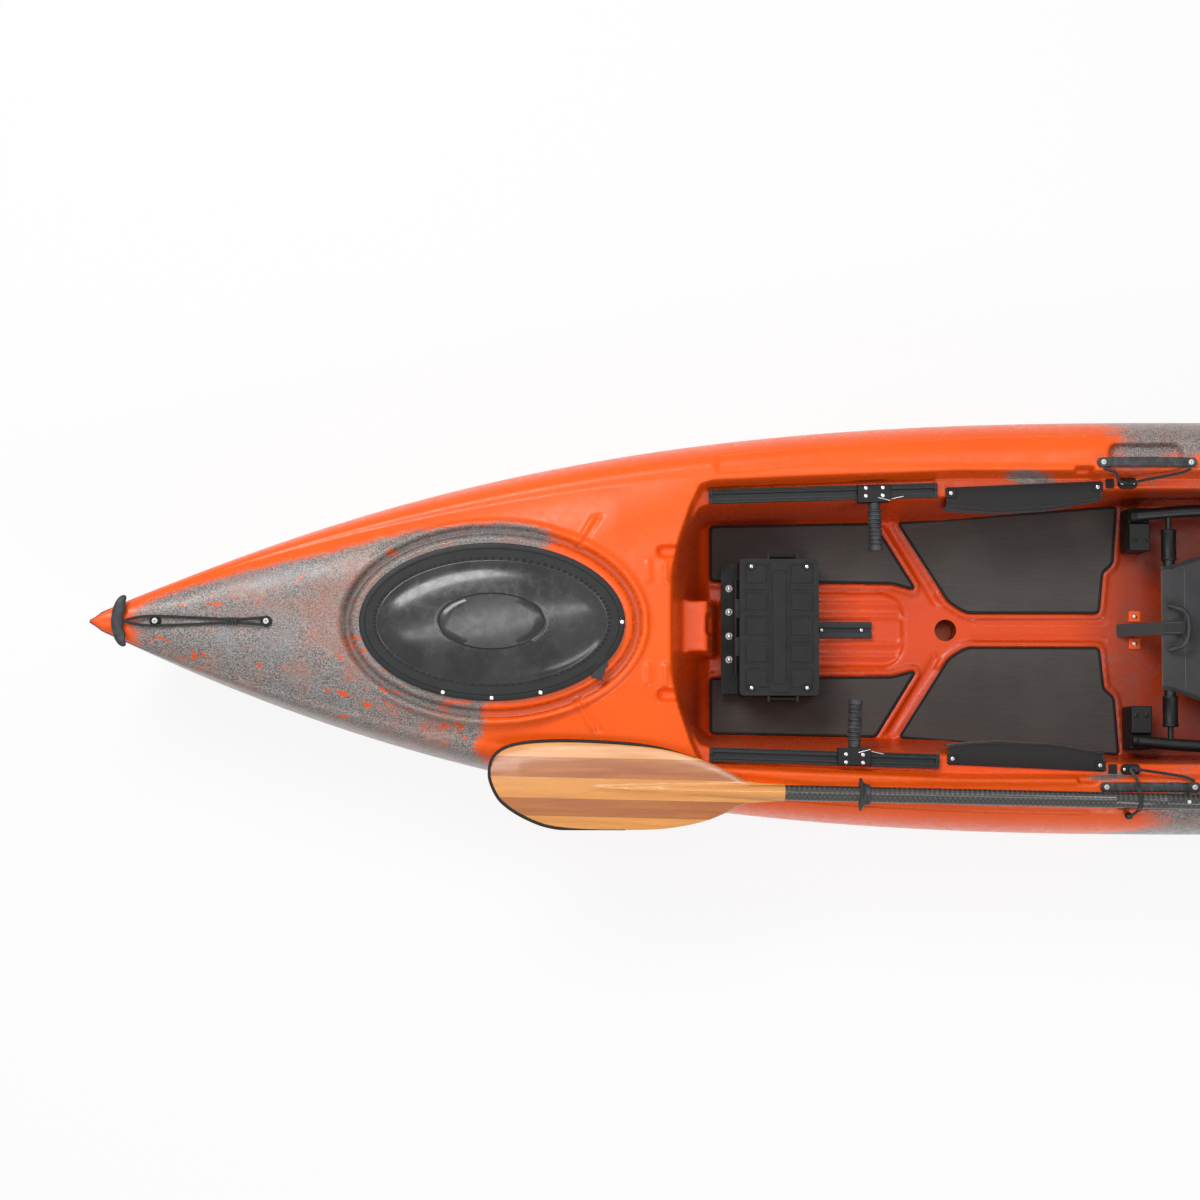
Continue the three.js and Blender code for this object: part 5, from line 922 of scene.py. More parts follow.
def side_vectors(points, closed=False):
    """Two side vectors at each point of a path, carried along it without twist."""
    if closed:
        tangent = np.roll(points, -1, 0) - np.roll(points, 1, 0)
    else:
        tangent = np.gradient(points, axis=0)
    tangent /= np.linalg.norm(tangent, axis=1)[:, None]
    first = np.cross(tangent[0], (0, 0, 1))
    if np.linalg.norm(first) < 0.01:
        first = np.cross(tangent[0], (0, 1, 0))
    side = [first / np.linalg.norm(first)]
    for along in tangent[1:]:
        moved = side[-1] - along * np.dot(side[-1], along)
        side.append(moved / np.linalg.norm(moved))
    side = np.array(side)
    return side, np.cross(side, tangent)


def bar(name, points, radius, slot, body, sides=12, replaces=(), closed=False, flat=1.0, material=None):
    """A round or flattened bar along a path; radius may change from point to point."""
    points = np.asarray(points, float)
    side, up = side_vectors(points, closed)
    turn = circle(sides)
    radii = np.broadcast_to(radius, len(points))[:, None, None]
    ring = np.cos(turn)[None, :, None] * side[:, None] + flat * np.sin(turn)[None, :, None] * up[:, None]
    verts = (points[:, None] + radii * ring).reshape(-1, 3)
    if closed:
        faces = grid_faces(len(points) + 1, sides, True) % len(verts)
    else:
        faces = tube_faces(len(points), sides)
    return piece(name, verts, faces, slot, body, replaces, material=material)


def towards(place, normal=UP, spin=0.0):
    """A matrix that puts local Z along a normal at a place."""
    turn = Vector(normal).to_track_quat("Z", "Y").to_matrix().to_4x4()
    return Matrix.Translation(place) @ turn @ Matrix.Rotation(spin, 4, "Z")


def turned(name, profile, matrix, slot, body, sides=32, replaces=()):
    """A profile of (radius, height) points turned round local Z."""
    turns = [(math.cos(t), math.sin(t)) for t in circle(sides)]
    verts = [matrix @ Vector((r * c, r * s, h)) for r, h in profile for c, s in turns]
    return piece(name, verts, grid_faces(len(profile), sides, True), slot, body, replaces)


def block(name, middle, size, slot, body, bevel=0.001, segments=3):
    """A block with rounded edges round its middle."""
    bm = bmesh.new()
    bmesh.ops.create_cube(bm, size=1.0)
    bmesh.ops.scale(bm, vec=size, verts=bm.verts)
    bmesh.ops.translate(bm, vec=middle, verts=bm.verts)
    bmesh.ops.bevel(bm, geom=bm.edges[:], offset=bevel, segments=segments, profile=0.5, affect="EDGES")
    return from_bmesh(name, bm, slot, body)


def from_bmesh(name, bm, slot, body, replaces=(), material=None):
    mesh = bpy.data.meshes.new(name)
    bm.to_mesh(mesh)
    bm.free()
    mesh.polygons.foreach_set("use_smooth", [True] * len(mesh.polygons))
    made = registered(name, mesh, slot, body, replaces, material)
    made.modifiers.new("normals", "WEIGHTED_NORMAL")
    return made


def softened(node, width=0.0015, segments=2, edge=None):
    """A copy of a CAD node with its sharp edges rounded; edge is a material for the rounding."""
    bm = bmesh.new()
    bm.from_mesh(nodes[node].data)
    bmesh.ops.remove_doubles(bm, verts=bm.verts, dist=CAD_WELD)
    bmesh.ops.dissolve_limit(bm, angle_limit=math.radians(2), verts=bm.verts, edges=bm.edges)
    made = from_bmesh(f"{node}_form", bm, slot_of[node], body_of[node], [node])
    made.modifiers.clear()
    rounding = made.modifiers.new("edges", "BEVEL")
    rounding.width = width
    rounding.segments = segments
    rounding.limit_method = "ANGLE"
    rounding.angle_limit = math.radians(32)
    if edge:
        made.data.materials.append(edge)
        rounding.material = 1
    made.modifiers.new("normals", "WEIGHTED_NORMAL")
    return made


# A domed head from its middle outward: shares of its radius and of its height.
HEAD_SHARES = (0.0, 0.2, 0.4, 0.52, 0.6, 0.8, 0.93, 1.0, 1.0)
HEAD_RISES = (1.0, 1.0, 0.98, 0.95, 0.93, 0.8, 0.55, 0.3, 0.0)


def recess_depth(recess, share, turn):
    """How deep a cross or hexagon recess is at a place on a head, as a share of its height."""
    if recess == "cross" and share < 0.55:
        return 0.7 * (abs(math.sin(2 * turn)) * share < 0.16)
    return 0.8 if recess == "hex" and share < 0.45 else 0.0


def fasteners(name, places, body, radius=0.005, height=0.0025, slot="steel", recess="cross"):
    """Upright screw or bolt heads, one at each place, as one piece."""
    sides = 36
    verts, faces = [], []
    for place in places:
        base = len(verts)
        matrix = towards(place, spin=0.4 + 1.7 * base)
        for share, rise in zip(HEAD_SHARES, HEAD_RISES):
            for i in range(sides):
                turn = 2 * math.pi * i / sides
                out = radius * share
                top = height * (rise - recess_depth(recess, share, turn))
                verts.append(matrix @ Vector((out * math.cos(turn), out * math.sin(turn), top)))
        faces.extend(grid_faces(len(HEAD_SHARES), sides, True) + base)
    return piece(name, verts, faces, slot, body)


def on_deck(x, y):
    return float(deck_z(np.array([float(x)]), np.array([float(y)]))[0])


def middle_of(node):
    return [(low + high) / 2 for low, high in zip(*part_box(node))]


def outer_face(box, side):
    """The Y of a box's face away from the middle line."""
    return box[1][1] if side > 0 else box[0][1]


# Pieces of the ends: grips, cords, knots and eyes. Distances from_tip, eye, knot and anchor run inward
# from the boat's tip.
TOGGLE = Sizes(
    from_tip=0.074, span=0.104, width=0.024, height=0.018, bow=0.012, wave=0.0014, eye=0.138, anchor=0.362,
    cord=0.003, spread=0.010, close=0.0036, knot=0.295, knot_radius=0.008, loop=0.0078, rise=0.0055,
)
EYE_PROFILE = [
    (0.0, 0.0), (0.0115, 0.0), (0.0118, 0.0012), (0.0108, 0.0022), (0.004, 0.0026), (0.004, 0.0085),
    (0.0068, 0.0088), (0.0071, 0.0098), (0.006, 0.0105), (0.0, 0.0106),
]


def inward(end):
    """A function that places points by their distance from a tip of the boat."""
    return lambda from_tip, y, z: (end * (HALF_LENGTH - from_tip), y, z)


def end_grip(name, at, centre_z):
    """Rounded grip, bowed outward and waved where the fingers lie."""
    t = TOGGLE
    rings, sides = 49, 24
    verts = []
    for along in np.linspace(-1, 1, rings):
        full = max(0.16, math.sqrt(max(0.0, 1 - abs(along) ** 5)))
        x = t.from_tip - t.bow * math.cos(along * math.pi / 2)
        for turn in circle(sides):
            c, s = math.cos(turn), math.sin(turn)
            squared = (abs(c) ** 4 + abs(s) ** 4) ** -0.25
            reach = t.width / 2 * full * c * min(squared, 1.08)
            finger = t.wave * math.cos(along * math.pi * 4) * c if reach > 0 else 0.0
            lift = t.height / 2 * full * s * min(squared, 1.04) * 0.96
            verts.append(at(x + reach + finger, along * t.span / 2, centre_z + lift))
    faces = tube_faces(rings, sides)
    piece(f"{name}_grip", verts, faces, "rubber", f"{name}_handle", [f"{name}_handle_grip"])


def end_leader(name, at, centre_z):
    """The cord that runs from the front eye to the grip and back."""
    t = TOGGLE
    low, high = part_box(f"{name}_handle_leader")
    top, hinge = high[2] - t.cord, low[2] + t.cord
    bend = t.from_tip - t.bow + t.width / 2 + t.cord + 0.0012
    foot = (t.eye + 0.002, t.spread, hinge)
    leg = ((bend + t.eye) / 2, t.spread * 0.8, top)
    path = [foot, leg, (bend, 0, centre_z), (leg[0], -leg[1], leg[2]), (foot[0], -foot[1], foot[2])]
    leader = curve_points([at(*point) for point in path], 12)
    bar(f"{name}_leader", leader, t.cord, "cord", f"{name}_handle", 16, [f"{name}_handle_leader"])


def end_cord(name, at, near_z, far_z):
    """The deck cord: two strands from the front eye, a knot round them and a loop at the rear eye."""
    t = TOGGLE
    knot_z = on_deck(at(t.knot, 0, 0)[0], 0) + t.knot_radius
    for side_name, side in SIDES:
        strand = [
            (t.eye + 0.001, t.spread, near_z),
            ((t.eye + t.knot) / 2, (t.spread + t.close) / 2, max(near_z, knot_z) - 0.001),
            (t.knot - 0.014, t.close, knot_z), (t.knot + 0.016, t.close, knot_z),
            (t.anchor - 0.022, 0.006, (knot_z + far_z) / 2), (t.anchor, t.loop, far_z),
        ]
        path = curve_points([at(x, side * y, z) for x, y, z in strand], 10)
        replaces = [f"{name}_handle_cord"] if side > 0 else ()
        bar(f"{name}_cord_{side_name}", path, t.cord, "cord", "hull", 16, replaces)
    loop = [
        at(t.anchor + t.loop * math.cos(a), t.loop * math.sin(a), far_z)
        for a in np.linspace(math.pi / 2, -math.pi / 2, 16)
    ]
    bar(f"{name}_cord_end_loop", loop, t.cord, "cord", "hull", 16)
    turns = [
        at(t.knot - 0.012 + 0.0245 * s, 0.0056 * math.cos(a), knot_z + 0.0046 * math.sin(a))
        for s, a in zip(np.linspace(0, 1, 90), np.linspace(0, 8.4 * math.pi, 90))
    ]
    bar(f"{name}_knot", turns, 0.0028, "cord", "hull", 12)


def end_handle(name, end):
    t = TOGGLE
    at = inward(end)
    centre_z = middle_of(f"{name}_handle_grip")[2]
    eye_z = {part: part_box(f"{name}_eye_{part}")[0][2] for part in ("front", "rear")}
    end_grip(name, at, centre_z)
    end_leader(name, at, centre_z)
    end_cord(name, at, eye_z["front"] + t.rise, eye_z["rear"] + t.rise)
    for part, from_tip in (("front", t.eye), ("rear", t.anchor)):
        foot = at(from_tip, 0, eye_z[part])
        turned(f"{name}_fitting_{part}", EYE_PROFILE, towards(foot), "black_plastic", "hull", 24,
               [f"{name}_eye_{part}"])
        head = (foot[0], 0.0, foot[2] + 0.0098)
        fasteners(f"{name}_screw_{part}", [head], "hull", 0.0058, 0.0022, "white_plastic")


# The bow hatch, whose flange is FLANGE thick. Each row of the lid is an oval: how far it lies inside the
# edge, its height above the flange, and how far every other pair of its points is raised, which makes the
# ring of ticks.
FLANGE = 0.006
LID_EDGE = [
    (0.012, -FLANGE, 0), (0.001, -FLANGE, 0), (0.0, 0.001 - FLANGE, 0), (0.0, -0.0018, 0),
    (0.0006, -0.0006, 0), (0.002, 0.0, 0), (0.0105, 0.0, 0), (0.0112, -0.0008, 0), (0.0122, -0.0008, 0),
    (0.0129, 0.0, 0), (0.021, 0.0, 0), (0.0285, 0.0, 0), (0.0288, 0.0, 0.0012), (0.0345, 0.0, 0.0012),
    (0.0348, 0.0, 0),
]
# The dome with the ring pressed into it: shares of its half widths and of its rise, and its sink.
DOME_EDGE = 0.036
DOME = [
    (1.0, 0.0, 0), (0.988, 0.05, 0), (0.97, 0.14, 0), (0.94, 0.26, 0), (0.89, 0.4, 0), (0.83, 0.53, 0),
    (0.75, 0.66, 0), (0.66, 0.77, 0), (0.57, 0.85, 0), (0.5, 0.9, 0), (0.462, 0.922, 0),
    (0.455, 0.924, -0.0009), (0.449, 0.926, -0.0009), (0.442, 0.93, 0), (0.36, 0.958, 0), (0.27, 0.978, 0),
    (0.18, 0.991, 0), (0.09, 0.998, 0), (0.01, 1.0, 0),
]
# Rows of faces in the flange's black, and those of the ticks and of the pressed ring, whose low faces get a
# darker black as painted shade.
FLANGE_ROWS, TICK_FACES, RING_FACES = 14, (11, 12), (25, 26)


def hatch_lid(under, top):
    sides = 384
    flange = under + FLANGE
    rise = top - flange - 0.0015
    rows = [(HATCH.a - by, HATCH.b - by, flange + z, tick) for by, z, tick in LID_EDGE]
    dome_a, dome_b = HATCH.a - DOME_EDGE, HATCH.b - DOME_EDGE
    rows += [(dome_a * s, dome_b * s, flange + rise * up + sink, 0) for s, up, sink in DOME]
    verts = [
        (HATCH.x + a * math.cos(turn), b * math.sin(turn), z + (tick if i % 4 < 2 else 0.0))
        for a, b, z, tick in rows for i, turn in enumerate(circle(sides))
    ]
    faces = [*grid_faces(len(rows), sides, True), range(len(verts) - sides, len(verts))]
    lid = piece("hatch_cover", verts, faces, "hatch_plastic", "hatch_lid", ["hatch_lid"])
    lid.data.materials.append(moulded_black("hatch_flange", (24, 25, 26), 0.46))
    # Painted shade: a darker, rougher black in the gaps between the ticks and in the pressed ring.
    lid.data.materials.append(moulded_black("hatch_gap_shade", (16, 16, 17), 0.6))
    for polygon in lid.data.polygons:
        row, place = divmod(polygon.index, sides)
        if row in TICK_FACES and place % 4 >= 2 or row in RING_FACES:
            polygon.material_index = 2
        elif row < FLANGE_ROWS:
            polygon.material_index = 1


def hatch_tab(under):
    """Pull tab on the lid's edge, with a waved outer side."""
    turn = math.radians(-35)
    place = (HATCH.x + HATCH.a * math.cos(turn), HATCH.b * math.sin(turn), under + 0.0008)
    matrix = Matrix.Translation(place) @ Matrix.Rotation(turn - math.pi / 2 + 0.28, 4, "Z")
    lobes = [((s - 0.5) * 0.05, 0.0105 + 0.0013 * math.cos(s * 6 * math.pi)) for s in np.linspace(0, 1, 49)]
    outline = lobes + [(along, -0.012) for along, _ in reversed(lobes)]
    verts = [
        matrix @ Vector((u * share_u, v * share_v, z))
        for z, share_u, share_v in ((0.0, 1, 1), (0.0038, 1, 1), (0.0048, 0.96, 0.92)) for u, v in outline
    ]
    piece("hatch_pull_tab", verts, tube_faces(3, len(outline)), "black_plastic", "hatch_lid",
          smooth_shade=False, material=moulded_black("pull_tab", (46, 47, 49), 0.5))


def hatch():
    (_, _, under), (_, _, top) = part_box("hatch_lid")
    hatch_lid(under, top)
    hatch_tab(under)
    a, b = HATCH.a - 0.006, HATCH.b - 0.006
    turns = [math.radians(d) for d in (0, -112, -90, -68)]
    rivets = [(HATCH.x + a * math.cos(t), b * math.sin(t), under + FLANGE) for t in turns]
    fasteners("hatch_rivets", rivets, "hatch_lid", 0.0042, 0.0014, recess="none")
    softened("hatch_rim", 0.001)


# Floor fittings.
def floor_pads():
    edge = moulded_black("pad_edge", (20, 19, 19), 0.7)
    for place in ("front", "rear"):
        for side, _ in SIDES:
            node = f"floor_pad_{place}_{side}"
            pad = softened(node, 0.0028, edge=edge)
            outline = PAD_OUTLINES[node]
            middle = (outline[0] + outline[-1]) / 2
            path = bent_points([middle, *outline, middle], 0.004, 4)[:-1]
            bar(f"pad_edge_{place}_{side}", path, 0.0027, "pad_foam", "hull", 8, closed=True, flat=0.5,
                material=edge)


# Foot rails lean from the middle line; their end bolts and the carriages' bolts sit either side of a middle.
RAIL = Sizes(lean=math.radians(1.67), bolt=0.2329, carriage_bolt=0.0175, carriage_rows=0.0165, edge=0.0075)
PEG = Sizes(length=0.1, first_rib=0.014, ribs=9, pitch=0.0082)
PEG_RIB = [
    (0.0128, 0.0), (0.0148, 0.0014), (0.015, 0.0032), (0.0147, 0.0046), (0.0124, 0.006), (0.0124, 0.0078),
]


def track_and_rails():
    softened("centre_track", 0.0008)
    low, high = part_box("centre_track")
    screws = [(x, 0, high[2] - 0.0022) for x in (low[0] + 0.02, -0.625, high[0] - 0.022)]
    fasteners("track_screws", screws, "hull", 0.0042, 0.0024)
    for name, side in SIDES:
        softened(f"foot_rail_{name}", 0.0011)
        lean = side * RAIL.lean
        x, y, _ = middle_of(f"foot_rail_{name}")
        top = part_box(f"foot_rail_{name}")[1][2] - 0.0002
        along, across = RAIL.bolt * math.cos(lean), RAIL.bolt * math.sin(lean)
        ends = [(x + end * along, y + end * across, top) for end in (-1, 1)]
        fasteners(f"rail_bolts_{name}", ends, "hull", 0.0026, 0.0014, "black_aluminium", "hex")
        softened(f"foot_carriage_{name}", 0.0012)
        foot_peg(name, side, lean)
        carriage_fittings(name, side, lean)


def foot_peg(name, side, lean):
    """Ribbed rubber peg."""
    profile = [(0.0, 0.0), (0.0115, 0.0), (0.0125, 0.001), (0.0125, 0.014)]
    for i in range(PEG.ribs):
        profile += [(r, PEG.first_rib + i * PEG.pitch + h) for r, h in PEG_RIB]
    profile += [(0.015, 0.0895), (0.015, 0.098), (0.0143, 0.0995), (0.0125, PEG.length), (0.0, PEG.length)]
    outward = Vector((math.sin(lean) * side, -side * math.cos(lean), 0))
    start = Vector(middle_of(f"foot_peg_{name}")) - outward * PEG.length / 2
    place = towards(start, outward)
    turned(f"peg_{name}", profile, place, "rubber", f"brace_{name}", replaces=[f"foot_peg_{name}"])


def carriage_fittings(name, side, lean):
    """Four bolts of the carriage's plate, and the release wire along the rail."""
    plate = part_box(f"foot_carriage_{name}")
    middle, top = middle_of(f"foot_carriage_{name}")[0], plate[1][2]
    outer = outer_face(plate, side) - side * RAIL.edge
    inner = outer - side * RAIL.carriage_rows
    heads = [
        (middle + dx, y + math.sin(lean) * dx, top - 0.0002)
        for dx in (-RAIL.carriage_bolt, RAIL.carriage_bolt) for y in (outer, inner)
    ]
    fasteners(f"carriage_bolts_{name}", heads, f"brace_{name}", 0.0045, 0.0026, recess="hex")
    route = [
        (0.008, 0.004, 0.0), (0.024, 0.008, 0.001), (0.032, 0.010, 0.0), (0.037, 0.006, -0.004),
        (0.06, 0.001, -0.0055),
    ]
    wire = curve_points([(middle + x, inner - side * y, top + 0.0012 + z) for x, y, z in route], 10)
    bar(f"release_wire_{name}", wire, 0.0011, "steel", f"brace_{name}", 10)


# The tackle box: place of its lid's pattern, which is a band across the middle and two columns of tiles.
BOX = Sizes(
    x=-0.723, length=0.286, shift=0.007, margin=0.007, tiles=5, tile=(0.043, 0.036, 0.0019), column=0.0475,
    band_x=0.0145, band_y=0.118, boss_x=0.058, boss_y=0.127,
)
WASHER_PROFILE = [
    (0.0042, 0.0), (0.0072, 0.0), (0.0074, 0.0009), (0.0062, 0.0015), (0.0042, 0.0013), (0.0042, 0.0),
]
BOSS_PROFILE = [
    (0.0045, 0.0), (0.0092, 0.0), (0.0095, 0.001), (0.0085, 0.0024), (0.0055, 0.0024), (0.0045, 0.0012),
    (0.0045, 0.0),
]


def tackle_box():
    for node in ("tackle_box_base", "tackle_box_lid"):
        softened(node, 0.0016, 3)
    softened("tackle_box_foot", 0.0012)
    for name, side in SIDES:
        softened(f"tackle_box_latch_{name}", 0.0016, 3)
        low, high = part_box(f"tackle_box_latch_{name}")
        x, face = (low[0] + high[0]) / 2, outer_face((low, high), side)
        for i in range(3):
            z = low[2] + 0.00925 + i * 0.006
            block(f"latch_rib_{name}_{i + 1}", (x, face, z), (high[0] - low[0] - 0.016, 0.0024, 0.0025),
                  "black_plastic", f"latch_{name}", 0.0007)
    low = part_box("tackle_box_base")[0]
    ledge = [(low[0] + 0.017, y, low[2] + 0.006) for y in (0.086, 0.036, -0.015, -0.065)]
    for i, place in enumerate(ledge):
        turned(f"ledge_washer_{i + 1}", WASHER_PROFILE, towards(place), "white_plastic", "hull", 28)
    bolts = [(x, y, z + 0.0012) for x, y, z in ledge]
    fasteners("ledge_bolts", bolts, "hull", 0.0045, 0.0032, recess="hex")
    box_lid_pattern(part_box("tackle_box_lid")[1][2])


def box_lid_pattern(high):
    b = BOX
    top = high - 0.003
    corners = [(-b.boss_x, b.boss_y), (b.boss_x, b.boss_y), (-b.boss_x, -b.boss_y),
               (b.boss_x, -b.boss_y)]
    for i, (x, y) in enumerate(corners):
        turned(f"lid_boss_{i + 1}", BOSS_PROFILE, towards((b.x + x, y, top - 0.0012)), "black_plastic",
               "box_lid", 28)
        fasteners(f"lid_boss_screw_{i + 1}", [(b.x + x, y, top - 0.001)], "box_lid", 0.004, 0.0016)
    fore, aft, half = b.x - b.band_x, b.x + b.band_x, b.band_y
    band = [(fore, 0), (fore, half), (aft, half), (aft, -half), (fore, -half), (fore, -0.0001)]
    outline = bent_points([(x, y, high) for x, y in band], 0.005)
    bar("lid_band_bead", outline[:-1], 0.0009, "black_plastic", "box_lid", 8, closed=True)
    pitch = (b.length - 2 * b.margin) / b.tiles
    for column, side in ((-1, "bow"), (1, "aft")):
        for row in range(b.tiles):
            y = b.shift - b.length / 2 + (row + 0.5) * pitch + (0.001 if (row + column) % 2 else -0.001)
            block(f"lid_tile_{side}_{row + 1}", (b.x + column * b.column, y, top - 0.00135), b.tile,
                  "black_plastic", "box_lid", segments=2)


# Cockpit sides: pouches, handles and keepers.
POUCH = Sizes(
    columns=61, rows=25, hem_rows=6, binding_row=9, drop=0.115, bulge=0.026, hem=0.027, flat=(0.33, 0.16),
)


def well_half(x, column):
    """Half width of the cockpit well at a place, from one of its columns of shares."""
    return table(WELL_SHARES, column, (x - WELL.front) / WELL.length) * HALF_BEAM


def pouch_grid(low, high, side):
    """Points of a pouch: a hem that lies on the ledge, then a bag that hangs down the well's wall."""
    p = POUCH
    verts = []
    for u in np.linspace(0, 1, p.columns):
        x = low[0] + u * (high[0] - low[0])
        full = float(np.interp(u, [0, 0.15, 0.5, 0.8, 1], [0.35, 0.75, 1, 0.8, 0.35]))
        bulge = p.bulge * full * (0.94 + 0.06 * math.cos(u * 6 * math.pi))
        wall = well_half(x, 3) - 0.007
        lean = (wall + 0.007 - well_half(x, 2)) / (WELL.ledge - WELL.floor)
        drop = p.drop * (0.5 + 0.5 * full)
        top = WELL.ledge + 0.0003
        for v in np.linspace(0, 1, p.rows):
            if v < 0.25:
                s = v / 0.25
                y = wall + p.hem * (1 - s) - bulge * 0.7 * s
                z = top + 0.004 - 0.0012 * (2 * s - 1) ** 2
            else:
                s = (v - 0.25) / 0.75
                out = math.sin(math.pi * min(1.0, 0.35 + 0.62 * s)) ** 0.8
                y = wall - lean * drop * s - bulge * max(out, 0.98 * (1 - s))
                z = top + 0.0035 - (drop + 0.003) * s
            verts.append((x, side * y, z))
    return verts


def pouches():
    """Mesh pouches with a black band along the top and screwed ends."""
    p = POUCH
    for name, side in SIDES:
        low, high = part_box(f"side_pouch_{name}")
        verts = pouch_grid(low, high, side)
        bag = piece(f"pouch_{name}", verts, grid_faces(p.columns, p.rows), "pouch_mesh", "hull",
                    [f"side_pouch_{name}"])
        bag.data.materials.append(finishes["cord"])
        for polygon in bag.data.polygons:
            if polygon.index % (p.rows - 1) < p.hem_rows:
                polygon.material_index = 1
        bag.modifiers.new("thickness", "SOLIDIFY").thickness = 0.0018
        grid = np.array(verts).reshape(p.columns, p.rows, 3)
        bar(f"pouch_elastic_{name}", grid[:, p.hem_rows], 0.0024, "cord", "hull", 10)
        bar(f"pouch_binding_{name}", grid[:, p.binding_row], 0.0012, "cord", "hull", 8)
        heads = []
        for part, x in (("bow", low[0] + 0.008), ("aft", high[0] - 0.008)):
            y = side * (float(well_half(x, 3)) + 0.008)
            block(f"pouch_tab_{name}_{part}", (x, y, 0.2855), (0.022, 0.020, 0.0026), "black_plastic", "hull")
            heads.append((x, y, 0.2866))
        fasteners(f"pouch_screws_{name}", heads, "hull", 0.0046, 0.0022)


# The side handles' outline, as distance from the middle and rise.
HANDLE_HALF = 0.1015
HANDLE_RISE = [
    (HANDLE_HALF, 0), (0.088, 0), (0.078, 0.001), (0.066, 0.0085), (0.05, 0.010),
]


def side_handles():
    outline = [(-x, z) for x, z in HANDLE_RISE] + HANDLE_RISE[::-1]
    sides = 20
    for name, _ in SIDES:
        y = middle_of(f"side_handle_{name}")[1]
        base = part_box(f"side_handle_{name}")[0][2]
        path = curve_points([(HANDLE_X + x, y, base + z + 0.0045) for x, z in outline], 8)
        verts = []
        for x, middle, z in path:
            share = min(1.0, (HANDLE_HALF - abs(x - HANDLE_X)) / 0.008 + 0.45)
            for turn in circle(sides):
                c, s = math.cos(turn), math.sin(turn)
                wide = 0.0098 * share * math.copysign(abs(c) ** 0.55, c)
                verts.append((x, middle + wide, z + 0.0044 * math.copysign(abs(s) ** 0.7, s)))
        piece(f"carry_handle_{name}", verts, tube_faces(len(path), sides), "rubber", "hull",
              [f"side_handle_{name}"])
        heads = [(HANDLE_X + end * (HANDLE_HALF - 0.012), y, base + 0.0088) for end in (-1, 1)]
        fasteners(f"handle_screws_{name}", heads, "hull", 0.0056, 0.0036, "white_plastic")
        for i in range(7):
            place = (HANDLE_X + (i - 3) * 0.012, y, base + 0.01885)
            rib = f"handle_grip_rib_{name}_{i + 1}"
            block(rib, place, (0.0036, 0.017, 0.0013), "rubber", "hull", 0.0006, segments=2)


# Bungee keepers: the hook's middle, the cord's line beside the handle, and the port cord's toggle.
KEEPER = Sizes(
    x=HANDLE_X - 0.028, beside=0.3187, cord=0.003, toggle=(HANDLE_X - 0.044, -0.390, 0.338), round=0.020,
)
TOGGLE_PROFILE = [
    (0.0, 0.0), (0.0062, 0.0), (0.007, 0.001), (0.007, 0.006), (0.0058, 0.008), (0.0058, 0.013),
    (0.007, 0.0155), (0.0066, 0.0185), (0.0045, 0.02), (0.0, 0.02),
]


def keepers():
    """Hooks under short straps, and the bungee cords that hold the paddle."""
    x, beside = KEEPER.x, KEEPER.beside
    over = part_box("keeper_hook_starboard")[1][2] + 0.005
    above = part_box("side_handle_port")[1][2] + 0.004

    def leg(end, side):
        return [
            (HANDLE_X + end * 0.0895, side * beside, 0.354),
            (HANDLE_X + end * 0.0644, side * (beside - 0.009), 0.351),
            (x + end * 0.0248, side * 0.298, (0.348 + over) / 2 - 0.003),
        ]

    starboard = [*leg(-1, 1), (x, 0.295, over), *leg(1, 1)[::-1]]
    round_shaft = arc((PADDLE.y, middle_of("paddle_shaft_rear")[2]), KEEPER.round, range(40, 191, 25))
    toggle_x, toggle_y, toggle_z = KEEPER.toggle
    port = [
        *leg(1, -1), (x, -0.295, over), (x - 0.003, 0.003 - beside, above - 0.003),
        (x - 0.003, -0.332, above + 0.003), *((x, y, z) for y, z in round_shaft),
        (toggle_x, toggle_y, toggle_z + 0.026), (toggle_x, toggle_y, toggle_z + 0.019),
    ]
    for name, route, steps in (("starboard", starboard, 14), ("port", port, 12)):
        bar(f"keeper_cord_{name}", curve_points(route, steps), KEEPER.cord, "cord", "hull", 14,
            [f"keeper_bungee_{name}"])
    turned("keeper_end", TOGGLE_PROFILE, towards(KEEPER.toggle), "black_plastic", "hull", 24)
    for name, side in SIDES:
        softened(f"keeper_hook_{name}", 0.0022, 3)
        y = middle_of(f"keeper_hook_{name}")[1] + side * 0.001
        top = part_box(f"keeper_hook_{name}")[1][2] - 0.0002
        screws = [(x + dx, y, top) for dx in (-0.0125, 0.0125)]
        fasteners(f"keeper_hook_screws_{name}", screws, "hull", 0.0036, 0.0018)
        strap = [(x - 0.036, side * (0.285 + 0.004 * i), 0.2818 + 0.0004 * math.sin(i)) for i in range(6)]
        bar(f"keeper_strap_{name}", strap, 0.009, "cord", "hull", 12, flat=0.14)


# Paddle: its own axis runs from bow to stern and a little towards port.
PADDLE = Sizes(
    x=-0.002, y=-0.359, yaw=math.radians(-1.19), half=1.32, blade=0.599, width=0.185, shaft=0.016, ring=0.75,
    spine_end=0.72, gap=0.0003, edging=0.0034,
)
PADDLE_ROOT = PADDLE.half - PADDLE.blade
# A blade's outline, as shares of its length and of its width.
BLADE_SHARES = [
    (0, 0.09), (0.122, 0.114), (0.19, 0.218), (0.292, 0.349), (0.461, 0.475), (0.715, 0.514), (0.898, 0.473),
    (0.98, 0.352), (1, 0.132), (0.976, -0.086), (0.936, -0.222), (0.868, -0.347), (0.793, -0.428),
    (0.698, -0.45), (0.461, -0.437), (0.349, -0.393), (0.258, -0.319), (0.19, -0.223), (0.122, -0.129),
    (0, -0.09),
]
BLADE_EDGE = curve_points([(u, v, 0) for u, v in BLADE_SHARES], 12)


def paddle_matrix():
    place = (PADDLE.x, PADDLE.y, middle_of("paddle_shaft_rear")[2])
    return Matrix.Translation(place) @ Matrix.Rotation(PADDLE.yaw, 4, "Z")


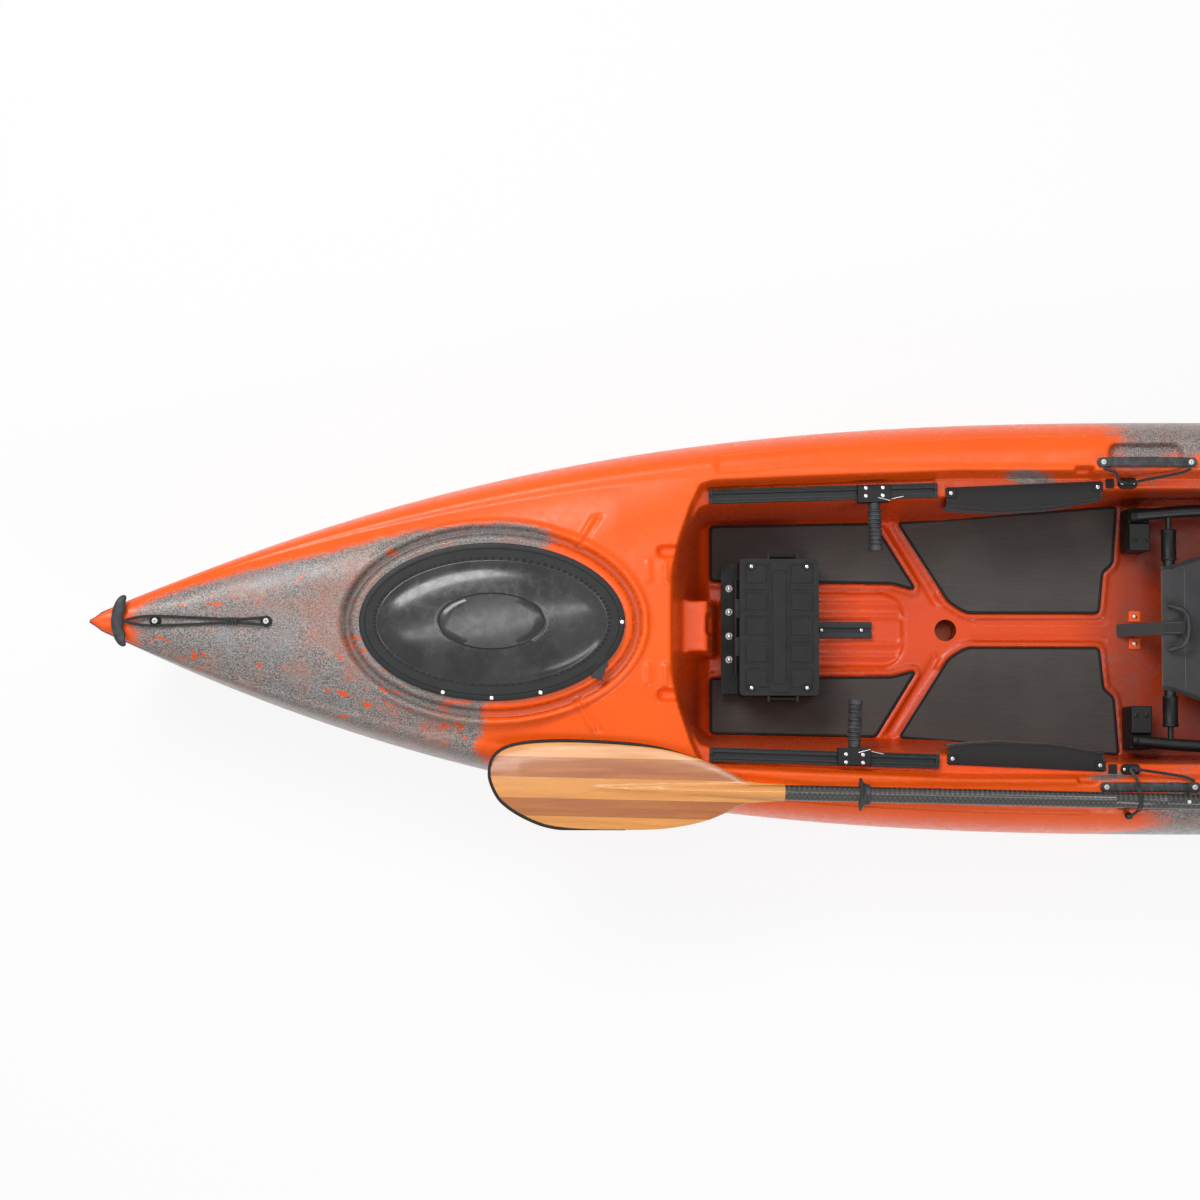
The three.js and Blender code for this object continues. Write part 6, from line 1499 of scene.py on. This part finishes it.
def blade_surface(end, matrix):
    """Both faces of a blade, swollen along its middle where the shaft runs into it, and their joined root."""
    tip = int(np.argmax(BLADE_EDGE[:, 0]))
    upper, lower = BLADE_EDGE[:tip + 1, :2], BLADE_EDGE[tip:, :2][::-1]
    along = 1 - np.linspace(1, 0, 91) ** 1.6
    columns = 61
    verts = []
    for layer in (1, -1):
        for s in along:
            top, bottom = (np.interp(s, edge[:, 0], edge[:, 1]) * PADDLE.width for edge in (upper, lower))
            spine = PADDLE.shaft + (0.003 - PADDLE.shaft) * min(1.0, s / PADDLE.spine_end)
            for t in -np.cos(np.linspace(0, math.pi, columns)):
                y = (top + bottom) / 2 + (top - bottom) / 2 * t
                edge = math.sqrt(max(0.0, 1 - t**8))
                z = (0.0016 + 0.0022 * (1 - t * t)) * edge * (1 - 0.5 * max(0.0, s - 0.9) / 0.1)
                if s < PADDLE.spine_end and abs(y) < spine:
                    z = max(z, math.sqrt(spine**2 - y**2))
                verts.append(matrix @ Vector((end * (PADDLE_ROOT + s * PADDLE.blade), y, layer * z)))
    size = len(along) * columns
    sheet = grid_faces(len(along), columns)
    root = [(j, j + 1, j + 1 + size, j + size) for j in range(columns - 1)]
    return verts, [*sheet, *(sheet + size), *root]


def paddle_blade(name, end):
    matrix = paddle_matrix()
    made = piece(f"blade_{name}", *blade_surface(end, matrix), "wood", "hull", [f"paddle_blade_{name}"])
    weld(made, 0.00001)
    x, y, z = read(made, "co")
    local = np.array(matrix.inverted()) @ np.stack([x, y, z, np.ones(len(x))])
    store(made, "across", local[1])

    count = len(BLADE_EDGE)
    tip = [p for i, p in enumerate(BLADE_EDGE) if 0.16 * count < i < 0.72 * count]
    edge = [
        matrix @ Vector((end * (PADDLE_ROOT + s * PADDLE.blade), v * PADDLE.width, 0)) for s, v, _ in tip
    ]
    from_end = np.minimum(np.arange(len(edge)), np.arange(len(edge))[::-1])
    taper = np.clip(from_end / 14, 0.25, 1) * PADDLE.edging
    bar(f"blade_edging_{name}", edge, taper, "black_plastic", "hull", 10)


def weld(made, distance):
    bm = bmesh.new()
    bm.from_mesh(made.data)
    bmesh.ops.remove_doubles(bm, verts=bm.verts, dist=distance)
    bmesh.ops.recalc_face_normals(bm, faces=bm.faces)
    bm.to_mesh(made.data)
    bm.free()


def paddle():
    matrix = paddle_matrix()
    r, length = PADDLE.shaft, PADDLE_ROOT - 2 * PADDLE.gap
    shaft = [
        (0.0, 0.0), (r - 0.0012, 0.0), (r, 0.0012), (r, 0.05), (r + 0.0001, 0.0502), (r + 0.0001, 0.0538),
        (r, 0.054), (r, length - 0.03), (r - 0.0004, length - 0.0296), (r - 0.0004, length), (0.0, length),
    ]
    inner = r + 0.0003
    ring = [
        (inner, 0.0), (0.0325, 0.0), (0.034, 0.0012), (0.0338, 0.003), (0.031, 0.0045), (0.0245, 0.0075),
        (0.0212, 0.0115), (0.0205, 0.0135), (0.0212, 0.0145), (0.0212, 0.019), (0.0202, 0.021),
        (0.0185, 0.022), (inner, 0.022), (inner, 0.0),
    ]
    for name, end in (("rear", 1), ("front", -1)):
        paddle_blade(name, end)
        outward, inward_turn = (Matrix.Rotation(sign * math.pi / 2, 4, "Y") for sign in (end, -end))
        place = matrix @ Matrix.Translation((end * PADDLE.gap, 0, 0)) @ outward
        turned(f"shaft_{name}", shaft, place, "carbon", "hull", 48, [f"paddle_shaft_{name}"])
        place = matrix @ Matrix.Translation((end * (PADDLE.half - PADDLE.ring), 0, 0)) @ inward_turn
        turned(f"drip_ring_{name}", ring, place, "rubber", "hull", 48, [f"paddle_drip_ring_{name}"])
    button = [(0.0, 0.0), (0.004, 0.0), (0.004, 0.0105), (0.0034, 0.0117), (0.0018, 0.012), (0.0, 0.012)]
    x, y, _ = middle_of("paddle_button")
    foot = (x, y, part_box("paddle_button")[0][2])
    turned("shaft_button", button, towards(foot), "white_plastic", "paddle_button", 28, ["paddle_button"])


# Seat. The hoop's tube lies at height in front and at rear_height behind, and the cross tube at cross.
SEAT = Sizes(
    front=0.016, kink=0.15, rear=0.48, tube=0.0125, height=0.196, rear_height=0.1832, cross=0.096,
    half_front=0.236, half=0.248, pivot=0.38, pivot_height=0.18708, lean=math.radians(15.0), back=0.44,
    leg=0.2215, back_tube=0.011,
)
CAP_PROFILE = [
    (0.0, 0.0), (0.0095, 0.0), (0.0122, 0.0012), (0.0132, 0.0035), (0.0132, 0.012), (0.0126, 0.013),
    (0.0126, 0.014), (0.0, 0.014),
]
SLEEVE_PROFILE = [
    (0.0128, 0.0), (0.0152, 0.0), (0.0165, 0.0014), (0.0165, 0.008), (0.0156, 0.0092), (0.0156, 0.058),
    (0.0165, 0.0592), (0.0165, 0.0634), (0.0155, 0.0648), (0.0128, 0.0648),
]
LUG_PROFILE = [(0.0, 0.0), (0.006, 0.0), (0.006, 0.036), (0.0, 0.036)]
PIN_PROFILE = [
    (0.0, 0.0), (0.005, 0.0), (0.005, 0.032), (0.0085, 0.0325), (0.009, 0.034), (0.0075, 0.0365),
    (0.0, 0.037),
]
CROSS_PROFILE = [(0.0, 0.0), (0.0115, 0.0), (0.0125, 0.001), (0.0125, 0.399), (0.0115, 0.4), (0.0, 0.4)]
PIVOT_EYE_PROFILE = [
    (0.0058, -0.008), (0.013, -0.008), (0.015, -0.0065), (0.015, 0.0065), (0.013, 0.008), (0.0058, 0.008),
    (0.0058, -0.008),
]


def seat_frame_tubes():
    s = SEAT
    half_hoop = [
        (s.front, s.half_front, s.height), (s.kink, s.half, s.height),
        (s.rear, s.half, s.rear_height),
    ]
    hoop = half_hoop + [(x, -y, z) for x, y, z in reversed(half_hoop)]
    bar("seat_hoop", bent_points(hoop, 0.07, 12), s.tube, "black_aluminium", "seat", 24, ["seat_frame"])
    for name, side in SIDES:
        fittings = (
            ("hoop_cap", CAP_PROFILE, (s.front - 0.001, side * s.half_front, s.height), (1, 0, 0),
             "black_plastic", 32),
            ("cross_sleeve", SLEEVE_PROFILE, (s.cross, side * 0.207, s.height), (0, -side, 0),
             "black_plastic", 32),
            ("cross_lug", LUG_PROFILE, (s.cross, side * 0.2, s.height), (0, side, 0), "black_aluminium", 20),
            ("back_pin", PIN_PROFILE, (s.pivot, side * 0.24, s.pivot_height), (0, -side, 0), "steel", 24),
        )
        for part, profile, place, normal, slot, sides in fittings:
            turned(f"{part}_{name}", profile, towards(place, normal), slot, "seat", sides)
    place = towards((s.cross, -0.2, s.height), (0, 1, 0))
    turned("seat_cross_tube", CROSS_PROFILE, place, "black_aluminium", "seat", 32)


def thickened(sheet, thickness):
    thick = sheet.modifiers.new("thickness", "SOLIDIFY")
    thick.thickness = thickness
    thick.offset = 0


SLING = Sizes(
    wrap=0.0152, sag=0.012, dish=0.004, columns=49, thickness=0.0022, flat_width=0.38, mean_width=0.33,
)


def sling_profile():
    """The sling's line from the cross tube to the rear tube, wrapped round both, as (x, z, share)."""
    s, wrap = SEAT, SLING.wrap
    front = arc((s.cross, s.height), wrap, 180 - np.linspace(-70, 90, 22))
    rear = arc((s.rear, s.rear_height), wrap, np.linspace(90, -70, 22))
    span = []
    for t in np.linspace(0, 1, 60)[1:-1]:
        line = s.height + (s.rear_height - s.height) * t
        lift = wrap * (max(0, 1 - t / 0.2) ** 2 + max(0, 1 - (1 - t) / 0.2) ** 2)
        x = s.cross + (s.rear - s.cross) * t
        span.append((x, line + lift - SLING.sag * math.sin(math.pi * t), t))
    return [*((x, z, 0.0) for x, z in front), *span, *((x, z, 1.0) for x, z in rear)]


def seat_sling():
    """Woven sheet from the cross tube to the rear tube, with wrapped ends and bound edges."""
    path = sling_profile()
    columns = SLING.columns
    verts = []
    for x, z, t in path:
        half = float(np.interp(t, [0, 0.5, 1], [0.126, 0.19, 0.16]))
        dish = SLING.dish * min(1.0, 6 * min(t, 1 - t))
        verts += [(x, v * half, z - dish * (1 - v * v)) for v in np.linspace(-1, 1, columns)]
    sheet = piece("sling_sheet", verts, grid_faces(len(path), columns), "seat_fabric", "seat", ["seat_sling"])
    thickened(sheet, SLING.thickness)
    grid = np.array(verts).reshape(len(path), columns, 3)
    for name, column in (("starboard", columns - 1), ("port", 0)):
        bar(f"sling_binding_{name}", grid[8:-8, column], 0.0044, "cord", "seat", 12, flat=0.55)
    for name, row in (("front", 26), ("rear", len(path) - 27)):
        stitches(f"sling_seam_{name}", grid[row, 2:-2] + np.array([0, 0, 0.0012]))


def stitches(name, line, pitch=0.0042, thread=0.0004):
    """A row of short thread loops along a line of the seat."""
    steps = np.r_[0, np.cumsum(np.linalg.norm(np.diff(line, axis=0), axis=1))]
    verts, faces = [], []
    for i in range(int(steps[-1] / pitch)):
        places = [(i + share) * pitch for share in (0.15, 0.5, 0.85)]
        middle = np.array([[np.interp(place, steps, line[:, k]) for k in range(3)] for place in places])
        middle[1, 2] += thread
        base = len(verts)
        for point, a, b in zip(middle, *side_vectors(middle)):
            verts += [point + thread * (math.cos(turn) * a + math.sin(turn) * b) for turn in circle(6)]
        faces += [[v + base for v in face] for face in tube_faces(3, 6)]
    return piece(name, verts, faces, "cord", "seat", material=finishes["thread"])


BACK = Sizes(half=0.21, low=0.06, inset=0.0115, corner=0.055, belly=0.006, lumbar=0.004, points=61)


def on_back(height, y, out=0.0):
    """A place on the leaning seat back, from its height up the back and its distance forward of it."""
    s = SEAT
    return (s.pivot + height * math.sin(s.lean) - out * math.cos(s.lean), y,
            s.pivot_height + height * math.cos(s.lean) + out * math.sin(s.lean))


def seat_back():
    s, leg = SEAT, SEAT.leg
    hoop = [on_back(0.009, leg), on_back(s.back, leg), on_back(s.back, -leg), on_back(0.009, -leg)]
    bar("back_tube", bent_points(hoop, 0.08, 14), s.back_tube, "black_aluminium", "seat_back", 24,
        ["seat_back_frame"])
    for name, side in SIDES:
        place = towards((s.pivot, side * leg, s.pivot_height), (0, 1, 0))
        turned(f"back_eye_{name}", PIVOT_EYE_PROFILE, place, "black_plastic", "seat_back", 32)
    low, high = BACK.low, s.back - BACK.inset
    verts = []
    for v in np.linspace(0, 1, BACK.points):
        height = low + (high - low) * v
        near = max(0.0, BACK.corner - (height - low), BACK.corner - (high - height))
        wide = BACK.half - BACK.corner + math.sqrt(max(0.0, BACK.corner ** 2 - near**2))
        swell = BACK.belly * math.sin(math.pi * v) + BACK.lumbar * math.exp(-((v - 0.25) / 0.12) ** 2)
        verts += [on_back(height, u * wide, -swell * (1 - u * u)) for u in np.linspace(-1, 1, BACK.points)]
    faces = grid_faces(BACK.points, BACK.points)
    sheet = piece("back_sheet", verts, faces, "seat_fabric", "seat_back", ["seat_back_panel"])
    thickened(sheet, 0.003)
    grid = np.array(verts).reshape(BACK.points, BACK.points, 3)
    edge = np.vstack([grid[:, -1], grid[::-1, 0]])
    keep = [edge[0]]
    for point in edge[1:]:
        if np.linalg.norm(point - keep[-1]) > 0.001:
            keep.append(point)
    bar("back_binding", keep, 0.0058, "cord", "seat_back", 12, closed=True, flat=0.6)
    for name, side in SIDES:
        for i, height in enumerate((0.12, 0.22, 0.32, 0.40)):
            lifts = [0.0042 + 0.009 * math.sin(math.pi * min(1, max(0, k - 2) / 8)) for k in range(10)]
            tab = [on_back(height, side * (0.196 + 0.0042 * k), lift) for k, lift in enumerate(lifts)]
            bar(f"back_tab_{name}_{i + 1}", tab, 0.0105, "cord", "seat_back", 12, flat=0.14)


def saddles():
    for name, side in SIDES:
        softened(f"seat_saddle_{name}", 0.0035, 3)
        low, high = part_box(f"seat_saddle_{name}")
        y = (low[1] + high[1]) / 2 - side * 0.026
        heads = [(x, y, high[2] - 0.0003) for x in (low[0] + 0.011, high[0] - 0.011)]
        fasteners(f"saddle_screws_{name}", heads, "hull", 0.005, 0.0026, "black_aluminium")


# The hold-down strap: its section, round the middle, as shares of half its width and half its thickness.
STRAP_SECTION = [
    (-1, 0.1), (-0.96, 0.5), (-0.8, 0.8), (0, 1), (0.8, 0.8), (0.96, 0.5), (1, 0.1), (0.96, -0.5), (0, -0.7),
    (-0.96, -0.5),
]
STRAP = Sizes(width=0.027, thick=0.003, screw_x=0.043, pads=(("starboard", 0.03), ("port", -0.028)))


def strap_band(path):
    """A flat strap along a path whose width lies along Y."""
    run = np.gradient(path, axis=0)
    lift = np.stack([-run[:, 2], np.zeros(len(path)), run[:, 0]], -1)
    lift *= np.sign(lift[:, 2] + 1e-6)[:, None] / np.linalg.norm(lift, axis=1)[:, None]
    section = np.array(STRAP_SECTION)[None, :, :, None]
    across = section[:, :, 0] * np.array([0, STRAP.width / 2, 0])
    rise = section[:, :, 1] * lift[:, None] * STRAP.thick / 2
    verts = (path[:, None] + across + rise).reshape(-1, 3)
    piece("hold_down_strap", verts, tube_faces(len(path), len(STRAP_SECTION)), "cord", "seat", ["seat_strap"],
          material=finishes["webbing"])


def seat_strap():
    """Webbing from the floor over the cross tube, with its stitching, screws and pull loop."""
    s = SEAT
    radius = s.tube + 1.5 * STRAP.thick
    over = arc((s.cross, s.height), radius + 0.0015, range(160, 59, -10))
    tongue = [(s.cross + 0.02, s.height + radius + 0.001), (0.13, s.height + radius + 0.0005)]
    route = [(0.007, 0.0918), (0.012, 0.10), *over, *tongue]
    path = curve_points([(x, 0, z) for x, z in route], 5)
    strap_band(path)
    for name, side in SIDES:
        stitches(f"strap_stitch_{name}", path[12:-4] + np.array([0, side * 0.0105, 0.0016]))
    loop_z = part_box("seat_strap")[1][2] - 0.005
    loop = [(0.088, 0.047), (0.1232, 0.0343), (0.132, 0), (0.1232, -0.0343), (0.088, -0.047)]
    bar("pull_loop", curve_points([(x, y, loop_z) for x, y in loop], 14), 0.005, "rubber", "seat", 20)
    for name, y in STRAP.pads:
        place, size = (STRAP.screw_x, y, 0.09185), (0.026, 0.024, 0.0033)
        block(f"strap_pad_{name}", place, size, "deck_plastic", "hull", 0.0028)
    screws = [(STRAP.screw_x, y, 0.0934) for _, y in STRAP.pads]
    fasteners("strap_screws", screws, "hull", 0.0052, 0.0026)


# Fittings behind the seat and through the hull.
ROD = Sizes(
    x=0.655, y=0.3, lean=math.radians(20), bore=0.021, wall=0.0025, flange=0.005, depth=0.2, screws=0.0288,
)
# Outer rings of a rod holder's flange, as (radius, drop), and depths of the rings of its bore.
ROD_FLANGE = [
    (0.033, ROD.flange), (0.033, 0.0018), (0.0322, 0.0005), (0.0305, 0.0), (0.0265, 0.0), (0.0245, 0.0006),
]
ROD_DEPTHS = (0.0035, 0.01, 0.06, 0.12, ROD.depth)


def rod_holders():
    x, lean, bore, sides = ROD.x, ROD.lean, ROD.bore, 64
    rings = [(0.0, r, r, drop) for r, drop in ROD_FLANGE]
    rings += [(-depth * math.tan(lean), bore / math.cos(lean), bore, depth) for depth in ROD_DEPTHS]
    for name, side in SIDES:
        y, top = side * ROD.y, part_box(f"rod_holder_{name}")[1][2]
        verts = [
            (x + shift + a * math.cos(t), y + b * math.sin(t), top - drop)
            for shift, a, b, drop in rings for t in circle(sides)
        ]
        faces = [*grid_faces(len(rings), sides, True), range(len(verts) - sides, len(verts))]
        piece(f"rod_cup_{name}", verts, faces, "black_plastic", "hull", [f"rod_holder_{name}"])
        low = top - ROD.flange
        outer = [(x - 0.003 * math.tan(lean), y, low), (x - 0.2 * math.tan(lean), y, low - 0.197)]
        bar(f"rod_tube_{name}", outer, bore + ROD.wall, "black_plastic", "hull", 40)
        heads = [(hx, hy, top - 0.0003) for hx, hy in arc((x, y), ROD.screws, (90, 210, 330))]
        fasteners(f"rod_cup_screws_{name}", heads, "hull", 0.0032, 0.0016)


LACING = Sizes(eyes=8, front=0.07, aft=0.13, outside=0.016, cord=0.003, turn=0.018, clear=0.0065)


def lacing():
    """Eyes and cord of the tank well."""
    c = LACING
    places = []
    for i, from_front in enumerate(np.linspace(c.front, TANK.length - c.aft, c.eyes)):
        rim = float(table(TANK_SHARES, 5, from_front / TANK.length)) * HALF_BEAM
        places.append((TANK.front + from_front, (1 if i % 2 == 0 else -1) * (rim + c.outside)))
    points = [
        (x + dx, y, on_deck(x, y) + c.clear) for x, y in places for dx in (-c.turn, c.turn)
    ]
    bar("lacing_cord", bent_points(points, c.turn, 8), c.cord, "cord", "hull", 14, ["tank_lacing"])
    turns = np.linspace(-0.15, math.pi + 0.15, 22)
    for i, (x, y) in enumerate(places):
        z = on_deck(x, y)
        arch = [(x, y + 0.013 * math.cos(a), z - 0.002 + 0.0165 * math.sin(a)) for a in turns]
        bar(f"lacing_eye_{i + 1}", arch, 0.003, "black_plastic", "hull", 12)
        block(f"lacing_base_{i + 1}", (x, y, z + 0.00065), (0.012, 0.038, 0.0023), "black_plastic", "hull")


PLUG_PROFILE = [
    (0.0, -0.019), (0.0075, -0.019), (0.009, -0.0175), (0.009, 0.0), (0.017, 0.0), (0.017, 0.005),
    (0.0163, 0.0064), (0.0145, 0.007), (0.0, 0.007),
]


def drain_plug():
    x, y, _ = middle_of("drain_plug")
    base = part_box("drain_plug")[1][2] - 0.011
    place = towards((x, y, base))
    turned("plug_body", PLUG_PROFILE, place, "black_plastic", "drain_plug", 48, ["drain_plug"])
    block("plug_grip", (x, y, base + 0.0084), (0.025, 0.0044, 0.0048), "black_plastic", "drain_plug", 0.0012)


def scupper_tubes():
    r, flare, shade = SCUPPER_RADIUS, 0.0008, 1.3
    for i, (x, y) in enumerate(SCUPPERS):
        top = on_deck(x, y + 0.032)
        bottom = float(keel_z(np.array([x]))[0])
        profile = [(r + flare, top + 0.0002), (r, top - 0.002)]
        profile += [(r, bottom + 0.002), (r + flare, bottom - 0.0002)]
        tube = turned(f"scupper_tube_{i + 1}", profile, towards((x, y, 0)), "deck_plastic", "hull", 40)
        # Painted shade: the shade value darkens the tubes' insides.
        store(tube, "shade", np.full(len(tube.data.vertices), shade))


deck_skin()
hull_skin()
for end_name, end_sign in ENDS:
    end_handle(end_name, end_sign)
for build in (hatch, floor_pads, track_and_rails, tackle_box, pouches, side_handles, keepers, paddle,
              seat_frame_tubes, seat_sling, seat_back, saddles, seat_strap, rod_holders, lacing, drain_plug,
              scupper_tubes):
    build()

for name, node in nodes.items():
    node.data.materials.clear()
    node.data.materials.append(finishes[slot_of[name]])


# Light and floor.
BACKGROUND_LIGHT = 0.26
# How much of the floor seen directly is plain white; the rest shows the boat's shadow.
FLOOR_GLOW = 0.88
FLOOR_GREY = (0.85, 0.85, 0.85, 1)
WHITE = (1, 1, 1, 1)


def area_light(name, place, target, size, power):
    data = bpy.data.lights.new(name, "AREA")
    data.shape = "RECTANGLE"
    data.size, data.size_y = size
    data.energy = power
    made = bpy.data.objects.new(name, data)
    made.location = place
    made.rotation_euler = (Vector(target) - Vector(place)).to_track_quat("-Z", "Y").to_euler()
    bpy.context.scene.collection.objects.link(made)


def combined(tree, operation, a, b):
    """Two values, sockets or numbers, joined by a maths node."""
    made = tree.nodes.new("ShaderNodeMath")
    made.operation = operation
    for value, socket in zip((a, b), made.inputs):
        if isinstance(value, bpy.types.NodeSocket):
            tree.links.new(value, socket)
        else:
            socket.default_value = value
    return made.outputs["Value"]


def seen_directly(tree):
    """1 for rays that show the background: the camera's, reflections and rays through glass."""
    path = tree.nodes.new("ShaderNodeLightPath").outputs
    either = combined(tree, "MAXIMUM", path["Is Camera Ray"], path["Is Glossy Ray"])
    return combined(tree, "MAXIMUM", either, path["Is Transmission Ray"])


def blended(tree, share, first, second, output):
    """Sends a mix of two shaders to an output."""
    mixed = tree.nodes.new("ShaderNodeMixShader")
    for index, socket in enumerate((share, first.outputs[0], second.outputs[0])):
        tree.links.new(socket, mixed.inputs[index])
    tree.links.new(mixed.outputs[0], tree.nodes[output].inputs["Surface"])


def world_light():
    world = bpy.data.worlds.new("studio")
    world.use_nodes = True
    bpy.context.scene.world = world
    tree = world.node_tree
    light, white = tree.nodes["Background"], tree.nodes.new("ShaderNodeBackground")
    for node, strength in ((light, BACKGROUND_LIGHT), (white, 1.0)):
        node.inputs["Color"].default_value = WHITE
        node.inputs["Strength"].default_value = strength
    blended(tree, seen_directly(tree), light, white, "World Output")


def floor(reach=40.0):
    mesh = bpy.data.meshes.new("floor")
    corners = [(x * reach, y * reach, 0) for x, y in ((-1, -1), (1, -1), (1, 1), (-1, 1))]
    mesh.from_pydata(corners, [], [(0, 1, 2, 3)])
    made = bpy.data.objects.new("floor", mesh)
    made.location.z = cad_box[0][2] - 0.0005
    bpy.context.scene.collection.objects.link(made)
    material = bpy.data.materials.new("floor")
    material.use_nodes = True
    tree = material.node_tree
    matte, glow = tree.nodes["Principled BSDF"], tree.nodes.new("ShaderNodeEmission")
    matte.inputs["Base Color"].default_value = FLOOR_GREY
    matte.inputs["Roughness"].default_value = 0.9
    share = combined(tree, "MULTIPLY", seen_directly(tree), FLOOR_GLOW)
    blended(tree, share, matte, glow, "Material Output")
    mesh.materials.append(material)


world_light()
floor()
area_light("key", (-2.6, 2.6, 4.4), (-0.6, 0, 0.2), (3.2, 1.2), 175)
area_light("fill", (1.5, -3.2, 3.6), (-0.2, 0, 0.2), (3.0, 1.2), 70)
area_light("strip", (-1.2, 0.4, 5.4), (-1.0, 0, 0.2), (5.5, 0.5), 60)

bpy.context.scene.view_settings.view_transform = "Standard"
